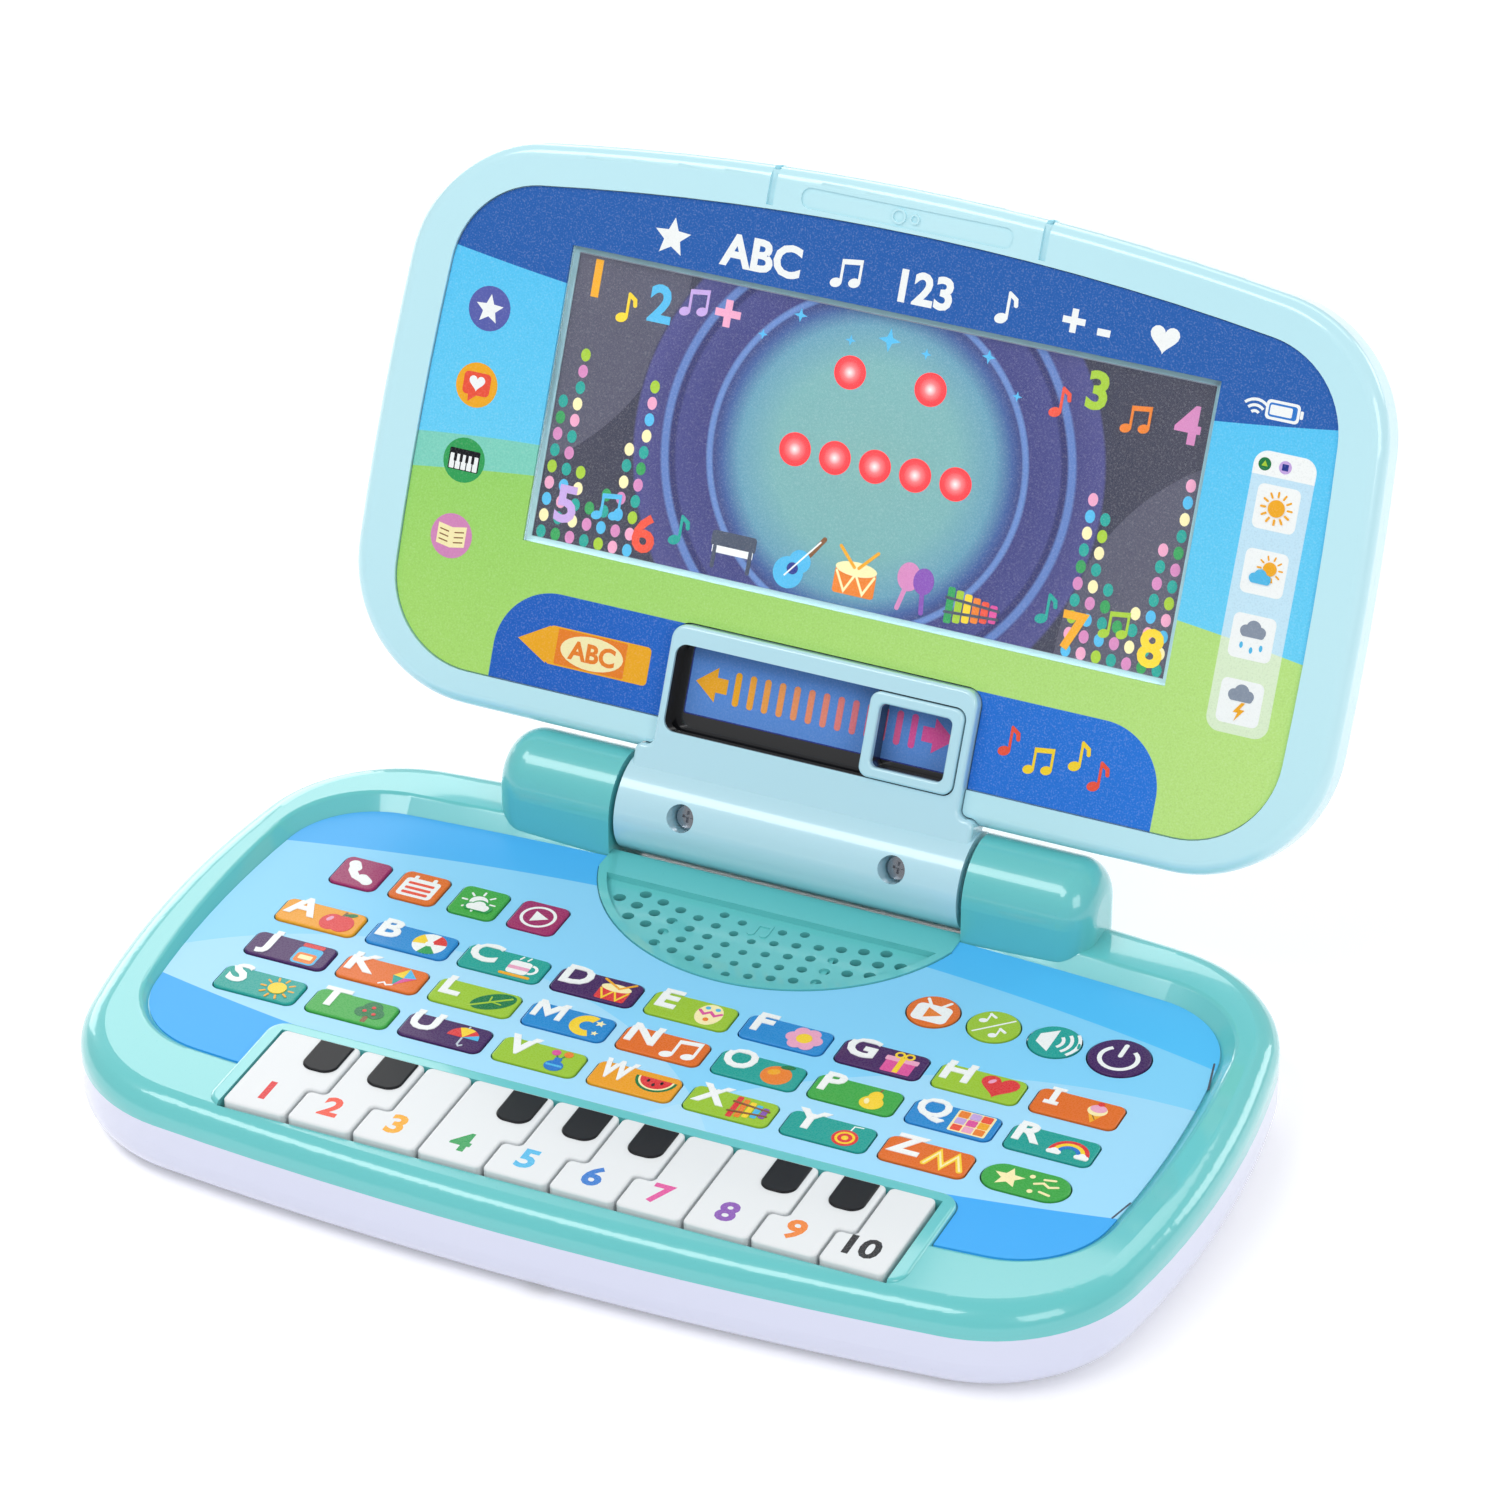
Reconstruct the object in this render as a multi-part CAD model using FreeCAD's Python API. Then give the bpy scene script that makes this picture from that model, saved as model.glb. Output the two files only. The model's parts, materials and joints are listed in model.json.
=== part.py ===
"""Toy laptop computer: a clamshell with a piano, letter buttons and a swipe slot.

Frame: the origin is the middle of the base on the table, +X to the right of the
person who plays, +Y away from them and +Z up. The lid stands open at its stop.
All sizes are in millimetres.
"""
import FreeCAD
import Part
import math
import os

Vec = FreeCAD.Vector
X_AXIS = Vec(1, 0, 0)
Y_AXIS = Vec(0, 1, 0)
Z_AXIS = Vec(0, 0, 1)

# Height stack, from the table upwards
DOOR_RECESS = 0.3
DOOR_THICKNESS = 1.6
CELL_GAP = 0.4
CELL_DIAMETER = 14.5
BOARD_HEADROOM = 0.6
BOARD_THICKNESS = 1.6
TRAVEL_GAP = 0.4
BUTTON_TRAVEL = 0.8
FLANGE_THICKNESS = 0.9
FLANGE_GAP = 0.3
PLATE_THICKNESS = 2.0
OVERLAY_THICKNESS = 0.6
KEY_STAND = 2.0
INLAY_STAND = 0.5
PARTING_DROP = 0.4

# Piano keys
KEY_COUNT = 10
KEY_PITCH = 17.0
KEY_LENGTH = 32.0
KEY_GAP = 0.8
KEY_DEPTH = 7.6
KEY_JOG = 4.6
KEY_JOG_FROM_FRONT = 12.5
KEY_CORNER = 1.5
KEY_EDGE_RADIUS = 0.6
INLAY_WIDTH = 9.0
INLAY_FROM_FRONT = 19.2
INLAY_CORNER = 3.4
INLAY_MARGIN = 1.6
INLAY_DEPTH = 1.0
KEYS_WITH_INLAY = (1, 2, 4, 5, 6, 8, 9)
ROD_RADIUS = 1.1
ROD_CLEARANCE = 0.3
ROD_FROM_BACK = 3.2
ROD_HEIGHT = 2.5
ROD_OVERRUN = 6.0
WELL_CLEARANCE = 0.7
BORDER_WIDTH = 3.6
BORDER_RISE = 1.2
BORDER_CORNER = 5.0
BORDER_EDGE_RADIUS = 1.0

# Letter, function and round buttons
LETTER_PITCH = 25.0
LETTER_WIDTH = 21.7
LETTER_DEPTH = 10.0
LETTER_CORNER = 2.0
ROW_PITCH = 16.15
LETTER_ROWS = ("STUVWXYZ", "JKLMNOPQR", "ABCDEFGHI")
LETTER_COLUMNS = 9
BUTTON_STAND = 0.5
BUTTON_EDGE_RADIUS = 0.45
BUTTON_CLEARANCE = 0.35
FLANGE_LIP = 0.8
SQUARE_ROW_STEP = 21.6
SQUARE_SIZE = 12.5
SQUARE_PITCH = 16.3
SQUARE_NODES = ("phone_button", "calendar_button", "weather_button", "video_button")
ROUND_ROW_STEP = 23.6
ROUND_DIAMETER = 13.0
ROUND_PITCH = 15.7
ROUND_FIRST_X = 53.4
ROUND_NODES = ("play_button", "rhythm_button", "volume_button")
POWER_DIAMETER = 15.4
POWER_STEP = 16.6
EFFECTS_DEPTH = 10.4

# Plan of the base, from the front edge to the back
FRONT_RIM = 10.25
KEY_TO_LETTER = 16.5
LETTER_TO_HINGE = 67.2
BACK_MARGIN = -2.4
PANEL_MARGIN = 15.15
PANEL_SETBACK = 14.5
PANEL_BOSS_GAP = -0.6
PANEL_CLEARANCE = 0.25
PANEL_END_RADIUS = 1200.0
PANEL_SIDE_RADIUS = 300.0
PANEL_CORNER_RADIUS = 24.0
RIM_SIDE = 14.0
RIM_FRONT_RISE = 0.8
RIM_BACK_RISE = 3.4
RIM_RADIUS = 6.2
RIM_INNER_RADIUS = 1.6
POCKET_SKIN = 0.9
BASE_END_RADIUS = 960.0
BASE_SIDE_RADIUS = 260.0
BASE_CORNER_RADIUS = 40.0
BOTTOM_RADIUS = 10.0
WALL = 2.4
LIP_THICKNESS = 1.2
LIP_HEIGHT = 1.6
LIP_ROOT = 3.0
LIP_CLEARANCE = 0.12
NOTCH_RADIUS = 3.4
NOTCH_LENGTH = 12.0

# Hinge
HINGE_RISE = 9.8
BOSS_RADIUS = 12.5
BOSS_INNER_X = 47.5
BOSS_WIDTH = 32.5
BOSS_END_RADIUS = 8.0
BAR_GAP = 1.4
BAR_RADIUS = 12.5
BAR_WALL = 2.7
TROUGH_CLEARANCE = 1.2
TRUNNION_RADIUS = 4.0
TRUNNION_CLEARANCE = 0.35
TRUNNION_REACH = 4.0
CAP_THICKNESS = 2.0
CAP_CLEARANCE = 0.3
LID_TILT_DEG = 25.0

# Speaker and grille
GRILLE_DEPTH = 34.5
GRILLE_HALF_WIDTH = 47.5
GRILLE_SETBACK = 18.0
GRILLE_RIM = 2.2
GRILLE_RIM_RISE = 0.4
GRILLE_RECESS = 1.4
HOLE_COLUMN_PITCH = 5.4
HOLE_ROW_PITCH = 5.2
HOLE_ROW_RISE = 0.26
HOLE_MIN_DIAMETER = 2.2
HOLE_GROWTH = 0.026
HOLE_MARGIN = 5.4
HOLE_BACK_MARGIN = 2.6
NOTE_WIDTH = 3.4
NOTE_HEIGHT = 4.6
NOTE_HEAD_RADIUS = 1.0
NOTE_STEM = 0.6
NOTE_RELIEF = 0.3
NOTE_SETBACK = 5.6
NOTE_ROOM = 9.0
SPEAKER_RADIUS = 20.0
SPEAKER_DEPTH = 11.0
SPEAKER_FLANGE = 1.6
MAGNET_RADIUS = 10.0
MAGNET_DEPTH = 5.0
SPEAKER_RING = 1.6
SPEAKER_RING_HEIGHT = 2.4
SPEAKER_CLEARANCE = 0.3

# Board, cells, door and case screws
BOARD_SPEAKER_GAP = 3.0
BOARD_EDGE = 8.0
STAKE_RADIUS = 1.0
STAKE_POST_RADIUS = 1.8
STAKE_COLUMN = 3.5
CHIP_SIZE = 14.0
CHIP_HEIGHT = 0.3
CELL_LENGTH = 50.5
CELL_COUNT = 3
CELL_PITCH = 15.0
CELL_NUB_RADIUS = 2.7
CELL_NUB_LENGTH = 1.2
CONTACT_THICKNESS = 0.5
CONTACT_SIZE = 9.0
CONTACT_SPACE = 3.2
BATTERY_X = -70.0
BATTERY_Y = 22.7
BATTERY_WALL = 1.6
DOOR_LEDGE = 2.4
DOOR_CLEARANCE = 0.3
DOOR_TONGUE = 2.4
DOOR_TONGUE_WIDTH = 20.0
SCREW_INSET = 22.0
SCREW_REAR_Y = 40.7
SCREW_FRONT_STEP = 8.0
SCREW_HEAD_RADIUS = 2.6
SCREW_HEAD_HEIGHT = 2.0
SCREW_SHANK_RADIUS = 1.3
SCREW_SEAT = 8.0
SCREW_ENGAGEMENT = 5.0
SCREW_CLEARANCE = 0.3
PILOT_CLEARANCE = 0.05
POST_WALL = 1.3
PILOT_POST_WALL = 2.1
POST_GAP = 0.2
CROSS_LENGTH = 3.0
CROSS_WIDTH = 0.7
CROSS_DEPTH = 0.9

# Lid, in its own flat frame: across, away from the hinge, and out of the face
FACE_OFFSET = 4.4
LID_SIDE_INSET = 8.8
LID_OVERHANG = 5.25
LID_BOSS_GAP = 1.4
LID_END_RADIUS = 700.0
LID_SIDE_RADIUS = 870.0
LID_CORNER_RADIUS = 36.0
LID_WIDEST = 70.0
LID_SIDE_BORDER = 12.0
LID_TOP_BORDER = 10.7
LID_FOOT_BORDER = 8.5
LID_FRAME_PROUD = 0.8
LID_FRAME_RADIUS = 3.6
LID_PARTING = -1.5
LID_BACK_DEPTH = 10.0
LID_BACK_RADIUS = 5.0
LID_WALL = 2.2
ART_THICKNESS = 0.8
ART_CLEARANCE = 0.25
FRAME_PLATE = 2.0
WINDOW_WIDTH = 172.0
WINDOW_HEIGHT = 75.0
WINDOW_RISE = 11.1
WINDOW_THICKNESS = 1.5
WINDOW_CLEARANCE = 0.2
WINDOW_LEDGE = 1.4
CARD_THICKNESS = 0.5
CARD_LAP = 4.0
CARD_GAP = 0.1
LED_PITCH = 10.7
LED_SHIFT = 2.0
LED_COLUMNS = 5
LED_ROWS = 5
LED_RADIUS = 2.5
LED_GAP = 0.4
LED_BOARD_THICKNESS = 1.6
LED_BOARD_MARGIN = 9.0
LED_BOARD_RISE = 2.3
LID_SCREW_INSET = 15.5
LID_SCREW_SEAT = -4.6
LID_SCREW_POST_GAP = 0.2
CLIP_HALF_WIDTH = 36.0
CLIP_GROOVE = 1.8
CLIP_GROOVE_DEPTH = 1.0
CLIP_RECESS_LENGTH = 56.0
CLIP_RECESS_WIDTH = 5.2
CLIP_RECESS_DEPTH = 0.5
CLIP_DROP = 1.8
CLIP_RINGS = ((-2.2, 1.9), (2.0, 1.3))
CLIP_RING_WALL = 0.5

# Swipe slot and swiper
SLOT_HALF_LENGTH = 39.0
SLOT_WALL = 2.0
SLOT_START = 6.1
SLOT_WIDTH = 22.2
SLOT_TOP_WALL = 4.8
SLOT_FRAME_PROUD = 3.4
SLOT_FLOOR = 1.5
SLOT_EDGE_RADIUS = 1.2
SLOT_CORNER = 3.0
SLOT_FRAME_CORNER = 4.0
NECK_INSET = 0.6
NECK_RISE = 1.6
NECK_CORNER = 2.0
RAIL_LAP = 1.0
RAIL_HEIGHT = 1.7
SWIPER_LENGTH = 24.8
SWIPER_CLEARANCE = 0.35
SWIPER_WALL = 2.8
SWIPER_PROUD = 1.1
SWIPER_CORNER = 2.65
FINGER_CORNER = 1.6
SWIPER_EDGE_RADIUS = 0.7
SLOT_GAP = 0.3
HINGE_SCREW_X = 28.4
HINGE_SCREW_SEAT = 5.2
HINGE_SCREW_LENGTH = 11.0
HINGE_SCREW_RECESS_RADIUS = 3.6
HINGE_SCREW_HEAD_RADIUS = 2.9

# Heights that follow from the stack
DOOR_TOP = DOOR_RECESS + DOOR_THICKNESS
CELL_BOTTOM = DOOR_TOP + CELL_GAP
CELL_TOP = CELL_BOTTOM + CELL_DIAMETER
BOARD_BOTTOM = CELL_TOP + BOARD_HEADROOM
BOARD_TOP = BOARD_BOTTOM + BOARD_THICKNESS
FLANGE_BOTTOM = BOARD_TOP + TRAVEL_GAP + BUTTON_TRAVEL
FLANGE_TOP = FLANGE_BOTTOM + FLANGE_THICKNESS
PLATE_BOTTOM = FLANGE_TOP + FLANGE_GAP
PLATE_TOP = PLATE_BOTTOM + PLATE_THICKNESS
OVERLAY_TOP = PLATE_TOP + OVERLAY_THICKNESS
KEY_TOP = OVERLAY_TOP + KEY_STAND
KEY_BOTTOM = KEY_TOP - KEY_DEPTH
PART_PLANE = BOARD_BOTTOM - PARTING_DROP
HINGE_Z = OVERLAY_TOP + HINGE_RISE
GRILLE_FLOOR = OVERLAY_TOP - GRILLE_RECESS
GRILLE_UNDER = GRILLE_FLOOR - PLATE_THICKNESS

# Plan positions that follow from the front-to-back stack
BASE_DEPTH = (FRONT_RIM + KEY_LENGTH + KEY_TO_LETTER + 2 * ROW_PITCH
              + LETTER_TO_HINGE + BOSS_RADIUS + BACK_MARGIN)
FRONT_Y = -BASE_DEPTH / 2
KEY_FRONT_Y = FRONT_Y + FRONT_RIM
KEY_BACK_Y = KEY_FRONT_Y + KEY_LENGTH
ROW_YS = [KEY_BACK_Y + KEY_TO_LETTER + row * ROW_PITCH for row in range(3)]
HINGE_Y = ROW_YS[2] + LETTER_TO_HINGE
KEYS_HALF_WIDTH = KEY_COUNT * KEY_PITCH / 2
ROD_Y = KEY_BACK_Y - ROD_FROM_BACK
ROD_Z = KEY_BOTTOM + ROD_HEIGHT
PANEL_HALF_WIDTH = (LETTER_COLUMNS - 1) / 2 * LETTER_PITCH + LETTER_WIDTH / 2 + PANEL_MARGIN
PANEL_FRONT_Y = KEY_FRONT_Y + PANEL_SETBACK
PANEL_BACK_Y = HINGE_Y - BOSS_RADIUS - PANEL_BOSS_GAP
BASE_HALF_WIDTH = PANEL_HALF_WIDTH + RIM_SIDE
BOSS_OUTER_X = BOSS_INNER_X + BOSS_WIDTH
BAR_HALF_LENGTH = BOSS_INNER_X - BAR_GAP
TROUGH_RADIUS = BAR_RADIUS + TROUGH_CLEARANCE
GRILLE_BACK_Y = HINGE_Y - GRILLE_SETBACK
GRILLE_FRONT_Y = GRILLE_BACK_Y - GRILLE_DEPTH
LEDGE_TOP = OVERLAY_TOP + GRILLE_RIM_RISE
NOTE_Y = GRILLE_BACK_Y - GRILLE_RIM - NOTE_SETBACK
SPEAKER_Y = GRILLE_BACK_Y - GRILLE_DEPTH / 2
SCREW_X = BASE_HALF_WIDTH - SCREW_INSET
SCREW_FRONT_Y = KEY_BACK_Y - SCREW_FRONT_STEP
POST_RADIUS = SCREW_HEAD_RADIUS + SCREW_CLEARANCE + POST_WALL
PILOT_RADIUS = SCREW_SHANK_RADIUS + PILOT_CLEARANCE
PILOT_POST_RADIUS = PILOT_RADIUS + PILOT_POST_WALL
BOARD_HALF_WIDTH = SCREW_X - POST_RADIUS - PLATE_THICKNESS

# Lid positions that follow, in its flat frame
LID_HALF_WIDTH = BASE_HALF_WIDTH - LID_SIDE_INSET
LID_BOTTOM = BOSS_RADIUS + LID_BOSS_GAP
LID_TOP = HINGE_Y - FRONT_Y + LID_OVERHANG
CLIP_Y = LID_TOP - LID_TOP_BORDER / 2 - CLIP_DROP
FRAME_FRONT = FACE_OFFSET + LID_FRAME_PROUD
ART_BACK = FACE_OFFSET - ART_THICKNESS
PLATE_BACK = ART_BACK - FRAME_PLATE
SLOT_BOTTOM_Y = LID_BOTTOM + SLOT_START
SLOT_TOP_Y = SLOT_BOTTOM_Y + SLOT_WIDTH
SLOT_FRAME_TOP_Y = SLOT_TOP_Y + SLOT_TOP_WALL
SLOT_FRAME_HALF = SLOT_HALF_LENGTH + SLOT_WALL
SLOT_FRAME_FRONT = FACE_OFFSET + SLOT_FRAME_PROUD
NECK_HALF = BAR_HALF_LENGTH - NECK_INSET
NECK_TOP_Y = LID_BOTTOM + NECK_RISE
SWIPER_FRONT = SLOT_FRAME_FRONT + SWIPER_PROUD
SWIPER_TRAVEL = 2 * (SLOT_HALF_LENGTH - SWIPER_CLEARANCE) - SWIPER_LENGTH
WINDOW_BOTTOM = SLOT_FRAME_TOP_Y + WINDOW_RISE
WINDOW_TOP = WINDOW_BOTTOM + WINDOW_HEIGHT
WINDOW_MIDDLE = (WINDOW_BOTTOM + WINDOW_TOP) / 2
CARD_FRONT = PLATE_BACK - CARD_GAP
LED_TOP = CARD_FRONT - CARD_THICKNESS - LED_GAP
LID_BACK_FLOOR = LID_WALL - LID_BACK_DEPTH
LED_BOARD_BACK = LID_BACK_FLOOR + LED_BOARD_RISE
LED_BOARD_FRONT = LED_BOARD_BACK + LED_BOARD_THICKNESS
FAR = 400.0
TOUCH = 1e-4
CUT_MARGIN = 1.0
FILLET_SHARE = 0.9


def rim_height(y):
    """Height of the sloping top of the deck's rim at a place from front to back."""
    slope = (RIM_BACK_RISE - RIM_FRONT_RISE) / (PANEL_BACK_Y - PANEL_FRONT_Y)
    return OVERLAY_TOP + RIM_FRONT_RISE + slope * (y - PANEL_FRONT_Y)


def box(x0, x1, y0, y1, z0, z1):
    """Box between two corners."""
    return Part.makeBox(x1 - x0, y1 - y0, z1 - z0, Vec(x0, y0, z0))


def upright(radius, x, y, z0, z1):
    """Upright round bar between two heights."""
    return Part.makeCylinder(radius, z1 - z0, Vec(x, y, z0), Z_AXIS)


def crosswise(radius, x0, x1, y, z):
    """Round bar along X between two ends."""
    return Part.makeCylinder(radius, x1 - x0, Vec(x0, y, z), X_AXIS)


def prism(wire, height):
    """Solid that stands on a flat closed outline."""
    return Part.Face(wire).extrude(Vec(0, 0, height))


def rounded_rectangle(x0, x1, y0, y1, radius, z):
    """Rectangle with four round corners."""
    k = radius * (1 - math.sqrt(0.5))
    return Part.Wire([
        Part.LineSegment(Vec(x0 + radius, y0, z), Vec(x1 - radius, y0, z)).toShape(),
        Part.Arc(Vec(x1 - radius, y0, z), Vec(x1 - k, y0 + k, z), Vec(x1, y0 + radius, z)).toShape(),
        Part.LineSegment(Vec(x1, y0 + radius, z), Vec(x1, y1 - radius, z)).toShape(),
        Part.Arc(Vec(x1, y1 - radius, z), Vec(x1 - k, y1 - k, z), Vec(x1 - radius, y1, z)).toShape(),
        Part.LineSegment(Vec(x1 - radius, y1, z), Vec(x0 + radius, y1, z)).toShape(),
        Part.Arc(Vec(x0 + radius, y1, z), Vec(x0 + k, y1 - k, z), Vec(x0, y1 - radius, z)).toShape(),
        Part.LineSegment(Vec(x0, y1 - radius, z), Vec(x0, y0 + radius, z)).toShape(),
        Part.Arc(Vec(x0, y0 + radius, z), Vec(x0 + k, y0 + k, z), Vec(x0 + radius, y0, z)).toShape(),
    ])


def capsule(x0, x1, y0, y1, z):
    """Oblong with two half-round ends."""
    radius = (y1 - y0) / 2
    middle = (y0 + y1) / 2
    left, right = x0 + radius, x1 - radius
    return Part.Wire([
        Part.LineSegment(Vec(left, y0, z), Vec(right, y0, z)).toShape(),
        Part.Arc(Vec(right, y0, z), Vec(x1, middle, z), Vec(right, y1, z)).toShape(),
        Part.LineSegment(Vec(right, y1, z), Vec(left, y1, z)).toShape(),
        Part.Arc(Vec(left, y1, z), Vec(x0, middle, z), Vec(left, y0, z)).toShape(),
    ])


def pillow_outline(half_width, half_depth, radii, centre_y, z, grow=0.0):
    """Rounded oblong of eight tangent arcs: bowed ends, bowed sides and round corners.

    radii holds the end, side and corner radius, and grow moves the whole outline outwards.
    """
    end, side, corner = radii
    end_centre = half_depth - end
    side_centre = half_width - side
    gap = math.hypot(side_centre, end_centre)
    to_end = end - corner
    to_side = side - corner
    along = (to_end ** 2 - to_side ** 2 + gap ** 2) / (2 * gap)
    aside = math.sqrt(to_end ** 2 - along ** 2)
    ux, uy = side_centre / gap, -end_centre / gap
    candidates = []
    for sign in (1, -1):
        cx = along * ux - sign * aside * uy
        cy = end_centre + along * uy + sign * aside * ux
        candidates.append((cx, cy))
    cx, cy = max(candidates, key=lambda c: min(c))
    corner += grow
    end_unit = Vec(cx, cy - end_centre, 0).normalize()
    side_unit = Vec(cx - side_centre, cy, 0).normalize()
    mid_unit = (end_unit + side_unit).normalize()
    corner_centre = Vec(cx, cy, 0)
    end_point = corner_centre + end_unit * corner
    side_point = corner_centre + side_unit * corner
    mid_point = corner_centre + mid_unit * corner

    def place(point, sx, sy):
        return Vec(sx * point.x, centre_y + sy * point.y, z)

    end_mid = Vec(0, half_depth + grow, 0)
    side_mid = Vec(half_width + grow, 0, 0)
    quarters = [(1, -1), (1, 1), (-1, 1), (-1, -1)]
    arcs = []
    for sx, sy in quarters:
        first, last = (end_point, side_point) if sx * sy < 0 else (side_point, end_point)
        arcs.append(Part.Arc(place(first, sx, sy), place(mid_point, sx, sy), place(last, sx, sy)))
        if sx * sy < 0:
            arcs.append(Part.Arc(place(side_point, sx, sy), place(side_mid, sx, sy),
                                 place(side_point, sx, -sy)))
        else:
            arcs.append(Part.Arc(place(end_point, sx, sy), place(end_mid, sx, sy),
                                 place(end_point, -sx, sy)))
    return Part.Wire([arc.toShape() for arc in arcs])


def base_outline(z, grow=0.0):
    """Outline of the base at its widest."""
    radii = (BASE_END_RADIUS, BASE_SIDE_RADIUS, BASE_CORNER_RADIUS)
    return pillow_outline(BASE_HALF_WIDTH, BASE_DEPTH / 2, radii, 0.0, z, grow)


def panel_outline(z, grow=0.0):
    """Outline of the printed overlay and of the pocket that holds it."""
    radii = (PANEL_END_RADIUS, PANEL_SIDE_RADIUS, PANEL_CORNER_RADIUS)
    middle = (PANEL_FRONT_Y + PANEL_BACK_Y) / 2
    half = (PANEL_BACK_Y - PANEL_FRONT_Y) / 2
    return pillow_outline(PANEL_HALF_WIDTH, half, radii, middle, z, grow)


def shield_outline(half_width, foot, top, corner, z):
    """Straight foot, bowed sides, bowed top and round corners, for the lid and the sheet in its face."""
    top_centre = top - LID_END_RADIUS
    side_centre = Vec(half_width - LID_SIDE_RADIUS, LID_WIDEST, 0)
    gap = Vec(0, top_centre, 0) - side_centre
    to_top = LID_END_RADIUS - corner
    to_side = LID_SIDE_RADIUS - corner
    along = (to_side ** 2 - to_top ** 2 + gap.Length ** 2) / (2 * gap.Length)
    aside = math.sqrt(to_side ** 2 - along ** 2)
    step = Vec(gap).normalize()
    upper = side_centre + step * along + Vec(-step.y, step.x, 0) * aside
    low = foot + corner
    lower = Vec(side_centre.x + math.sqrt(to_side ** 2 - (low - LID_WIDEST) ** 2), low, 0)
    top_unit = (upper - Vec(0, top_centre, 0)).normalize()
    upper_unit = (upper - side_centre).normalize()
    lower_unit = (lower - side_centre).normalize()
    points = [Vec(lower.x, foot, 0), lower + (lower_unit - Y_AXIS).normalize() * corner,
              lower + lower_unit * corner, Vec(half_width, LID_WIDEST, 0), upper + upper_unit * corner,
              upper + (top_unit + upper_unit).normalize() * corner, upper + top_unit * corner]
    right = [Vec(p.x, p.y, z) for p in points]
    left = [Vec(-p.x, p.y, z) for p in reversed(points)]
    edges = []
    for side in (right, left):
        edges += [Part.Arc(*side[i:i + 3]) for i in (0, 2, 4)]
    edges.insert(3, Part.Arc(right[-1], Vec(0, top, z), left[0]))
    edges.append(Part.LineSegment(left[-1], right[0]))
    return Part.Wire([edge.toShape() for edge in edges])


def lid_outline(z, grow=0.0):
    """Outline of the lid in its flat frame."""
    return shield_outline(LID_HALF_WIDTH + grow, LID_BOTTOM - grow, LID_TOP + grow,
                          LID_CORNER_RADIUS + grow, z)


def art_outline(z, grow=0.0):
    """Outline of the printed sheet's room in the lid's face."""
    return shield_outline(LID_HALF_WIDTH - LID_SIDE_BORDER + grow, LID_BOTTOM + LID_FOOT_BORDER - grow,
                          LID_TOP - LID_TOP_BORDER + grow, LID_CORNER_RADIUS - LID_SIDE_BORDER + grow, z)


def grille_outline(z, inset=0.0, back_y=None):
    """D shape of the speaker grille, with its straight side at the back."""
    radius = (GRILLE_HALF_WIDTH ** 2 + GRILLE_DEPTH ** 2) / (2 * GRILLE_DEPTH)
    centre_y = GRILLE_FRONT_Y + radius
    radius -= inset
    back = GRILLE_BACK_Y if back_y is None else back_y
    half = math.sqrt(radius ** 2 - (back - centre_y) ** 2)
    left, right = Vec(-half, back, z), Vec(half, back, z)
    return Part.Wire([
        Part.Arc(left, Vec(0, centre_y - radius, z), right).toShape(),
        Part.LineSegment(right, left).toShape(),
    ])


def flat_edges(solid, z):
    """Edges of a solid that lie at one height."""
    return [e for e in solid.Edges if all(abs(v.Z - z) < 1e-5 for v in e.Vertexes)
            and abs(e.CenterOfMass.z - z) < 1e-5]


def screw(x, y, seat, tip, head_radius=SCREW_HEAD_RADIUS):
    """Pan-head screw that points up, with its head under the seat and a cross in the head."""
    head = upright(head_radius, x, y, seat - SCREW_HEAD_HEIGHT, seat)
    foot = seat - SCREW_HEAD_HEIGHT
    long_half, short_half = CROSS_LENGTH / 2, CROSS_WIDTH / 2
    cross = [box(x - long_half, x + long_half, y - short_half, y + short_half, foot, foot + CROSS_DEPTH),
             box(x - short_half, x + short_half, y - long_half, y + long_half, foot, foot + CROSS_DEPTH)]
    return head.fuse(upright(SCREW_SHANK_RADIUS, x, y, seat, tip)).cut(cross)


def case_screw_places():
    """Plan positions of the screws that hold the two halves of the base together."""
    return [(sx * SCREW_X, y) for sx in (-1, 1) for y in (SCREW_FRONT_Y, SCREW_REAR_Y)]


def stake_places():
    """Plan positions of the posts that the board is staked to, between the letter rows."""
    xs = (-STAKE_COLUMN * LETTER_PITCH, STAKE_COLUMN * LETTER_PITCH)
    ys = ((ROW_YS[0] + ROW_YS[1]) / 2, ROW_YS[2] + ROW_PITCH / 2)
    return [(x, y) for x in xs for y in ys]


class Button:
    """A push button: its node, its outline and its place in the panel."""

    def __init__(self, node, shape, x, y, width, depth):
        self.node = node
        self.shape = shape
        self.x = x
        self.y = y
        self.width = width
        self.depth = depth

    def outline(self, z, grow=0.0):
        """Outline of the cap, moved outwards by grow."""
        half_w, half_d = self.width / 2 + grow, self.depth / 2 + grow
        if self.shape == "oblong":
            return rounded_rectangle(self.x - half_w, self.x + half_w, self.y - half_d,
                                     self.y + half_d, LETTER_CORNER + grow, z)
        if self.shape == "capsule":
            return capsule(self.x - half_w, self.x + half_w, self.y - half_d, self.y + half_d, z)
        return Part.Wire([Part.Circle(Vec(self.x, self.y, z), Z_AXIS, half_w).toShape()])

    def hole(self, z0, z1):
        """Hole that the cap passes through."""
        return prism(self.outline(z0, BUTTON_CLEARANCE), z1 - z0)

    def solid(self):
        """Cap with a rounded top edge and the flange that keeps it under the plate."""
        top = OVERLAY_TOP + BUTTON_STAND
        cap = prism(self.outline(FLANGE_TOP), top - FLANGE_TOP)
        cap = cap.makeFillet(BUTTON_EDGE_RADIUS, flat_edges(cap, top))
        flange = prism(self.outline(FLANGE_BOTTOM, FLANGE_LIP), FLANGE_THICKNESS)
        return cap.fuse(flange)


def letter_x(column):
    """Middle of a letter column."""
    return (column - (LETTER_COLUMNS - 1) / 2) * LETTER_PITCH


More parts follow.
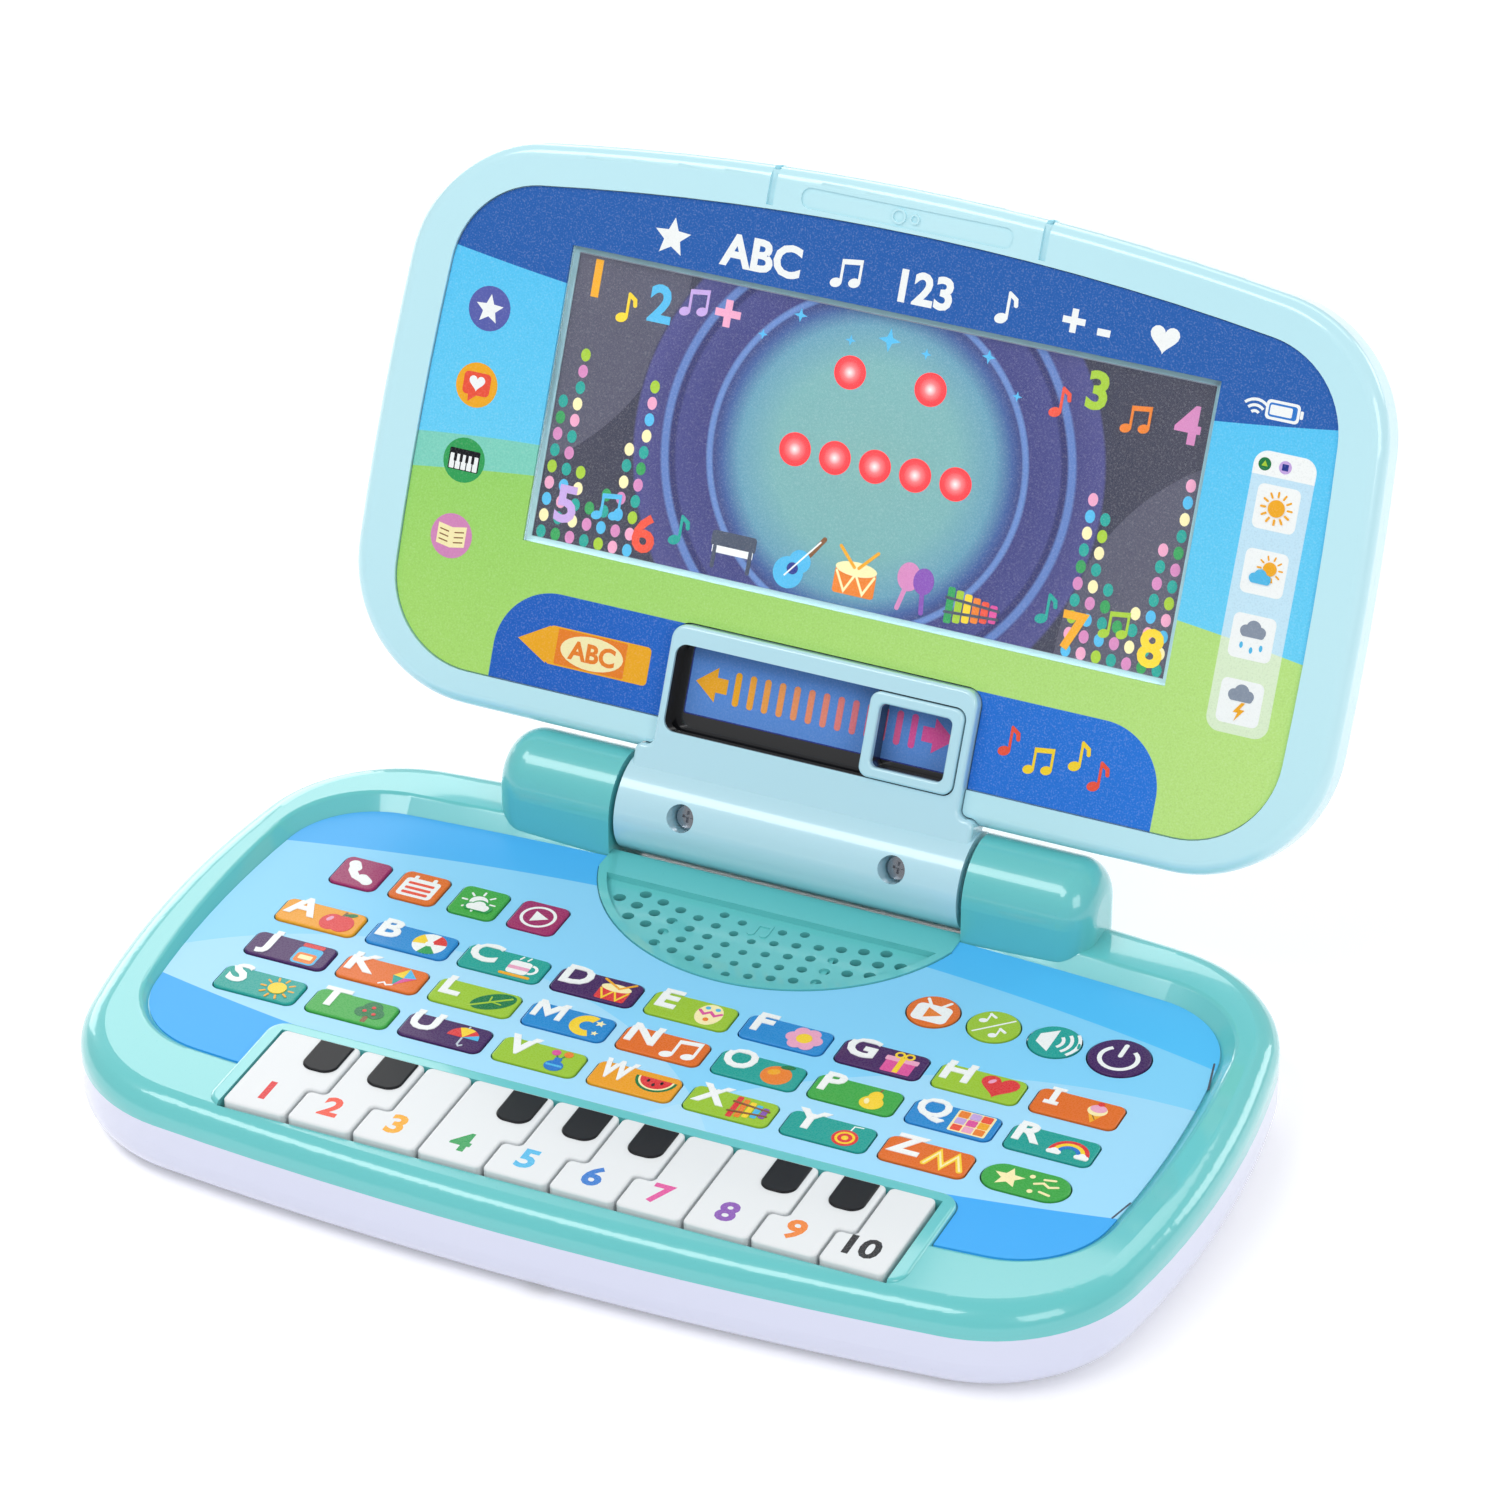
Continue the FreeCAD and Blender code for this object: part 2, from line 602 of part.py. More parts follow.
def all_buttons():
    """Every push button of the panel."""
    buttons = []
    for letters, y in zip(LETTER_ROWS, ROW_YS):
        for column, letter in enumerate(letters):
            node = "letter_button_" + letter.lower()
            buttons.append(Button(node, "oblong", letter_x(column), y, LETTER_WIDTH, LETTER_DEPTH))
    last = letter_x(LETTER_COLUMNS - 1)
    buttons.append(Button("effects_button", "capsule", last, ROW_YS[0], LETTER_WIDTH, EFFECTS_DEPTH))
    y = ROW_YS[2] + SQUARE_ROW_STEP
    for place, node in enumerate(SQUARE_NODES):
        x = letter_x(0) + place * SQUARE_PITCH
        buttons.append(Button(node, "oblong", x, y, SQUARE_SIZE, SQUARE_SIZE))
    y = ROW_YS[2] + ROUND_ROW_STEP
    for place, node in enumerate(ROUND_NODES):
        x = ROUND_FIRST_X + place * ROUND_PITCH
        buttons.append(Button(node, "round", x, y, ROUND_DIAMETER, ROUND_DIAMETER))
    x = ROUND_FIRST_X + (len(ROUND_NODES) - 1) * ROUND_PITCH + POWER_STEP
    buttons.append(Button("power_button", "round", x, y, POWER_DIAMETER, POWER_DIAMETER))
    return buttons


def key_well(z0, z1):
    """Space that the piano keys stand in."""
    half = KEYS_HALF_WIDTH + WELL_CLEARANCE
    return box(-half, half, KEY_FRONT_Y - WELL_CLEARANCE, KEY_BACK_Y + WELL_CLEARANCE, z0, z1)


def key_border(z0, z1, grow=0.0):
    """Raised border round the sides and back of the key well, still filled."""
    half = KEYS_HALF_WIDTH + WELL_CLEARANCE + BORDER_WIDTH + grow
    wire = rounded_rectangle(-half, half, KEY_FRONT_Y - WELL_CLEARANCE,
                             KEY_BACK_Y + WELL_CLEARANCE + BORDER_WIDTH + grow, BORDER_CORNER, z0)
    return prism(wire, z1 - z0)


def sloped_block(grow, drop, radius):
    """The base's outline carried up to its sloping top, with a rounded top edge."""
    bottom = PART_PLANE
    block = prism(base_outline(bottom, grow), FAR)
    y0, y1 = -BASE_DEPTH, BASE_DEPTH
    slope = Part.makePolygon([Vec(-FAR, y0, rim_height(y0) - drop), Vec(-FAR, y1, rim_height(y1) - drop),
                              Vec(-FAR, y1, 2 * FAR), Vec(-FAR, y0, 2 * FAR),
                              Vec(-FAR, y0, rim_height(y0) - drop)])
    block = block.cut(Part.Face(slope).extrude(Vec(2 * FAR, 0, 0)))
    wall = rim_height(FRONT_Y - grow) - drop - bottom
    top_edges = [e for e in block.Edges
                 if all(abs(v.Z - rim_height(v.Y) + drop) < 1e-4 for v in e.Vertexes)]
    return block.makeFillet(min(radius, wall * FILLET_SHARE), top_edges)


def knuckle(x0, x1, radius, end_radius, inset):
    """Upright D on the hinge's axis, domed at x1, of which only the round part stands behind the base."""
    bar = crosswise(radius, x0, x1, HINGE_Y, HINGE_Z)
    stem = box(x0, x1, HINGE_Y - radius, HINGE_Y + radius, PART_PLANE, HINGE_Z)
    shape = bar.fuse(stem).removeSplitter()
    end_edges = [e for e in shape.Edges if all(abs(v.X - x1) < 1e-5 for v in e.Vertexes)
                 and e.BoundBox.ZMax > PART_PLANE + 1e-3]
    shape = shape.makeFillet(end_radius, end_edges)
    low = PART_PLANE - CUT_MARGIN
    x0 -= CUT_MARGIN
    x1 += CUT_MARGIN
    behind = box(x0, x1, HINGE_Y, HINGE_Y + radius + CUT_MARGIN, low, HINGE_Z)
    behind = behind.cut([prism(base_outline(low, -inset), FAR), crosswise(radius, x0, x1, HINGE_Y, HINGE_Z)])
    return shape.cut(behind)


def hinge_boss(side):
    """Knuckle at one end of the hinge, standing on the deck."""
    boss = knuckle(BOSS_INNER_X, BOSS_OUTER_X, BOSS_RADIUS, BOSS_END_RADIUS, 0.0)
    return boss if side > 0 else boss.mirror(Vec(0, 0, 0), X_AXIS)


def boss_hollow(side):
    """Space inside a hinge boss, open towards the tray."""
    room = knuckle(BOSS_INNER_X + WALL, BOSS_OUTER_X - WALL, BOSS_RADIUS - WALL, BOSS_END_RADIUS - WALL, WALL)
    return room if side > 0 else room.mirror(Vec(0, 0, 0), X_AXIS)


def grille_holes():
    """Sound holes in columns, with rows that bend back and holes that grow to both sides."""
    radius = (GRILLE_HALF_WIDTH ** 2 + GRILLE_DEPTH ** 2) / (2 * GRILLE_DEPTH)
    arc_y = GRILLE_FRONT_Y + radius
    holes = []
    columns = int((GRILLE_HALF_WIDTH - HOLE_MARGIN) / HOLE_COLUMN_PITCH)
    rows = int(GRILLE_DEPTH / HOLE_ROW_PITCH)
    for column in range(-columns, columns + 1):
        x = column * HOLE_COLUMN_PITCH
        for row in range(-rows, rows + 1):
            y = GRILLE_FRONT_Y + HOLE_MARGIN + row * HOLE_ROW_PITCH + HOLE_ROW_RISE * abs(x)
            inside = math.hypot(x, y - arc_y) < radius - HOLE_MARGIN + HOLE_MIN_DIAMETER / 4
            low = y < GRILLE_BACK_Y - GRILLE_RIM - HOLE_BACK_MARGIN
            note = abs(x) < NOTE_ROOM / 2 and y > NOTE_Y - NOTE_ROOM / 2
            if inside and low and not note:
                hole_radius = (HOLE_MIN_DIAMETER + HOLE_GROWTH * abs(x)) / 2
                holes.append(upright(hole_radius, x, y, GRILLE_UNDER - WALL, OVERLAY_TOP))
    return holes


def grille_note():
    """Small double note in relief at the back of the grille."""
    z0, z1 = GRILLE_FLOOR - NOTE_RELIEF, GRILLE_FLOOR + NOTE_RELIEF
    head, stem = NOTE_HEAD_RADIUS, NOTE_STEM
    pieces = []
    for x in (-NOTE_WIDTH / 2, NOTE_WIDTH / 2):
        pieces.append(upright(head, x, NOTE_Y - NOTE_HEIGHT / 2, z0, z1))
        right = x + head
        pieces.append(box(right - stem, right, NOTE_Y - NOTE_HEIGHT / 2, NOTE_Y + NOTE_HEIGHT / 2, z0, z1))
    left, right = head - NOTE_WIDTH / 2 - stem, head + NOTE_WIDTH / 2
    pieces.append(box(left, right, NOTE_Y + NOTE_HEIGHT / 2 - 2 * stem, NOTE_Y + NOTE_HEIGHT / 2, z0, z1))
    return pieces


def make_base_deck():
    """Upper shell: sloping rim, overlay pocket, key well, grille, hinge trough and bosses."""
    deck = sloped_block(0.0, 0.0, RIM_RADIUS)
    climb = RIM_BACK_RISE + OVERLAY_THICKNESS + RIM_RADIUS
    pocket = Part.makeLoft([panel_outline(PLATE_TOP, PANEL_CLEARANCE),
                            panel_outline(PLATE_TOP + climb, PANEL_CLEARANCE + climb)], True, True)
    deck = deck.cut(pocket)

    def on_crest(vertex):
        to_pocket = pocket.distToShape(Part.Vertex(vertex.Point))[0]
        return abs(vertex.Z - rim_height(vertex.Y)) < TOUCH and to_pocket < TOUCH

    crest = [e for e in deck.Edges if all(on_crest(v) for v in e.Vertexes)]
    deck = deck.makeFillet(RIM_INNER_RADIUS, crest)
    hollow = sloped_block(-WALL, WALL, RIM_RADIUS - WALL)
    keep = [
        Part.makeLoft([panel_outline(PLATE_BOTTOM, PANEL_CLEARANCE + POCKET_SKIN),
                       panel_outline(PLATE_BOTTOM + climb, PANEL_CLEARANCE + POCKET_SKIN + climb)],
                      True, True),
        prism(grille_outline(GRILLE_UNDER), FAR),
        box(-BOSS_INNER_X - WALL, BOSS_INNER_X + WALL, GRILLE_BACK_Y - GRILLE_RIM, HINGE_Y,
            LEDGE_TOP - PLATE_THICKNESS, FAR),
        crosswise(TROUGH_RADIUS + WALL, -BOSS_INNER_X - WALL, BOSS_INNER_X + WALL, HINGE_Y, HINGE_Z),
    ]
    hollow = hollow.cut(keep)
    border = key_border(PLATE_BOTTOM, OVERLAY_TOP + BORDER_RISE)
    border = border.makeFillet(BORDER_EDGE_RADIUS, flat_edges(border, OVERLAY_TOP + BORDER_RISE))
    grille_rim = prism(grille_outline(PLATE_BOTTOM, 0.0), LEDGE_TOP - PLATE_BOTTOM)
    ledge = box(-BOSS_INNER_X, BOSS_INNER_X, GRILLE_BACK_Y, HINGE_Y, PLATE_BOTTOM, LEDGE_TOP)
    bosses = [hinge_boss(side) for side in (-1, 1)]
    deck = deck.fuse([border, grille_rim, ledge] + bosses)
    clear_above = box(-BOSS_INNER_X, BOSS_INNER_X, GRILLE_BACK_Y, HINGE_Y, LEDGE_TOP, FAR)
    trough = crosswise(TROUGH_RADIUS, -BOSS_INNER_X, BOSS_INNER_X, HINGE_Y, HINGE_Z)
    recess = prism(grille_outline(GRILLE_FLOOR, GRILLE_RIM, GRILLE_BACK_Y - GRILLE_RIM), FAR)
    deck = deck.cut([hollow, clear_above, trough, recess, key_well(0.0, FAR)]
                    + [boss_hollow(side) for side in (-1, 1)])
    reach = BOSS_INNER_X + WALL + CUT_MARGIN
    sockets = crosswise(TRUNNION_RADIUS + TRUNNION_CLEARANCE, -reach, reach, HINGE_Y, HINGE_Z)
    holes = [button.hole(PLATE_BOTTOM - WALL, OVERLAY_TOP) for button in all_buttons()]
    deck = deck.cut([sockets] + holes + grille_holes())
    posts = grille_note()
    for x, y in case_screw_places():
        posts.append(upright(PILOT_POST_RADIUS, x, y, SCREW_SEAT + SCREW_ENGAGEMENT + POST_GAP,
                             PLATE_BOTTOM + WALL / 2))
    for x, y in stake_places():
        posts.append(upright(STAKE_POST_RADIUS, x, y, BOARD_TOP, PLATE_BOTTOM + WALL / 2))
        posts.append(upright(STAKE_RADIUS, x, y, BOARD_BOTTOM, BOARD_TOP))
    ring = upright(SPEAKER_RADIUS + SPEAKER_CLEARANCE + SPEAKER_RING, 0, SPEAKER_Y,
                   GRILLE_UNDER - SPEAKER_RING_HEIGHT, GRILLE_UNDER + WALL / 2)
    ring = ring.cut(upright(SPEAKER_RADIUS + SPEAKER_CLEARANCE, 0, SPEAKER_Y, 0, FAR))
    posts.append(ring)
    for side in (-1, 1):
        inner = side * (KEYS_HALF_WIDTH + WELL_CLEARANCE)
        outer = side * (KEYS_HALF_WIDTH + ROD_OVERRUN)
        posts.append(box(min(inner, outer), max(inner, outer), ROD_Y - ROD_FROM_BACK,
                         ROD_Y + ROD_FROM_BACK, ROD_Z - ROD_HEIGHT, PLATE_BOTTOM + WALL / 2))
    deck = deck.fuse(posts)
    pilot_end = SCREW_SEAT + 2 * SCREW_ENGAGEMENT + POST_GAP
    pilots = [upright(PILOT_RADIUS, x, y, 0, pilot_end) for x, y in case_screw_places()]
    rod_seat = crosswise(ROD_RADIUS + PILOT_CLEARANCE, -KEYS_HALF_WIDTH - ROD_OVERRUN,
                         KEYS_HALF_WIDTH + ROD_OVERRUN, ROD_Y, ROD_Z)
    return deck.cut(pilots + [rod_seat]).removeSplitter()


def battery_room(grow):
    """Plan corners of the battery compartment, moved outwards by grow."""
    half_x = CELL_LENGTH / 2 + CONTACT_SPACE + grow
    half_y = CELL_COUNT * CELL_PITCH / 2 + CELL_GAP + grow
    return BATTERY_X - half_x, BATTERY_X + half_x, BATTERY_Y - half_y, BATTERY_Y + half_y


def door_tongue(grow):
    """Tongue of the battery door, or with grow the pocket for it."""
    x1 = battery_room(DOOR_LEDGE)[1] - DOOR_LEDGE
    x2 = battery_room(DOOR_LEDGE)[1] + DOOR_TONGUE + grow
    half = DOOR_TONGUE_WIDTH / 2 + grow
    return box(x1, x2, BATTERY_Y - half, BATTERY_Y + half, DOOR_TOP - DOOR_THICKNESS / 2 - grow,
               DOOR_TOP + grow / 3)


def make_base_tray():
    """Lower shell: curved sides, locating lip, screw posts and battery compartment."""
    outer = prism(base_outline(0.0), PART_PLANE)
    outer = outer.makeFillet(BOTTOM_RADIUS, flat_edges(outer, 0.0))
    inner = prism(base_outline(WALL, -WALL), PART_PLANE)
    inner = inner.makeFillet(BOTTOM_RADIUS - WALL, flat_edges(inner, WALL))
    tray = outer.cut(inner)
    lip_outer = WALL + LIP_CLEARANCE
    lip_inner = lip_outer + LIP_THICKNESS
    root = prism(base_outline(PART_PLANE - LIP_ROOT, -WALL / 2), LIP_ROOT)
    lip = prism(base_outline(PART_PLANE - LIP_ROOT, -lip_outer), LIP_ROOT + LIP_HEIGHT)
    bore = prism(base_outline(0.0, -lip_inner), FAR)
    clear = crosswise(TROUGH_RADIUS + 2 * WALL, -BOSS_OUTER_X, BOSS_OUTER_X, HINGE_Y, HINGE_Z)
    tray = tray.fuse(root.fuse(lip).cut([bore, clear]))
    places = case_screw_places()
    posts = [upright(POST_RADIUS, x, y, WALL / 2, SCREW_SEAT + SCREW_ENGAGEMENT) for x, y in places]
    x0, x1, y0, y1 = battery_room(BATTERY_WALL)
    walls = box(x0, x1, y0, y1, WALL / 2, CELL_TOP - CELL_DIAMETER / 3)
    ledge_x0, ledge_x1, ledge_y0, ledge_y1 = battery_room(DOOR_LEDGE + BATTERY_WALL)
    frame = box(ledge_x0, ledge_x1, ledge_y0, ledge_y1, WALL / 2, DOOR_TOP + DOOR_CLEARANCE + BATTERY_WALL)
    tray = tray.fuse(posts + [walls, frame])
    room_x0, room_x1, room_y0, room_y1 = battery_room(0.0)
    door_x0, door_x1, door_y0, door_y1 = battery_room(DOOR_LEDGE)
    cuts = [box(room_x0, room_x1, room_y0, room_y1, -CUT_MARGIN, FAR),
            box(door_x0, door_x1, door_y0, door_y1, -CUT_MARGIN, DOOR_TOP + DOOR_CLEARANCE / 3),
            door_tongue(DOOR_CLEARANCE),
            Part.makeCylinder(NOTCH_RADIUS, NOTCH_LENGTH, Vec(0, FRONT_Y, 0), Y_AXIS)]
    for x, y in places:
        cuts.append(upright(SCREW_HEAD_RADIUS + SCREW_CLEARANCE, x, y, -CUT_MARGIN, SCREW_SEAT))
        cuts.append(upright(SCREW_SHANK_RADIUS + SCREW_CLEARANCE, x, y, 0.0, FAR))
    return tray.cut(cuts).removeSplitter()


def make_battery_door():
    """Flat door over the cells, with a tongue at one end."""
    x0, x1, y0, y1 = battery_room(DOOR_LEDGE - DOOR_CLEARANCE)
    plate = box(x0, x1, y0, y1, DOOR_RECESS, DOOR_TOP)
    return plate.fuse(door_tongue(0.0)).removeSplitter()


def make_battery_cells():
    """Round cells side by side, every other one turned about."""
    cells = []
    middle = (CELL_BOTTOM + CELL_TOP) / 2
    half = CELL_LENGTH / 2
    for i in range(CELL_COUNT):
        y = BATTERY_Y + (i - (CELL_COUNT - 1) / 2) * CELL_PITCH
        can = crosswise(CELL_DIAMETER / 2, BATTERY_X - half + CELL_NUB_LENGTH,
                        BATTERY_X + half - CELL_NUB_LENGTH, y, middle)
        nub_end = half if i % 2 == 0 else CELL_NUB_LENGTH - half
        nub_x = BATTERY_X + nub_end
        nub = crosswise(CELL_NUB_RADIUS, nub_x - CELL_NUB_LENGTH, nub_x, y, middle)
        cells.append(can.fuse(nub))
    return cells


def make_battery_contacts():
    """Spring-metal plates on the end walls of the battery compartment."""
    plates = []
    middle = (CELL_BOTTOM + CELL_TOP) / 2
    reach = CELL_LENGTH / 2 + CONTACT_SPACE
    half = CONTACT_SIZE / 2
    for i in range(CELL_COUNT):
        y = BATTERY_Y + (i - (CELL_COUNT - 1) / 2) * CELL_PITCH
        for side in (-1, 1):
            wall = BATTERY_X + side * reach
            face = wall - side * CONTACT_THICKNESS
            plate = box(min(wall, face), max(wall, face), y - half, y + half,
                        middle - half, middle + half / 2)
            bump = BATTERY_X + side * CELL_LENGTH / 2
            dimple = crosswise(CELL_NUB_RADIUS, min(face, bump), max(face, bump), y, middle)
            plates.append(plate.fuse(dimple))
    return plates


def make_main_board():
    """Circuit board under the buttons, cut away round the speaker."""
    front = ROW_YS[0] - BOARD_EDGE
    back = ROW_YS[2] + ROUND_ROW_STEP + BOARD_EDGE
    board = box(-BOARD_HALF_WIDTH, BOARD_HALF_WIDTH, front, back, BOARD_BOTTOM, BOARD_TOP)
    gap = SPEAKER_RADIUS + SPEAKER_CLEARANCE + SPEAKER_RING + BOARD_SPEAKER_GAP
    board = board.cut([box(-gap, gap, SPEAKER_Y - gap, FAR, 0, FAR)]
                      + [upright(STAKE_RADIUS + PILOT_CLEARANCE, x, y, 0, FAR) for x, y in stake_places()])
    chip_y = (ROW_YS[0] + ROW_YS[1]) / 2
    half = CHIP_SIZE / 2
    chip = box(-half, half, chip_y - half, chip_y + half, BOARD_BOTTOM - CHIP_HEIGHT, BOARD_BOTTOM)
    return board.fuse(chip)


def make_speaker():
    """Round speaker with a flange, a basket and a magnet."""
    top = GRILLE_UNDER
    flange_bottom = top - SPEAKER_FLANGE
    magnet_top = top - SPEAKER_DEPTH + MAGNET_DEPTH
    flange = upright(SPEAKER_RADIUS, 0, SPEAKER_Y, flange_bottom, top)
    basket = Part.makeCone(MAGNET_RADIUS, SPEAKER_RADIUS - SPEAKER_FLANGE, flange_bottom - magnet_top,
                           Vec(0, SPEAKER_Y, magnet_top), Z_AXIS)
    magnet = upright(MAGNET_RADIUS, 0, SPEAKER_Y, top - SPEAKER_DEPTH, magnet_top)
    return flange.fuse([basket, magnet]).removeSplitter()


def make_keypad_overlay():
    """Printed film in the pocket, with a hole for each button."""
    film = prism(panel_outline(PLATE_TOP), OVERLAY_THICKNESS)
    low = PLATE_TOP - CUT_MARGIN
    cuts = [button.hole(low, FAR) for button in all_buttons()]
    cuts.append(key_border(low, FAR, PANEL_CLEARANCE))
    cuts.append(prism(grille_outline(low, -PANEL_CLEARANCE), FAR))
    cuts.append(box(-BOSS_INNER_X, BOSS_INNER_X, GRILLE_BACK_Y - PANEL_CLEARANCE, FAR, 0, FAR))
    return film.cut(cuts).removeSplitter()


def key_edges(number):
    """Left and right side of a key, in front of the jog and behind it."""
    left = (number - 1) * KEY_PITCH - KEYS_HALF_WIDTH + KEY_GAP / 2
    right = number * KEY_PITCH - KEYS_HALF_WIDTH - KEY_GAP / 2
    back_left = left + (KEY_JOG if number - 1 in KEYS_WITH_INLAY else 0.0)
    back_right = right + (KEY_JOG if number in KEYS_WITH_INLAY else 0.0)
    return left, right, back_left, back_right


def inlay_outline(number, z):
    """Black inlay of a key: square at the back and rounded in front."""
    x1 = key_edges(number)[3] - INLAY_MARGIN
    x0 = x1 - INLAY_WIDTH
    y0 = KEY_FRONT_Y + INLAY_FROM_FRONT
    y1 = KEY_BACK_Y - INLAY_MARGIN / 2
    radius = INLAY_CORNER
    k = radius * (1 - math.sqrt(0.5))
    return Part.Wire([
        Part.LineSegment(Vec(x0 + radius, y0, z), Vec(x1 - radius, y0, z)).toShape(),
        Part.Arc(Vec(x1 - radius, y0, z), Vec(x1 - k, y0 + k, z), Vec(x1, y0 + radius, z)).toShape(),
        Part.LineSegment(Vec(x1, y0 + radius, z), Vec(x1, y1, z)).toShape(),
        Part.LineSegment(Vec(x1, y1, z), Vec(x0, y1, z)).toShape(),
        Part.LineSegment(Vec(x0, y1, z), Vec(x0, y0 + radius, z)).toShape(),
        Part.Arc(Vec(x0, y0 + radius, z), Vec(x0 + k, y0 + k, z), Vec(x0 + radius, y0, z)).toShape(),
    ])


def make_key(number):
    """White piano key on the rod, with its black inlay where it has one."""
    left, right, back_left, back_right = key_edges(number)
    jog = KEY_FRONT_Y + KEY_JOG_FROM_FRONT
    points = [Vec(left, KEY_FRONT_Y, KEY_BOTTOM), Vec(right, KEY_FRONT_Y, KEY_BOTTOM)]
    if back_right > right:
        points += [Vec(right, jog, KEY_BOTTOM), Vec(back_right, jog, KEY_BOTTOM)]
    points += [Vec(back_right, KEY_BACK_Y, KEY_BOTTOM), Vec(back_left, KEY_BACK_Y, KEY_BOTTOM)]
    if back_left > left:
        points += [Vec(back_left, jog - KEY_GAP, KEY_BOTTOM), Vec(left, jog - KEY_GAP, KEY_BOTTOM)]
    key = prism(Part.makePolygon(points + [points[0]]), KEY_DEPTH)
    uprights = [e for e in key.Edges if abs(e.BoundBox.ZLength - KEY_DEPTH) < 1e-5]
    key = key.makeFillet(KEY_CORNER, uprights)
    key = key.makeFillet(KEY_EDGE_RADIUS, flat_edges(key, KEY_TOP))
    key = key.cut(crosswise(ROD_RADIUS + ROD_CLEARANCE, -FAR, FAR, ROD_Y, ROD_Z))
    if number not in KEYS_WITH_INLAY:
        return key
    floor = KEY_TOP - INLAY_DEPTH
    key = key.cut(prism(inlay_outline(number, floor), FAR))
    inlay = prism(inlay_outline(number, floor), INLAY_DEPTH + INLAY_STAND)
    inlay = inlay.makeFillet(INLAY_STAND * FILLET_SHARE, flat_edges(inlay, KEY_TOP + INLAY_STAND))
    return Part.Compound([key, inlay])


def make_key_rod():
    """Steel rod that all the piano keys turn on."""
    reach = KEYS_HALF_WIDTH + ROD_OVERRUN - ROD_CLEARANCE
    return crosswise(ROD_RADIUS, -reach, reach, ROD_Y, ROD_Z)


def make_case_screws():
    """Screws that hold the tray to the deck."""
    tip = SCREW_SEAT + 2 * SCREW_ENGAGEMENT
    return [screw(x, y, SCREW_SEAT, tip) for x, y in case_screw_places()]


def lid_screw_places():
    """Places of the screws that hold the lid's two shells together, in the lid's flat frame."""
    x = LID_HALF_WIDTH - LID_SCREW_INSET
    return [(sx * x, y) for sx in (-1, 1) for y in (LID_BOTTOM + 2 * LID_SCREW_INSET,
                                                    LID_TOP - 2 * LID_SCREW_INSET)]


def hinge_block(foot, low, high, grow=0.0):
    """Slot frame on its wider neck, moved outwards by grow, with rounded upright edges."""
    half, neck = SLOT_FRAME_HALF + grow, NECK_HALF + grow
    shoulder, top = NECK_TOP_Y + grow, SLOT_FRAME_TOP_Y + grow
    plan = [(neck, foot), (neck, shoulder), (half, shoulder), (half, top),
            (-half, top), (-half, shoulder), (-neck, shoulder), (-neck, foot)]
    points = [Vec(x, y, low) for x, y in plan]
    block = prism(Part.makePolygon(points + [points[0]]), high - low)

    def uprights(x, y):
        return [e for e in block.Edges if e.BoundBox.ZLength > TOUCH
                and all(abs(abs(v.X) - x) < TOUCH and abs(v.Y - y) < TOUCH for v in e.Vertexes)]

    block = block.makeFillet(SLOT_FRAME_CORNER + grow, uprights(half, top))
    block = block.makeFillet(NECK_CORNER + grow, uprights(neck, shoulder))
    return block.makeFillet(NECK_CORNER - grow, uprights(half, shoulder))


def hinge_opening():
    """Cut-out round the hinge bar's block, open towards the hinge."""
    return hinge_block(-FAR, -FAR, FAR, SLOT_GAP)


def clip_cuts():
    """Grooves at both ends of the clip in the lid's top edge, and its long shallow recess."""
    cuts = []
    rim = prism(lid_outline(LID_PARTING - CUT_MARGIN), FAR)
    rim = rim.cut(prism(lid_outline(LID_PARTING - 2 * CUT_MARGIN, -CLIP_GROOVE_DEPTH), 2 * FAR))
    half = CLIP_GROOVE / 2
    for side in (-1, 1):
        x = side * CLIP_HALF_WIDTH
        cuts.append(rim.common(box(x - half, x + half, LID_TOP - 2 * LID_TOP_BORDER, FAR, -FAR, FAR)))
        cuts.append(box(x - half, x + half, LID_TOP - LID_TOP_BORDER, FAR,
                        FRAME_FRONT - CLIP_GROOVE_DEPTH, FAR))
    half_x, half_y = CLIP_RECESS_LENGTH / 2, CLIP_RECESS_WIDTH / 2
    wire = rounded_rectangle(-half_x, half_x, CLIP_Y - half_y, CLIP_Y + half_y, half_y * FILLET_SHARE,
                             FRAME_FRONT - CLIP_RECESS_DEPTH)
    return cuts + [prism(wire, FAR)]


def clip_rings():
    """Two small raised rings in the clip's recess."""
    rings = []
    z0 = FRAME_FRONT - 2 * CLIP_RECESS_DEPTH
    for x, radius in CLIP_RINGS:
        ring = upright(radius, x, CLIP_Y, z0, FRAME_FRONT)
        rings.append(ring.cut(upright(radius - CLIP_RING_WALL, x, CLIP_Y, z0, FRAME_FRONT)))
    return rings


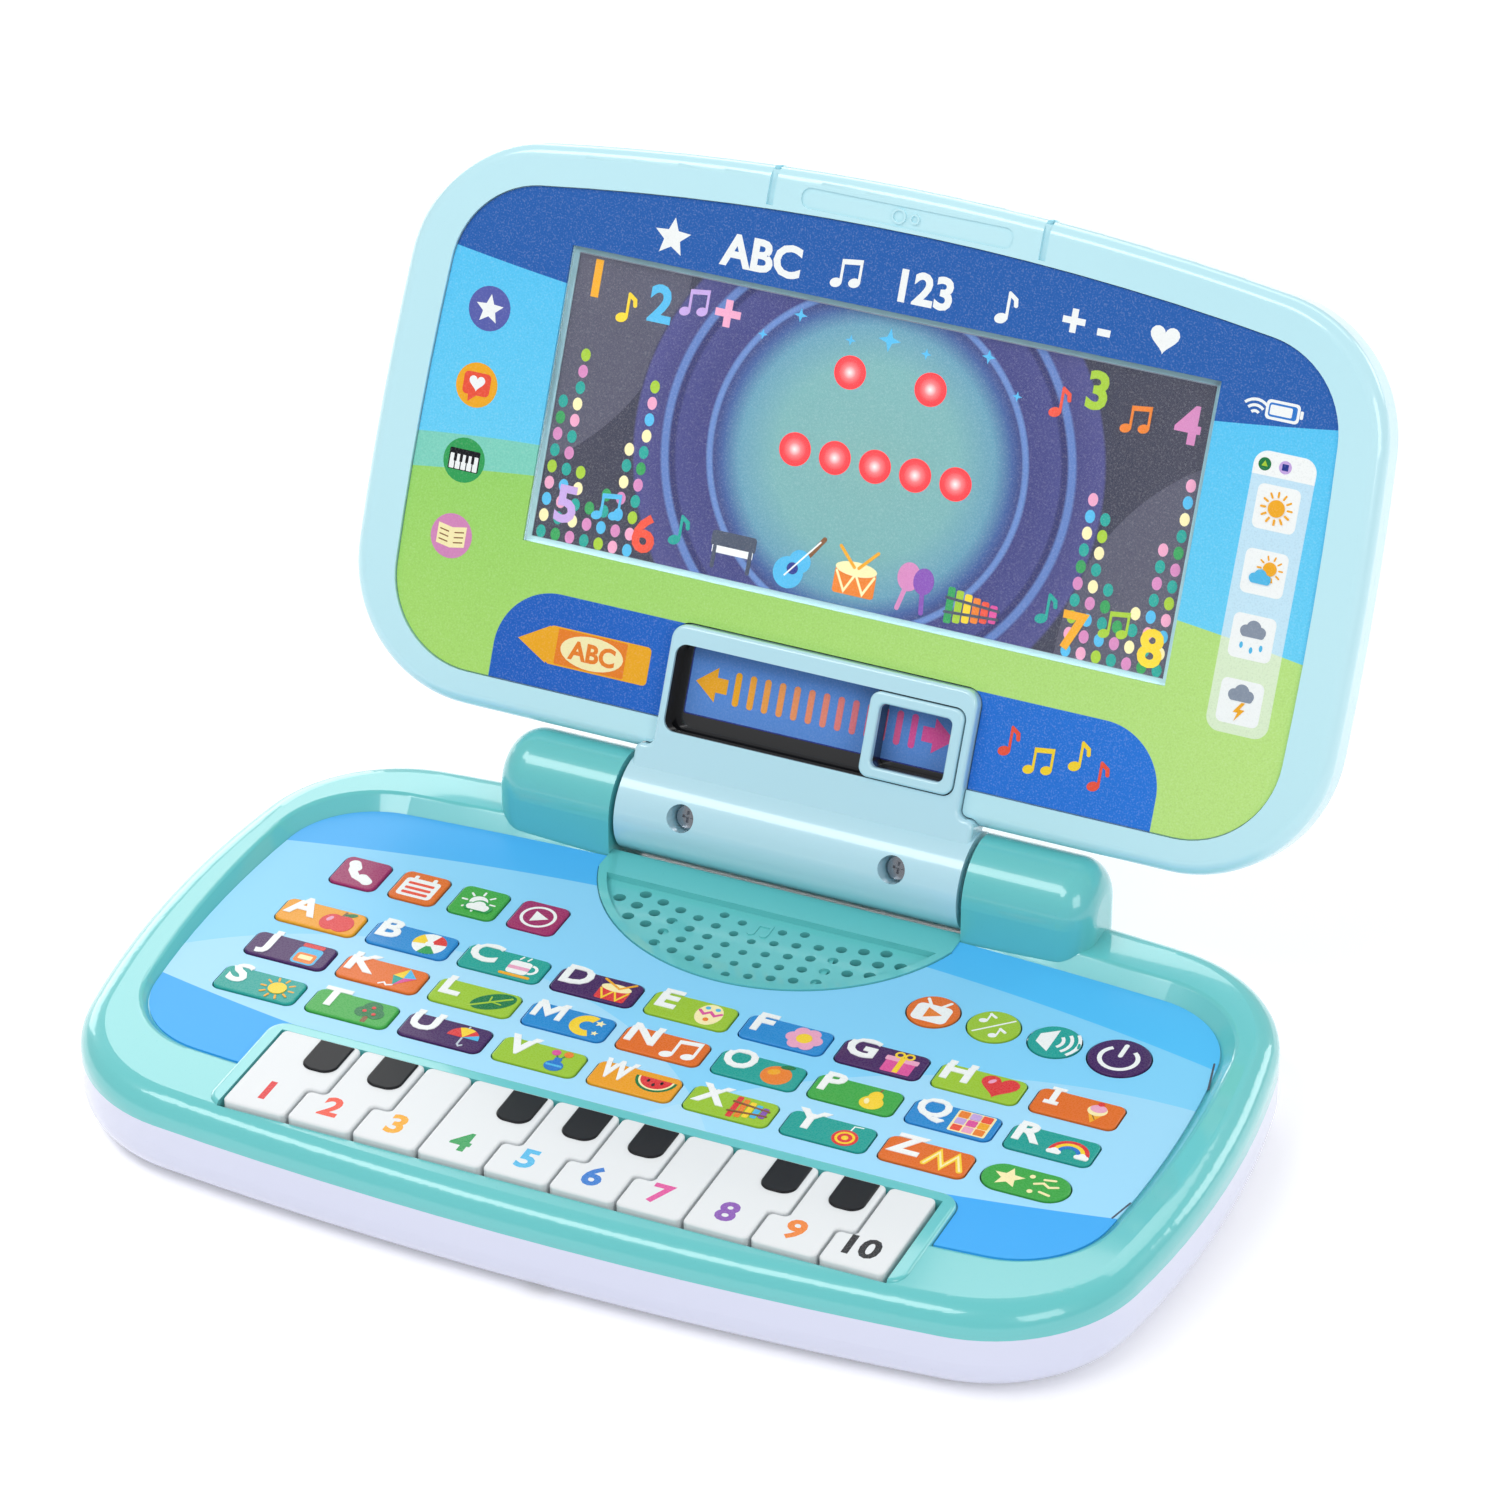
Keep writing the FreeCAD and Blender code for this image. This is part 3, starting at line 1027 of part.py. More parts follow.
def make_lid_frame():
    """Front shell of the lid: rounded border, plate for the art and window, and clip."""
    shell = prism(lid_outline(LID_PARTING), FRAME_FRONT - LID_PARTING)
    shell = shell.makeFillet(LID_FRAME_RADIUS, flat_edges(shell, FRAME_FRONT))
    art_room = prism(art_outline(ART_BACK), FAR)
    hollow = prism(lid_outline(LID_PARTING - CUT_MARGIN, -LID_WALL), PLATE_BACK - LID_PARTING + CUT_MARGIN)
    half_w = WINDOW_WIDTH / 2 + WINDOW_CLEARANCE
    seat = box(-half_w, half_w, WINDOW_BOTTOM - WINDOW_CLEARANCE, WINDOW_TOP + WINDOW_CLEARANCE,
               ART_BACK - WINDOW_THICKNESS, FAR)
    half_w = WINDOW_WIDTH / 2 - WINDOW_LEDGE
    sight = box(-half_w, half_w, WINDOW_BOTTOM + WINDOW_LEDGE, WINDOW_TOP - WINDOW_LEDGE, -FAR, FAR)
    frame = shell.cut(clip_cuts() + [art_room, hollow, seat, sight, hinge_opening()])
    post_foot = LID_SCREW_SEAT + PLATE_THICKNESS + LID_SCREW_POST_GAP
    places = lid_screw_places()
    posts = [upright(PILOT_POST_RADIUS, x, y, post_foot, PLATE_BACK + FRAME_PLATE / 2) for x, y in places]
    pilots = [upright(PILOT_RADIUS, x, y, -FAR, PLATE_BACK) for x, y in places]
    return frame.fuse(posts + clip_rings()).cut(pilots).removeSplitter()


def make_lid_back():
    """Back shell of the lid, with the back half of the hinge barrel and its trunnions."""
    outline_low = -LID_BACK_DEPTH
    shell = prism(lid_outline(outline_low), LID_PARTING - outline_low)
    shell = shell.makeFillet(LID_BACK_RADIUS, flat_edges(shell, outline_low))
    hollow = prism(lid_outline(LID_BACK_FLOOR, -LID_WALL), FAR)
    hollow = hollow.makeFillet(LID_BACK_RADIUS - LID_WALL, flat_edges(hollow, LID_BACK_FLOOR))
    back = shell.cut(hollow)
    neck_half = SLOT_FRAME_HALF - SLOT_GAP
    neck = box(-neck_half, neck_half, 0.0, LID_BOTTOM + LID_BACK_RADIUS, -LID_BACK_DEPTH, -SLOT_GAP)
    neck_room = box(-neck_half + BAR_WALL, neck_half - BAR_WALL, 0.0, LID_BOTTOM + 2 * LID_BACK_RADIUS,
                    LID_BACK_FLOOR, FAR)
    barrel = crosswise(BAR_RADIUS, -BAR_HALF_LENGTH, BAR_HALF_LENGTH, 0, 0)
    inside = crosswise(BAR_RADIUS - BAR_WALL, -BAR_HALF_LENGTH, BAR_HALF_LENGTH, 0, 0)
    front_half = box(-FAR, FAR, -FAR, FAR, -SLOT_GAP / 2, FAR)
    back = back.fuse([neck, barrel.cut(front_half)]).cut([inside, neck_room])
    ends = []
    for side in (-1, 1):
        inner = side * (BAR_HALF_LENGTH - CAP_THICKNESS)
        outer = side * BAR_HALF_LENGTH
        tip = side * (BOSS_INNER_X + TRUNNION_REACH)
        cap_radius = BAR_RADIUS - BAR_WALL - CAP_CLEARANCE
        cap = crosswise(cap_radius, min(inner, outer), max(inner, outer), 0, 0)
        root = crosswise(BAR_RADIUS - BAR_WALL / 2, min(inner, outer), max(inner, outer), 0, 0)
        trunnion = crosswise(TRUNNION_RADIUS, min(inner, tip), max(inner, tip), 0, 0)
        ends += [cap, root.cut(front_half), trunnion]
    post_foot = BAR_WALL / 2 - BAR_RADIUS
    hinge_posts = [upright(PILOT_POST_RADIUS, sx * HINGE_SCREW_X, 0.0, post_foot, -SLOT_GAP)
                   for sx in (-1, 1)]
    places = lid_screw_places()
    posts = [upright(POST_RADIUS, x, y, LID_BACK_FLOOR - LID_WALL / 2, LID_SCREW_SEAT + PLATE_THICKNESS)
             for x, y in places]
    board_x = LED_COLUMNS * LED_PITCH / 2
    post_foot = LID_BACK_FLOOR - LID_WALL / 2
    board_posts = [upright(STAKE_POST_RADIUS, LED_SHIFT + sx * board_x, WINDOW_MIDDLE + sy * board_x,
                           post_foot, LED_BOARD_BACK) for sx in (-1, 1) for sy in (-1, 1)]
    back = back.fuse(ends + hinge_posts + posts + board_posts)
    cuts = [upright(SCREW_HEAD_RADIUS + SCREW_CLEARANCE, x, y, -FAR, LID_SCREW_SEAT) for x, y in places]
    cuts += [upright(SCREW_SHANK_RADIUS + SCREW_CLEARANCE, x, y, -FAR, FAR) for x, y in places]
    cuts += [upright(PILOT_RADIUS, sx * HINGE_SCREW_X, 0.0,
                     HINGE_SCREW_SEAT - HINGE_SCREW_LENGTH - PILOT_CLEARANCE, FAR) for sx in (-1, 1)]
    return back.cut(cuts).removeSplitter()


def make_hinge_bar():
    """Front half of the hinge barrel in one piece with the raised frame of the swipe slot."""
    barrel = crosswise(BAR_RADIUS, -BAR_HALF_LENGTH, BAR_HALF_LENGTH, 0, 0)
    back_half = box(-FAR, FAR, -FAR, FAR, -FAR, 0.0)
    inside = crosswise(BAR_RADIUS - BAR_WALL, -BAR_HALF_LENGTH, BAR_HALF_LENGTH, 0, 0)
    block = hinge_block(0.0, 0.0, SLOT_FRAME_FRONT)
    rim = [e for e in flat_edges(block, SLOT_FRAME_FRONT) if e.BoundBox.YMax > BAR_RADIUS]
    block = block.makeFillet(SLOT_EDGE_RADIUS, rim)
    half, lap = SLOT_HALF_LENGTH, RAIL_LAP
    slot = prism(rounded_rectangle(-half, half, SLOT_BOTTOM_Y, SLOT_TOP_Y, SLOT_CORNER, SLOT_FLOOR), FAR)
    rail = box(-half, half, SLOT_BOTTOM_Y - lap, SLOT_TOP_Y + lap, SLOT_FLOOR, SLOT_FLOOR + RAIL_HEIGHT)
    bar = barrel.fuse(block).cut([back_half, inside, slot, rail])
    posts = []
    for sx in (-1, 1):
        post = upright(HINGE_SCREW_RECESS_RADIUS + BAR_WALL / 2, sx * HINGE_SCREW_X, 0.0, 0.0, FAR)
        posts.append(post.common(barrel))
    bar = bar.fuse(posts)
    cuts = []
    for x in (-HINGE_SCREW_X, HINGE_SCREW_X):
        cuts.append(upright(HINGE_SCREW_RECESS_RADIUS, x, 0.0, HINGE_SCREW_SEAT, FAR))
        cuts.append(upright(SCREW_SHANK_RADIUS + SCREW_CLEARANCE, x, 0.0, -CUT_MARGIN, FAR))
    return bar.cut(cuts).removeSplitter()


def make_swiper():
    """Hollow square slider in the rails of the slot, at the right end of its travel."""
    x1 = SLOT_HALF_LENGTH - SWIPER_CLEARANCE
    x0 = x1 - SWIPER_LENGTH
    y0, y1 = SLOT_BOTTOM_Y + SWIPER_CLEARANCE, SLOT_TOP_Y - SWIPER_CLEARANCE
    foot_low = SLOT_FLOOR + SLOT_GAP
    foot_high = SLOT_FLOOR + RAIL_HEIGHT - SLOT_GAP
    foot = box(x0, x1, y0 - RAIL_LAP, y1 + RAIL_LAP, foot_low, foot_high)
    grip = prism(rounded_rectangle(x0, x1, y0, y1, SWIPER_CORNER, foot_low), SWIPER_FRONT - foot_low)
    wall = SWIPER_WALL
    finger = prism(rounded_rectangle(x0 + wall, x1 - wall, y0 + wall, y1 - wall, FINGER_CORNER, 0.0), FAR)
    grip = grip.cut(finger)
    grip = grip.makeFillet(SWIPER_EDGE_RADIUS, flat_edges(grip, SWIPER_FRONT))
    return grip.fuse(foot.cut(finger)).removeSplitter()


def make_lid_art_panel():
    """Printed sheet in the lid's face, cut out round the window and the hinge bar."""
    sheet = prism(art_outline(ART_BACK, -ART_CLEARANCE), ART_THICKNESS)
    half = WINDOW_WIDTH / 2
    window = box(-half, half, WINDOW_BOTTOM, WINDOW_TOP, -FAR, FAR)
    return sheet.cut([window, hinge_opening()])


def make_screen_window():
    """Clear sheet over the picture, a little below the printed face."""
    half = WINDOW_WIDTH / 2
    return box(-half, half, WINDOW_BOTTOM, WINDOW_TOP, ART_BACK - WINDOW_THICKNESS, ART_BACK)


def make_picture_card():
    """Printed card behind the window."""
    half = WINDOW_WIDTH / 2 + CARD_LAP
    return box(-half, half, WINDOW_BOTTOM - CARD_LAP, WINDOW_TOP + CARD_LAP,
               CARD_FRONT - CARD_THICKNESS, CARD_FRONT)


def make_led_board():
    """Small board with a grid of round lamps that shine through the card."""
    half_x = (LED_COLUMNS - 1) * LED_PITCH / 2 + LED_BOARD_MARGIN
    half_y = (LED_ROWS - 1) * LED_PITCH / 2 + LED_BOARD_MARGIN
    board = box(LED_SHIFT - half_x, LED_SHIFT + half_x, WINDOW_MIDDLE - half_y, WINDOW_MIDDLE + half_y,
                LED_BOARD_BACK, LED_BOARD_FRONT)
    lamps = []
    for column in range(LED_COLUMNS):
        for row in range(LED_ROWS):
            x = LED_SHIFT + (column - (LED_COLUMNS - 1) / 2) * LED_PITCH
            y = WINDOW_MIDDLE + (row - (LED_ROWS - 1) / 2) * LED_PITCH
            lamps.append(upright(LED_RADIUS, x, y, LED_BOARD_FRONT, LED_TOP))
    return board.fuse(lamps)


def make_lid_screws():
    """Screws of the lid: four in its back and two in the hinge bar."""
    screws = [screw(x, y, LID_SCREW_SEAT, PLATE_BACK - PILOT_CLEARANCE) for x, y in lid_screw_places()]
    for sx in (-1, 1):
        bolt = screw(sx * HINGE_SCREW_X, 0.0, -HINGE_SCREW_SEAT, HINGE_SCREW_LENGTH - HINGE_SCREW_SEAT,
                     HINGE_SCREW_HEAD_RADIUS)
        bolt.rotate(Vec(0, 0, 0), Y_AXIS, 180)
        bolt.translate(Vec(2 * sx * HINGE_SCREW_X, 0, 0))
        screws.append(bolt)
    return Part.Compound(screws)


def stand_lid(shape):
    """Turn a piece from the lid's flat frame to the open lid."""
    shape.rotate(Vec(0, 0, 0), X_AXIS, 90.0 - LID_TILT_DEG)
    shape.translate(Vec(0, HINGE_Y, HINGE_Z))
    return shape


def build():
    """Make every piece, by node name."""
    pieces = {
        "base_tray": make_base_tray(),
        "base_deck": make_base_deck(),
        "keypad_overlay": make_keypad_overlay(),
        "sound_board": Part.Compound([make_main_board(), make_speaker()]),
        "battery_pack": Part.Compound(make_battery_cells() + make_battery_contacts()),
        "battery_door": make_battery_door(),
        "base_fixings": Part.Compound(make_case_screws() + [make_key_rod()]),
    }
    for button in all_buttons():
        pieces[button.node] = button.solid()
    for number in range(1, KEY_COUNT + 1):
        pieces["piano_key_%02d" % number] = make_key(number)
    lid = {
        "lid_frame": make_lid_frame(),
        "lid_back": make_lid_back(),
        "lid_art_panel": make_lid_art_panel(),
        "screen_window": make_screen_window(),
        "display_unit": Part.Compound([make_picture_card(), make_led_board()]),
        "hinge_bar": make_hinge_bar(),
        "lid_screws": make_lid_screws(),
        "swiper": make_swiper(),
    }
    for node, shape in lid.items():
        pieces[node] = stand_lid(shape)
    return pieces


def main():
    """Write one STEP file for each piece."""
    os.makedirs("parts", exist_ok=True)
    for node, shape in build().items():
        shape.exportStep(os.path.join("parts", node + ".step"))
        print(node, "solids", len(shape.Solids), "valid", shape.isValid(), "volume", round(shape.Volume, 1))
    print("hinge axis", round(HINGE_Y, 3), round(HINGE_Z, 3), "rod axis", round(ROD_Y, 3), round(ROD_Z, 3))
    print("swiper travel", round(SWIPER_TRAVEL, 3), "base", 2 * BASE_HALF_WIDTH, round(BASE_DEPTH, 3))


main()
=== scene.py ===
"""Looks of a toy laptop computer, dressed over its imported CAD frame.

Each sub-assembly is a class that dresses its CAD nodes and builds its printed pieces.
Sizes in the classes are millimetres in the row frame or on the lid's own face, where u runs
to the right, s up the face from the hinge and w out of it. Blender's own lengths are metres.
"""
import json
import logging
import math
from dataclasses import dataclass
from enum import Enum
from typing import Callable, Dict, Iterable, List, Optional, Sequence, Tuple, Union

import bmesh
import bpy
from mathutils import Matrix, Vector
from mathutils.geometry import delaunay_2d_cdt


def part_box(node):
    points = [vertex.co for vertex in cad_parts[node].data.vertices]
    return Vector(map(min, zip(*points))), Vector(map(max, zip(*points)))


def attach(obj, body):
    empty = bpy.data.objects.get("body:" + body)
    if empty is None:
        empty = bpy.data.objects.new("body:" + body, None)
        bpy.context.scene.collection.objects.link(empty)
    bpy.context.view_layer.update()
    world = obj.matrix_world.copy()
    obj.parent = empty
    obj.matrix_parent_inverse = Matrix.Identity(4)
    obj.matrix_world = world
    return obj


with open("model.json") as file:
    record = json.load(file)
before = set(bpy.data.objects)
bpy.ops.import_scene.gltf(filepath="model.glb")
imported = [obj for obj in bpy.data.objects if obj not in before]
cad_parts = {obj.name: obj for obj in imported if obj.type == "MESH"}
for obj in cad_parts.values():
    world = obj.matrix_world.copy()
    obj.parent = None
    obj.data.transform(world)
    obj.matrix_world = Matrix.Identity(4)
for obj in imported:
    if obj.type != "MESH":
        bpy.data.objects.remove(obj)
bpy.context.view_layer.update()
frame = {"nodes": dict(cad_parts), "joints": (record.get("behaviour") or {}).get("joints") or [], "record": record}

logging.basicConfig(level=logging.INFO, format="%(name)s: %(message)s")
log = logging.getLogger("toy_laptop")

MM = 0.001
LID_TILT_DEG = 25.0
LID_TURN = (math.radians(90.0 - LID_TILT_DEG), 0.0, 0.0)
CURVE_STEPS = 28
INK_STEP = 0.022
INK_SINK = 0.02
WELD_DIGITS = 4
WITHIN_FACES = 1
WELD_SHARE = 1e-4
ON_FLAT = (1.0, 1.0, 0.0)
EDGE_BLUR = 0.06
FULL_WHITE = (1.0, 1.0, 1.0, 1.0)
FLECK_SHADE = (0.0, 0.02, 0.06, 1.0)
LIGHT_FLECKS = (0.52, 0.72)
DARK_FLECKS = (0.48, 0.28)
BUMP_DISTANCE = 0.0002
COAT_ROUGHNESS = 0.06
DRIFT_SCALE = 9.0
DRIFT_SPAN = (0.3, 0.7)
DRIFT_SHARE = 0.55
FLECK_SCALE = 2300.0
MITRE_LIMIT = 0.45
HEART_SPAN = 17
INK_ATTRIBUTE = "ink"
GLOW_ATTRIBUTE = "glow"
SIZE_ATTRIBUTE = "half_size"

Point = Tuple[float, float]
Colour = Tuple[float, float, float, float]
Place = Callable[[float, float, float], Vector]
Outline = Tuple[List[Point], List[Tuple[int, ...]]]
Socket = bpy.types.NodeSocket


def linear(code: str) -> Colour:
    """Turns a colour code into linear light.

    Args:
        code: Six hexadecimal digits, as a screen shows them.

    Returns:
        Red, green, blue and a full alpha.
    """
    parts = [int(code[i:i + 2], 16) / 255 for i in (0, 2, 4)]
    red, green, blue = [p / 12.92 if p <= 0.04045 else ((p + 0.055) / 1.055) ** 2.4 for p in parts]
    return red, green, blue, 1.0


class Ink(Enum):
    """Printing inks, by their screen colour codes."""

    WHITE = "F8FBFA"
    CREAM = "FFF2B8"
    SILVER = "C4CEDA"
    GREY = "8C97A8"
    SLATE = "4C5568"
    BLACK = "17181C"
    RED = "E23A3C"
    SCARLET = "F0563F"
    ORANGE = "F0842C"
    AMBER = "F6AE26"
    YELLOW = "FCD733"
    LIME = "A9CE38"
    GREEN = "35A35A"
    FOREST = "1F7A45"
    TEAL = "22A79A"
    SKY = "55BDEB"
    BLUE = "2E7BD0"
    AZURE = "5C90DC"
    NAVY = "2B3990"
    INDIGO = "5B62AE"
    PURPLE = "8B55B5"
    LILAC = "C9A9E4"
    PINK = "F1A9C8"
    MAGENTA = "E2559F"
    ORCHID = "D98BBE"
    BROWN = "8A5A36"

    @property
    def rgba(self) -> Colour:
        """Linear colour of the ink."""
        return linear(self.value)


class Graph:
    """A node tree with short ways to add and link nodes."""

    def __init__(self, tree: bpy.types.NodeTree) -> None:
        self.tree = tree

    def node(self, kind: str, values: Optional[Dict] = None, **settings) -> bpy.types.Node:
        """Adds a node.

        Args:
            kind: The node's Blender type name.
            values: Inputs by name or index; a socket is linked and anything else is set.
            settings: Properties of the node itself.

        Returns:
            The new node.
        """
        node = self.tree.nodes.new(kind)
        for key, value in settings.items():
            setattr(node, key, value)
        for key, value in (values or {}).items():
            if isinstance(value, Socket):
                self.tree.links.new(value, node.inputs[key])
            else:
                node.inputs[key].default_value = value
        return node

    def mix(self, factor, first, second) -> Socket:
        """Mixes two colours and returns the colour socket."""
        node = self.node("ShaderNodeMix", {0: factor, 6: first, 7: second}, data_type="RGBA")
        return node.outputs[2]

    def maths(self, operation: str, *values) -> Socket:
        """Adds a Math node and returns its value socket."""
        node = self.node("ShaderNodeMath", dict(enumerate(values)), operation=operation)
        return node.outputs[0]

    def spread(self, value, low: float, high: float, to_low: float = 0.0,
               to_high: float = 1.0) -> Socket:
        """Maps a value from one range to another, held inside it."""
        node = self.node("ShaderNodeMapRange", {0: value, 1: low, 2: high, 3: to_low, 4: to_high})
        return node.outputs[0]

    def vector(self, operation: str, *values) -> bpy.types.Node:
        """Adds a Vector Math node."""
        return self.node("ShaderNodeVectorMath", dict(enumerate(values)), operation=operation)

    def group(self, tree: bpy.types.NodeTree, values: Dict) -> bpy.types.Node:
        """Adds a shader node group and sets its inputs."""
        return self.node("ShaderNodeGroup", values, node_tree=tree)

    def ramp(self, value: Socket, stops: Sequence[Tuple[float, str]]) -> Socket:
        """Colours a value by stops of position and colour code."""
        node = self.node("ShaderNodeValToRGB", {0: value})
        elements = node.color_ramp.elements
        while len(elements) < len(stops):
            elements.new(1.0)
        for element, (position, code) in zip(elements, stops):
            element.position = position
            element.color = linear(code)
        return node.outputs[0]

    def let_pass(self, mask: Socket, shader: bpy.types.Node) -> None:
        """Lets the rays of a mask through the material's surface."""
        clear = self.node("ShaderNodeBsdfTransparent")
        mixed = self.node("ShaderNodeMixShader", {0: mask, 1: shader.outputs[0], 2: clear.outputs[0]})
        output = next(n for n in self.tree.nodes if n.type == "OUTPUT_MATERIAL")
        self.tree.links.new(mixed.outputs[0], output.inputs["Surface"])


def shader_group(name: str, inputs: Dict[str, str], outputs: Dict[str, str],
                 draw: Callable[[Graph, Dict], Dict]) -> bpy.types.NodeTree:
    """Makes a shared shader node group, or returns it if it is there already.

    Args:
        name: Name of the group.
        inputs: Socket kinds by name.
        outputs: Socket kinds by name.
        draw: Builds the inside and returns the output sockets by name.

    Returns:
        The node group.
    """
    if name in bpy.data.node_groups:
        return bpy.data.node_groups[name]
    tree = bpy.data.node_groups.new(name, "ShaderNodeTree")
    for key, kind in inputs.items():
        tree.interface.new_socket(key, in_out="INPUT", socket_type="NodeSocket" + kind)
    for key, kind in outputs.items():
        tree.interface.new_socket(key, in_out="OUTPUT", socket_type="NodeSocket" + kind)
    graph = Graph(tree)
    entry = graph.node("NodeGroupInput")
    leave = graph.node("NodeGroupOutput")
    made = draw(graph, {key: entry.outputs[key] for key in inputs})
    for key, socket in made.items():
        tree.links.new(socket, leave.inputs[key])
    return tree


def grain_group() -> bpy.types.NodeTree:
    """Moulded plastic: a slow drift of colour and a fine grain in roughness and height."""
    def draw(graph: Graph, given: Dict) -> Dict:
        where = graph.node("ShaderNodeTexCoord").outputs["Object"]
        broad = graph.node("ShaderNodeTexNoise", {"Vector": where, "Scale": DRIFT_SCALE, "Detail": 1.0})
        fine = graph.node("ShaderNodeTexNoise", {"Vector": where, "Scale": given["Scale"], "Detail": 2.0})
        drift = graph.spread(broad.outputs[0], *DRIFT_SPAN, 0.0, DRIFT_SHARE)
        rough = graph.maths("MULTIPLY_ADD", fine.outputs[0], given["Spread"], given["Roughness"])
        return {"Colour": graph.mix(drift, given["Colour"], given["Shade"]),
                "Roughness": rough, "Height": fine.outputs[0]}
    return shader_group("moulded_grain",
                        {"Colour": "Color", "Shade": "Color", "Scale": "Float", "Roughness": "Float",
                         "Spread": "Float"},
                        {"Colour": "Color", "Roughness": "Float", "Height": "Float"}, draw)


def speckle_group() -> bpy.types.NodeTree:
    """Ink on a matt sheet: fine light and dark flecks over a colour."""
    def draw(graph: Graph, given: Dict) -> Dict:
        where = graph.node("ShaderNodeTexCoord").outputs["Object"]
        flecks = graph.node("ShaderNodeTexNoise", {"Vector": where, "Scale": FLECK_SCALE, "Detail": 1.0})
        light, dark = [
            graph.maths("MULTIPLY", graph.spread(flecks.outputs[0], *span), given["Amount"])
            for span in (LIGHT_FLECKS, DARK_FLECKS)]
        lit = graph.mix(light, given["Colour"], FULL_WHITE)
        return {"Colour": graph.mix(dark, lit, FLECK_SHADE)}
    return shader_group("print_speckle", {"Colour": "Color", "Amount": "Float"}, {"Colour": "Color"}, draw)


def disc_group() -> bpy.types.NodeTree:
    """Mask that is one inside a circle of the flat coordinates."""
    def draw(graph: Graph, given: Dict) -> Dict:
        flat = graph.vector("MULTIPLY", given["Vector"], ON_FLAT).outputs[0]
        far = graph.vector("DISTANCE", flat, given["Centre"]).outputs["Value"]
        over = graph.maths("SUBTRACT", far, given["Radius"])
        return {"Mask": graph.spread(over, EDGE_BLUR, -EDGE_BLUR), "Distance": far}
    return shader_group("disc_field", {"Vector": "Vector", "Centre": "Vector", "Radius": "Float"},
                        {"Mask": "Float", "Distance": "Float"}, draw)


def panel_group() -> bpy.types.NodeTree:
    """Mask that is one inside an upright rounded box of the flat coordinates."""
    def draw(graph: Graph, given: Dict) -> Dict:
        flat = graph.vector("MULTIPLY", given["Vector"], ON_FLAT).outputs[0]
        apart = graph.vector("SUBTRACT", flat, given["Centre"]).outputs[0]
        away = graph.vector("ABSOLUTE", apart).outputs[0]
        beyond = graph.vector("SUBTRACT", away, given["Core"]).outputs[0]
        past = graph.vector("MAXIMUM", beyond, (0.0, 0.0, 0.0)).outputs[0]
        over = graph.maths("SUBTRACT", graph.vector("LENGTH", past).outputs["Value"], given["Corner"])
        return {"Mask": graph.spread(over, EDGE_BLUR, -EDGE_BLUR)}
    return shader_group("panel_field",
                        {"Vector": "Vector", "Centre": "Vector", "Core": "Vector", "Corner": "Float"},
                        {"Mask": "Float"}, draw)


def hinge_place() -> Vector:
    """Hinge axis in the row frame, in millimetres."""
    joint = next(j for j in frame["joints"] if j["name"] == "lid_hinge")
    return Vector(joint["pos_m"]) / MM


class Sheet:
    """A material's flat coordinates in millimetres, with round and boxed fields to colour."""

    def __init__(self, graph: Graph, on_lid: bool) -> None:
        self.graph = graph
        turn = math.radians(LID_TILT_DEG - 90.0) if on_lid else 0.0
        shift = -(Matrix.Rotation(turn, 3, "X") @ hinge_place()) if on_lid else Vector((0, 0, 0))
        where = graph.node("ShaderNodeTexCoord").outputs["Object"]
        self.vector = graph.node("ShaderNodeMapping", {
            "Vector": where, "Scale": (1 / MM,) * 3, "Rotation": (turn, 0.0, 0.0),
            "Location": tuple(shift)}).outputs[0]
        apart = graph.node("ShaderNodeSeparateXYZ", {0: self.vector})
        self.x, self.y, self.z = apart.outputs

    def disc(self, x: float, y: float, radius: float) -> Socket:
        """Mask inside a circle."""
        values = {"Vector": self.vector, "Centre": (x, y, 0.0), "Radius": radius}
        return self.graph.group(disc_group(), values).outputs["Mask"]

    def distance(self, x: float, y: float) -> Socket:
        """Distance from a point."""
        values = {"Vector": self.vector, "Centre": (x, y, 0.0), "Radius": 0.0}
        return self.graph.group(disc_group(), values).outputs["Distance"]

    def panel(self, x0: float, x1: float, y0: float, y1: float, corner: float) -> Socket:
        """Mask inside a rounded box."""
        values = {"Vector": self.vector, "Centre": ((x0 + x1) / 2, (y0 + y1) / 2, 0.0),
                  "Core": ((x1 - x0) / 2 - corner, (y1 - y0) / 2 - corner, 0.0), "Corner": corner}
        return self.graph.group(panel_group(), values).outputs["Mask"]


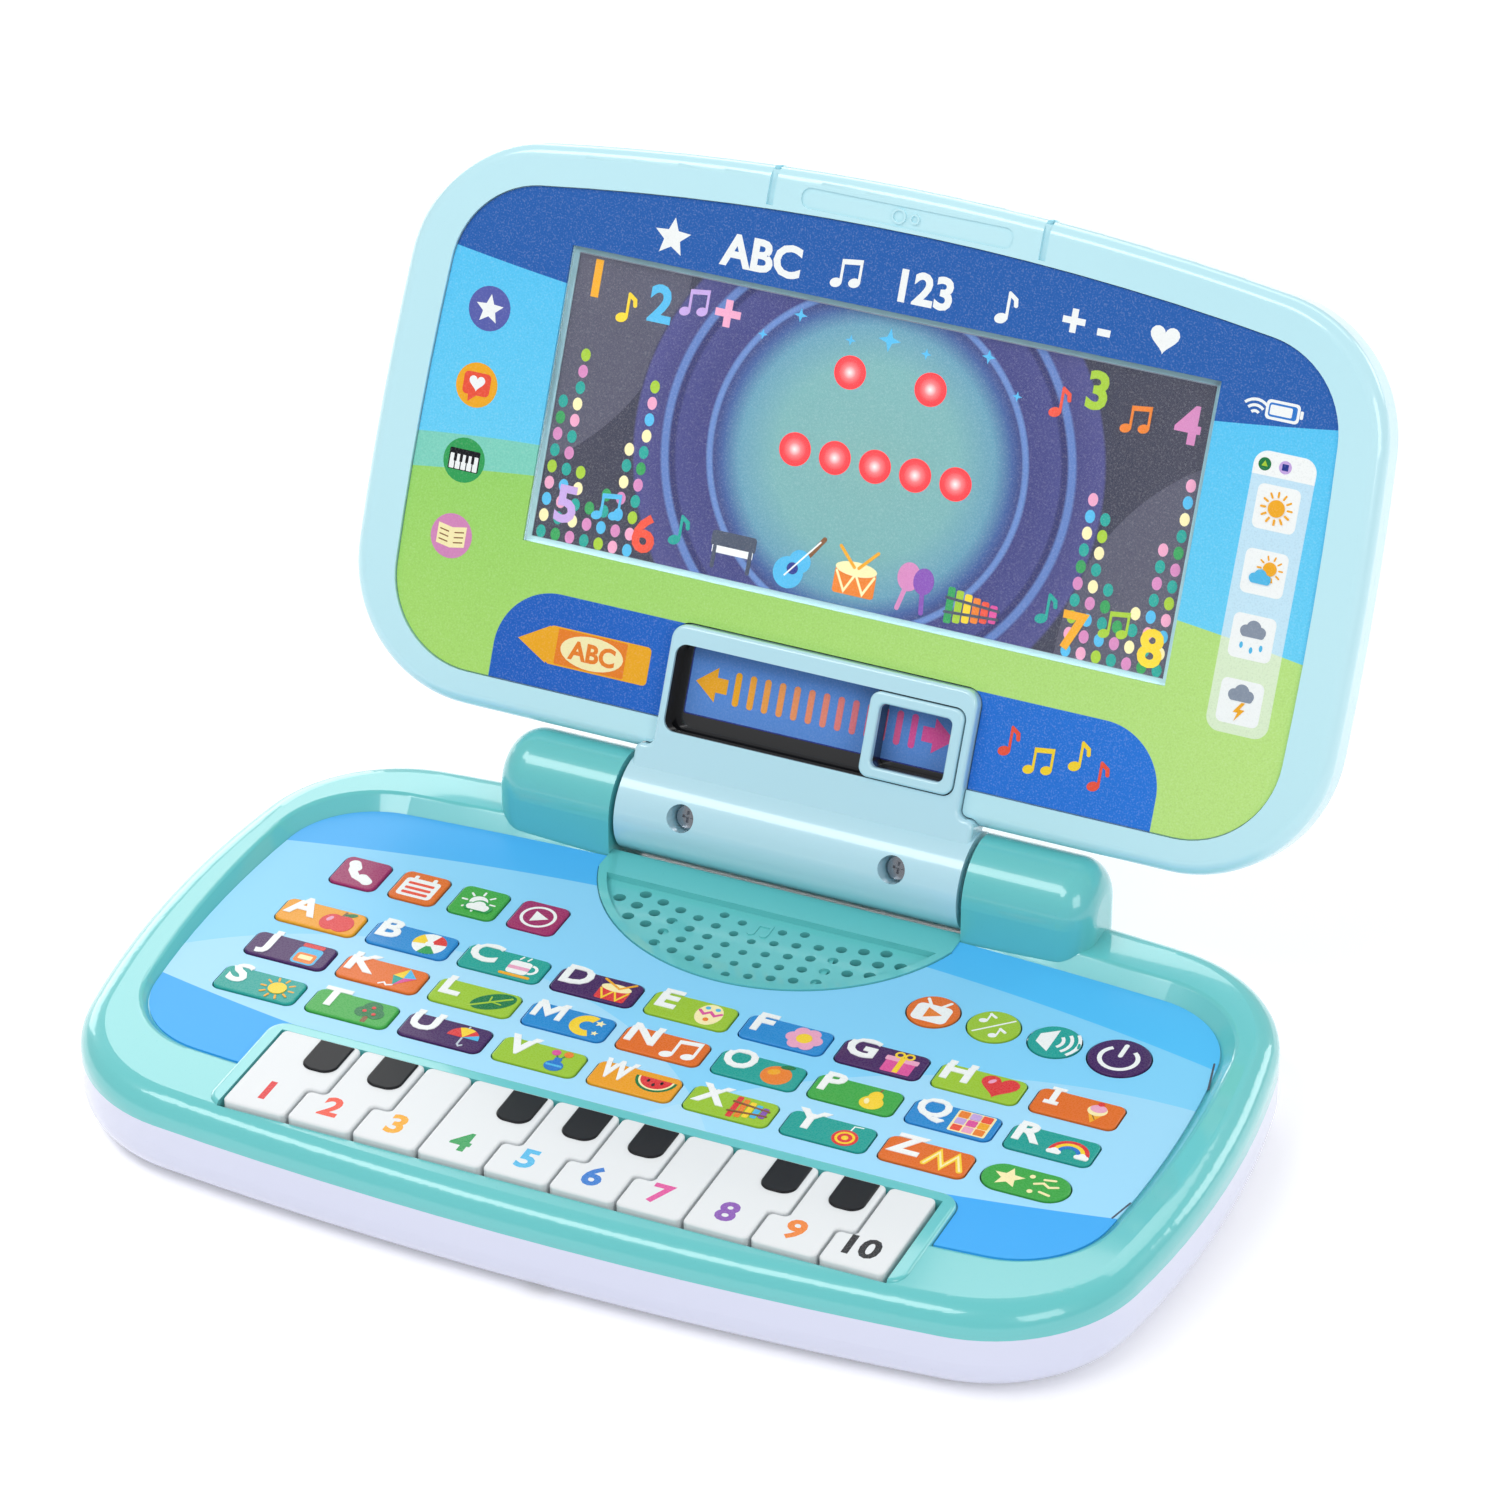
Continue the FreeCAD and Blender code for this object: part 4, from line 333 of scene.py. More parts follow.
@dataclass(frozen=True)
class Moulded:
    """Glossy moulded plastic; its kinds override paint() to print over the colour."""

    name: str
    colour: str
    shade: str
    roughness: float = 0.26
    spread: float = 0.05
    coat: float = 0.3
    bump: float = 0.006
    scale: float = 2400.0
    specular: float = 0.45

    def paint(self, graph: Graph, colour: Socket) -> Socket:
        """Prints over the moulded colour.

        Args:
            graph: The material's nodes.
            colour: The moulded colour.

        Returns:
            The colour to show.
        """
        return colour

    def material(self) -> bpy.types.Material:
        """Makes the finish's material, or returns it if it is there already."""
        name = f"look_{self.name}"
        if name in bpy.data.materials:
            return bpy.data.materials[name]
        material = bpy.data.materials.new(name)
        material.use_nodes = True
        graph = Graph(material.node_tree)
        shader = material.node_tree.nodes["Principled BSDF"]
        grain = graph.group(grain_group(), {
            "Colour": linear(self.colour), "Shade": linear(self.shade), "Scale": self.scale,
            "Roughness": self.roughness, "Spread": self.spread})
        bump = graph.node("ShaderNodeBump", {"Strength": self.bump, "Distance": BUMP_DISTANCE,
                                             "Height": grain.outputs["Height"]})
        links = material.node_tree.links
        links.new(self.paint(graph, grain.outputs["Colour"]), shader.inputs["Base Color"])
        links.new(grain.outputs["Roughness"], shader.inputs["Roughness"])
        links.new(bump.outputs[0], shader.inputs["Normal"])
        shader.inputs["Specular IOR Level"].default_value = self.specular
        shader.inputs["Coat Weight"].default_value = self.coat
        shader.inputs["Coat Roughness"].default_value = COAT_ROUGHNESS
        self.adjust(graph, shader)
        return material

    def adjust(self, graph: Graph, shader: bpy.types.Node) -> None:
        """Sets what else a kind of plastic needs on its shader."""


class KeyPlastic(Moulded):
    """White keys whose raised inlays are black."""

    INLAY_FROM_Z = 26.03

    def raised(self, graph: Graph) -> Socket:
        """Mask of what stands above the key's face."""
        return graph.maths("GREATER_THAN", Sheet(graph, False).z, self.INLAY_FROM_Z)

    def paint(self, graph: Graph, colour: Socket) -> Socket:
        """Blackens the inlays."""
        return graph.mix(self.raised(graph), colour, Ink.BLACK.rgba)

    def adjust(self, graph: Graph, shader: bpy.types.Node) -> None:
        """Leaves the clear coat off the inlays."""
        coat = graph.spread(self.raised(graph), 0.0, 1.0, self.coat, 0.0)
        graph.tree.links.new(coat, shader.inputs["Coat Weight"])


class BarPlastic(Moulded):
    """Hinge bar with painted shade in its slot: the slot's walls and floor are painted black."""

    SLOT = (-39.2, 39.2, 18.0, 43.4, 0.5)
    DARK_BELOW_W = 6.9

    def paint(self, graph: Graph, colour: Socket) -> Socket:
        """Paints shade into the slot by blackening its walls and floor."""
        sheet = Sheet(graph, True)
        inside = sheet.panel(*self.SLOT)
        # painted shade: the bar's own plastic is blackened deep in the recess, where shade falls
        deep_painted_shade = graph.maths("LESS_THAN", sheet.z, self.DARK_BELOW_W)
        return graph.mix(graph.maths("MULTIPLY", inside, deep_painted_shade), colour, Ink.BLACK.rgba)


class OverlayFilm(Moulded):
    """Printed film of the base: pale sky with azure bands that sweep across it."""

    BACK_BAND = (0.0, -485.3, 535.0)
    FRONT_BAND = (0.0, 557.2, 600.0)
    LEFT_SWOOSH = (-60.0, -93.3, 101.0)
    RIGHT_SWOOSH = (120.0, -127.3, 145.0)
    SWOOSHES = ((LEFT_SWOOSH, 0.55), (RIGHT_SWOOSH, 0.5))
    SPAN_X = (-125.0, 125.0)

    def paint(self, graph: Graph, colour: Socket) -> Socket:
        """Lays the bands over the pale film."""
        sheet = Sheet(graph, False)
        across = graph.spread(sheet.x, *self.SPAN_X)
        base = graph.mix(across, linear("96DBFF"), linear("84D6FF"))
        for swoosh, strength in self.SWOOSHES:
            base = graph.mix(graph.maths("MULTIPLY", sheet.disc(*swoosh), strength), base, linear("BDE8FF"))
        outside = graph.maths("SUBTRACT", 1.0, sheet.disc(*self.BACK_BAND))
        back = graph.mix(across, linear("4FB6FA"), linear("56C6FF"))
        base = graph.mix(outside, base, back)
        front = graph.maths("SUBTRACT", 1.0, sheet.disc(*self.FRONT_BAND))
        return graph.mix(front, base, linear("46B0FA"))


class LidPrint(Moulded):
    """Matt printed sheet of the lid: a landscape with a blue band and fields."""

    BAND = (0.0, 928.9, 810.0)
    NEAR_HILL = (0.0, -766.1, 845.0)
    FAR_HILL = (-60.0, -417.0, 500.0)
    FIELD = (-89.0, 89.0, -20.0, 46.8, 16.0)
    STRIP = (97.6, 113.5, 50.4, 119.2, 3.6)
    STRIP_HEAD_FROM = 113.2
    STRIP_TINT = 0.55
    SKY_SPAN = (70.0, 130.0)
    GRASS_SPAN = (20.0, 75.0)
    SPAN_U = (-90.0, 115.0)
    RIGHT_GLOW = 0.6
    SPECKLE = 0.08

    def paint(self, graph: Graph, colour: Socket) -> Socket:
        """Lays the landscape over the sky."""
        sheet = Sheet(graph, True)
        rise = graph.spread(sheet.y, *self.SKY_SPAN)
        print_ = graph.mix(rise, linear("6CD4FA"), linear("58C8F8"))
        print_ = graph.mix(sheet.disc(*self.FAR_HILL), print_, linear("82D6C2"))
        side = graph.spread(sheet.x, *self.SPAN_U)
        grass = graph.mix(graph.spread(sheet.y, *self.GRASS_SPAN), linear("B2E272"), linear("9CD86A"))
        grass = graph.mix(graph.maths("MULTIPLY", side, self.RIGHT_GLOW), grass, linear("CDEE92"))
        print_ = graph.mix(sheet.disc(*self.NEAR_HILL), print_, grass)
        print_ = graph.mix(sheet.disc(*self.BAND), print_, linear("2A62B2"))
        field = graph.mix(side, linear("2563C2"), linear("2B7CE0"))
        print_ = graph.mix(sheet.panel(*self.FIELD), print_, field)
        strip = sheet.panel(*self.STRIP)
        print_ = graph.mix(graph.maths("MULTIPLY", strip, self.STRIP_TINT), print_, Ink.WHITE.rgba)
        head = graph.maths("MULTIPLY", strip, graph.maths("GREATER_THAN", sheet.y, self.STRIP_HEAD_FROM))
        print_ = graph.mix(head, print_, Ink.WHITE.rgba)
        return graph.group(speckle_group(), {"Colour": print_, "Amount": self.SPECKLE}).outputs["Colour"]


class ScreenPrint(Moulded):
    """Printed card behind the window: rings around a glow, with a painted reflection of the window glass over two
    of its outer corners.
    """

    CENTRE = (-0.5, 95.5)
    REACH = 90.0
    RINGS = ((0.0, "7FB2AF"), (24.0, "7BB1B2"), (33.5, "689EB4"), (38.0, "42609A"), (40.4, "3D4880"),
             (40.9, "6A8CC8"), (42.0, "6A8CC8"), (42.5, "41437F"), (50.4, "474A86"), (50.9, "33356C"),
             (52.2, "33356C"), (52.6, "6382C0"), (54.2, "6382C0"), (54.7, "45457F"), (61.6, "4F4F8A"),
             (62.2, "3A3B4E"), (90.0, "444454"))
    BEAMS = ((-118.0, 133.0, 64.0), (116.0, 60.0, 60.0))
    BEAMS_FROM = (62.0, 62.4)
    BEAM_STRENGTH = 0.35
    HEADER_FROM = 131.4
    SPECKLE = 0.07

    def paint(self, graph: Graph, colour: Socket) -> Socket:
        """Colours the card by the distance from the middle of its rings, and paints the window's reflection over
        its outer corners.
        """
        sheet = Sheet(graph, True)
        far = graph.maths("DIVIDE", sheet.distance(*self.CENTRE), self.REACH)
        card = graph.ramp(far, [(radius / self.REACH, code) for radius, code in self.RINGS])
        edge = [radius / self.REACH for radius in self.BEAMS_FROM]
        outer = graph.spread(far, *edge, 0.0, self.BEAM_STRENGTH)
        # painted reflection: pale grey patches where the window glass mirrors the room, kept to the dark outer
        # card
        for reflection in self.BEAMS:
            card = graph.mix(graph.maths("MULTIPLY", sheet.disc(*reflection), outer), card, linear("77768A"))
        head = graph.maths("GREATER_THAN", sheet.y, self.HEADER_FROM)
        card = graph.mix(head, card, linear("AEB4C6"))
        return graph.group(speckle_group(), {"Colour": card, "Amount": self.SPECKLE}).outputs["Colour"]


class BoardFinish(Moulded):
    """Circuit board with a dark speaker cone on it."""

    SPEAKER = (0.0, 39.7, 24.0)

    def paint(self, graph: Graph, colour: Socket) -> Socket:
        """Darkens the speaker."""
        return graph.mix(Sheet(graph, False).disc(*self.SPEAKER), colour, linear("1D2A30"))


class ClearSheet(Moulded):
    """Clear window that lets light through to the card behind it."""

    REFRACTION = 1.3

    def adjust(self, graph: Graph, shader: bpy.types.Node) -> None:
        """Makes the shader glass and lets shadow rays pass."""
        shader.inputs["Transmission Weight"].default_value = 1.0
        shader.inputs["IOR"].default_value = self.REFRACTION
        graph.let_pass(graph.node("ShaderNodeLightPath").outputs["Is Shadow Ray"], shader)


class SteelFinish(Moulded):
    """Plated steel of screws, rod and cells."""

    def adjust(self, graph: Graph, shader: bpy.types.Node) -> None:
        """Makes the shader metal."""
        shader.inputs["Metallic"].default_value = 1.0


class InkFinish(Moulded):
    """Printed ink: the colour comes from the piece's own ink attribute."""

    SPECKLE = 0.05

    def paint(self, graph: Graph, colour: Socket) -> Socket:
        """Shows the ink with a little fleck in it."""
        ink = graph.node("ShaderNodeAttribute", attribute_name=INK_ATTRIBUTE).outputs["Color"]
        return graph.group(speckle_group(), {"Colour": ink, "Amount": self.SPECKLE}).outputs["Colour"]


class LampFinish(Moulded):
    """Lit lamp: pale in the middle and red at the rim."""

    STOPS = ((0.0, "E8202A"), (0.3, "FA3038"), (0.62, "FF6A6E"), (1.0, "FFD0D0"))
    STRENGTH = 0.5

    def paint(self, graph: Graph, colour: Socket) -> Socket:
        """Shades from the rim to the middle."""
        glow = graph.node("ShaderNodeAttribute", attribute_name=GLOW_ATTRIBUTE).outputs["Fac"]
        return graph.ramp(glow, self.STOPS)

    def adjust(self, graph: Graph, shader: bpy.types.Node) -> None:
        """Lets the lamp shine in its own colours."""
        lit = shader.inputs["Base Color"].links[0].from_socket
        graph.tree.links.new(lit, shader.inputs["Emission Color"])
        shader.inputs["Emission Strength"].default_value = self.STRENGTH


def seen_directly(graph: Graph, mirrors: bool) -> Socket:
    """Mask of the rays that show a thing, apart from those by which it lights the scene.

    Args:
        graph: Nodes of a material or world.
        mirrors: Whether a mirror image counts as seen.

    Returns:
        One for rays that see and nought for rays that light.
    """
    path = graph.node("ShaderNodeLightPath").outputs
    seen = graph.maths("MAXIMUM", path["Is Camera Ray"], path["Is Transmission Ray"])
    if mirrors:
        seen = graph.maths("MAXIMUM", seen, path["Is Glossy Ray"])
    return graph.maths("MULTIPLY", seen, graph.maths("LESS_THAN", path["Diffuse Depth"], 0.5))


@dataclass(frozen=True)
class FloorFinish(Moulded):
    """Pale matt floor, lifted to white where it is seen and clear from below, to show the underside."""

    lift: float = 0.1

    def adjust(self, graph: Graph, shader: bpy.types.Node) -> None:
        """Adds the lift as a faint glow and lets rays from below pass."""
        shader.inputs["Emission Color"].default_value = FULL_WHITE
        glow = graph.maths("MULTIPLY", seen_directly(graph, True), self.lift)
        graph.tree.links.new(glow, shader.inputs["Emission Strength"])
        graph.let_pass(graph.node("ShaderNodeNewGeometry").outputs["Backfacing"], shader)


SLOT_FINISHES: Dict[str, Moulded] = {
    "tray_white": Moulded("tray_white", "E3E6FB", "DCE0F8", coat=0.8),
    "deck_teal": Moulded("deck_teal", "6ACDCE", "61C7C9", coat=1.0),
    "overlay_print": OverlayFilm("overlay_print", "8FD6FC", "8FD6FC", roughness=0.3, coat=0.0,
                                 specular=0.2),
    "lid_aqua": Moulded("lid_aqua", "C6F1FA", "BCEBF6", coat=0.9),
    "bar_blue": BarPlastic("bar_blue", "C2EAF6", "B9E5F3", roughness=0.22, coat=0.9),
    "art_print": LidPrint("art_print", "4FBCF0", "4FBCF0", roughness=0.5, coat=0.0, bump=0.02,
                          specular=0.15),
    "display_print": ScreenPrint("display_print", "45455C", "45455C", roughness=0.45, coat=0.0,
                                 specular=0.15),
    "window_clear": ClearSheet("window_clear", "FFFFFF", "F4F7FA", roughness=0.02, spread=0.02, coat=0.0,
                               bump=0.0),
    "key_white": KeyPlastic("key_white", "EBEEF0", "E3E7E9", roughness=0.28, coat=0.1, specular=0.2),
    "board_green": BoardFinish("board_green", "1F5C38", "1A4E30", roughness=0.45, coat=0.0),
    "cell_metal": SteelFinish("cell_metal", "B6B8BC", "A4A7AC", roughness=0.35, coat=0.0),
    "steel": SteelFinish("steel", "ACB0B8", "989CA4", roughness=0.18, coat=0.0),
}
BUTTON_COLOURS: Dict[str, Tuple[str, str]] = {
    "amber": ("F2A62B", "ECA024"),
    "blue": ("2E8FD6", "2A86CC"),
    "teal": ("2BA79C", "269C92"),
    "purple": ("4C2A63", "44255A"),
    "lime": ("A2CB38", "97C334"),
    "orange": ("E8742B", "E06C26"),
    "green": ("46AE4C", "3FA545"),
    "plum": ("A6316A", "9C2C62"),
}
SLOT_FINISHES.update({
    f"button_{name}": Moulded(f"button_{name}", *codes, coat=0.1, roughness=0.25, specular=0.2)
    for name, codes in BUTTON_COLOURS.items()})
GLOSS_INK = InkFinish("ink_gloss", "FFFFFF", "FFFFFF", roughness=0.25, coat=0.1, specular=0.2)
MATT_INK = InkFinish("ink_matt", "FFFFFF", "FFFFFF", roughness=0.5, coat=0.0, specular=0.15)
LAMP = LampFinish("lamp_red", "FF4040", "FF3030", roughness=0.3)


def arc_points(x: float, y: float, rx: float, ry: float, start: float, end: float) -> List[Point]:
    """Points along part of an ellipse.

    Args:
        x, y: Middle of the ellipse.
        rx, ry: Its half sizes.
        start, end: Angles in degrees, both included.

    Returns:
        The points in order.
    """
    steps = max(4, math.ceil(CURVE_STEPS * abs(end - start) / 360))
    angles = [math.radians(start + (end - start) * i / steps) for i in range(steps + 1)]
    return [(x + rx * math.cos(a), y + ry * math.sin(a)) for a in angles]


def one_face(points: List[Point]) -> Outline:
    """Outline with a single face."""
    return points, [tuple(range(len(points)))]


def turned(points: Iterable[Point], x: float, y: float, degrees: float) -> List[Point]:
    """Points turned about a centre."""
    c, s = math.cos(math.radians(degrees)), math.sin(math.radians(degrees))
    return [(x + (px - x) * c - (py - y) * s, y + (px - x) * s + (py - y) * c) for px, py in points]


def disc_outline(x: float, y: float, rx: float, ry: float = 0.0, turn: float = 0.0) -> Outline:
    """Disc or ellipse."""
    return one_face(turned(arc_points(x, y, rx, ry or rx, 0, 360)[:-1], x, y, turn))


def box_outline(x: float, y: float, width: float, height: float, corner: float = 0.2,
                turn: float = 0.0) -> Outline:
    """Box with round corners about its middle."""
    half_w, half_h = width / 2 - corner, height / 2 - corner
    points: List[Point] = []
    for index, (sx, sy) in enumerate(((1, 1), (-1, 1), (-1, -1), (1, -1))):
        points += arc_points(x + sx * half_w, y + sy * half_h, corner, corner, 90 * index, 90 * index + 90)
    return one_face(turned(points, x, y, turn))


def polygon_outline(*numbers: float) -> Outline:
    """Polygon from x, y pairs."""
    return one_face(list(zip(numbers[::2], numbers[1::2])))


def line_outline(width: float, *numbers: float) -> Outline:
    """Stroke along x, y pairs, with round ends and mitred bends."""
    path = [Vector(p) for p in zip(numbers[::2], numbers[1::2])]
    half = width / 2
    left, right = [], []
    for index, here in enumerate(path):
        before = path[max(index - 1, 0)]
        after = path[min(index + 1, len(path) - 1)]
        come = (here - before).normalized() if index else (after - here).normalized()
        go = (after - here).normalized() if index < len(path) - 1 else come
        normal = Vector((-(come.y + go.y), come.x + go.x)).normalized()
        reach = half / max(MITRE_LIMIT, normal.dot(Vector((-go.y, go.x))))
        left.append(here + normal * reach)
        right.append(here - normal * reach)
    first = math.degrees(math.atan2(*(path[1] - path[0]).yx))
    last = math.degrees(math.atan2(*(path[-1] - path[-2]).yx))
    tail = arc_points(path[0].x, path[0].y, half, half, first + 90, first + 270)
    head = arc_points(path[-1].x, path[-1].y, half, half, last - 90, last + 90)
    sides = [[tuple(p) for p in side] for side in (right[1:-1], reversed(left[1:-1]))]
    return one_face(tail + sides[0] + head + sides[1])


def arc_outline(x: float, y: float, radius: float, width: float, start: float = 0.0,
                end: float = 360.0) -> Outline:
    """Ring, or part of one."""
    outer = arc_points(x, y, radius + width / 2, radius + width / 2, start, end)
    inner = arc_points(x, y, radius - width / 2, radius - width / 2, start, end)
    if end - start >= 360:
        outer, inner = outer[:-1], inner[:-1]
    count = len(outer)
    ends = count if end - start >= 360 else count - 1
    faces = [(i, (i + 1) % count, count + (i + 1) % count, count + i) for i in range(ends)]
    return outer + inner, faces


def sector_outline(x: float, y: float, radius: float, start: float, end: float) -> Outline:
    """Slice of a disc."""
    return one_face([(x, y)] + arc_points(x, y, radius, radius, start, end))


def star_outline(x: float, y: float, radius: float, count: int = 5, share: float = 0.45) -> Outline:
    """Star with its first point up."""
    points = []
    for i in range(2 * int(count)):
        reach = radius if i % 2 == 0 else radius * share
        angle = math.pi / 2 + math.pi * i / count
        points.append((x + reach * math.cos(angle), y + reach * math.sin(angle)))
    return one_face(points)


def heart_outline(x: float, y: float, size: float) -> Outline:
    """Heart about its middle."""
    points = []
    for i in range(CURVE_STEPS):
        t = 2 * math.pi * i / CURVE_STEPS
        across = 16 * math.sin(t) ** 3
        up = 13 * math.cos(t) - 5 * math.cos(2 * t) - 2 * math.cos(3 * t) - math.cos(4 * t)
        points.append((x + size * across / HEART_SPAN, y + size * (up + 2) / HEART_SPAN))
    return one_face(points)


@dataclass(frozen=True)
class Mark:
    """One inked shape of an icon, with the numbers that its outline takes."""

    outline: Callable[..., Outline]
    ink: Ink
    numbers: Tuple[float, ...]

    def drawn(self) -> Outline:
        """The mark's points and faces."""
        return self.outline(*self.numbers)


Icon = Tuple[Mark, ...]


def marker(outline: Callable[..., Outline]) -> Callable[..., Mark]:
    """Makes the short way to write a mark of one kind of outline.

    Args:
        outline: Draws the shape from its numbers.

    Returns:
        A function that takes an ink and the numbers.
    """
    def mark(ink: Ink, *numbers: float) -> Mark:
        return Mark(outline, ink, numbers)
    return mark


disc, box, poly, line = map(marker, (disc_outline, box_outline, polygon_outline, line_outline))
arc, sector, star, heart = map(marker, (arc_outline, sector_outline, star_outline, heart_outline))


def single_note(ink: Ink) -> Icon:
    """Quaver, about eight millimetres tall."""
    return (disc(ink, -0.9, -2.9, 1.7, 1.25, 20), line(ink, 0.75, 0.45, -2.7, 0.45, 3.6),
            line(ink, 1.1, 0.6, 3.3, 2.2, 2.2, 2.4, 0.8))


def double_note(ink: Ink) -> Icon:
    """Pair of joined quavers, about eight millimetres tall."""
    return (disc(ink, -2.6, -2.6, 1.55, 1.15, 20), disc(ink, 2.2, -1.9, 1.55, 1.15, 20),
            line(ink, 0.7, -1.4, -2.4, -1.4, 3.0), line(ink, 0.7, 3.4, -1.7, 3.4, 3.7),
            poly(ink, -1.75, 2.1, 3.75, 2.8, 3.75, 4.1, -1.75, 3.4))


def sun_marks(ink: Ink, rays: Ink, radius: float, count: int = 8) -> Icon:
    """Sun with rays around it."""
    marks = []
    for i in range(count):
        c, s = math.cos(2 * math.pi * i / count), math.sin(2 * math.pi * i / count)
        marks.append(line(rays, 0.24 * radius, 1.35 * radius * c, 1.35 * radius * s, 1.85 * radius * c,
                          1.85 * radius * s))
    return tuple(marks) + (disc(ink, 0, 0, radius),)


def cloud_marks(ink: Ink, x: float, y: float, size: float) -> Icon:
    """Cloud from three discs on a round bar."""
    return (disc(ink, x - 0.9 * size, y, 0.75 * size), disc(ink, x + 0.1 * size, y + 0.45 * size, size),
            disc(ink, x + 1.1 * size, y + 0.05 * size, 0.7 * size),
            box(ink, x + 0.1 * size, y - 0.35 * size, 3.1 * size, 0.8 * size, 0.38 * size))


def bolt_mark(ink: Ink, x: float, y: float, size: float) -> Icon:
    """Lightning bolt."""
    shape = (0.3, 1.5, -0.9, -0.2, -0.1, -0.2, -0.5, -1.6, 1.0, 0.35, 0.15, 0.35, 0.9, 1.5)
    numbers = [n * size + (y if i % 2 else x) for i, n in enumerate(shape)]
    return (poly(ink, *numbers),)


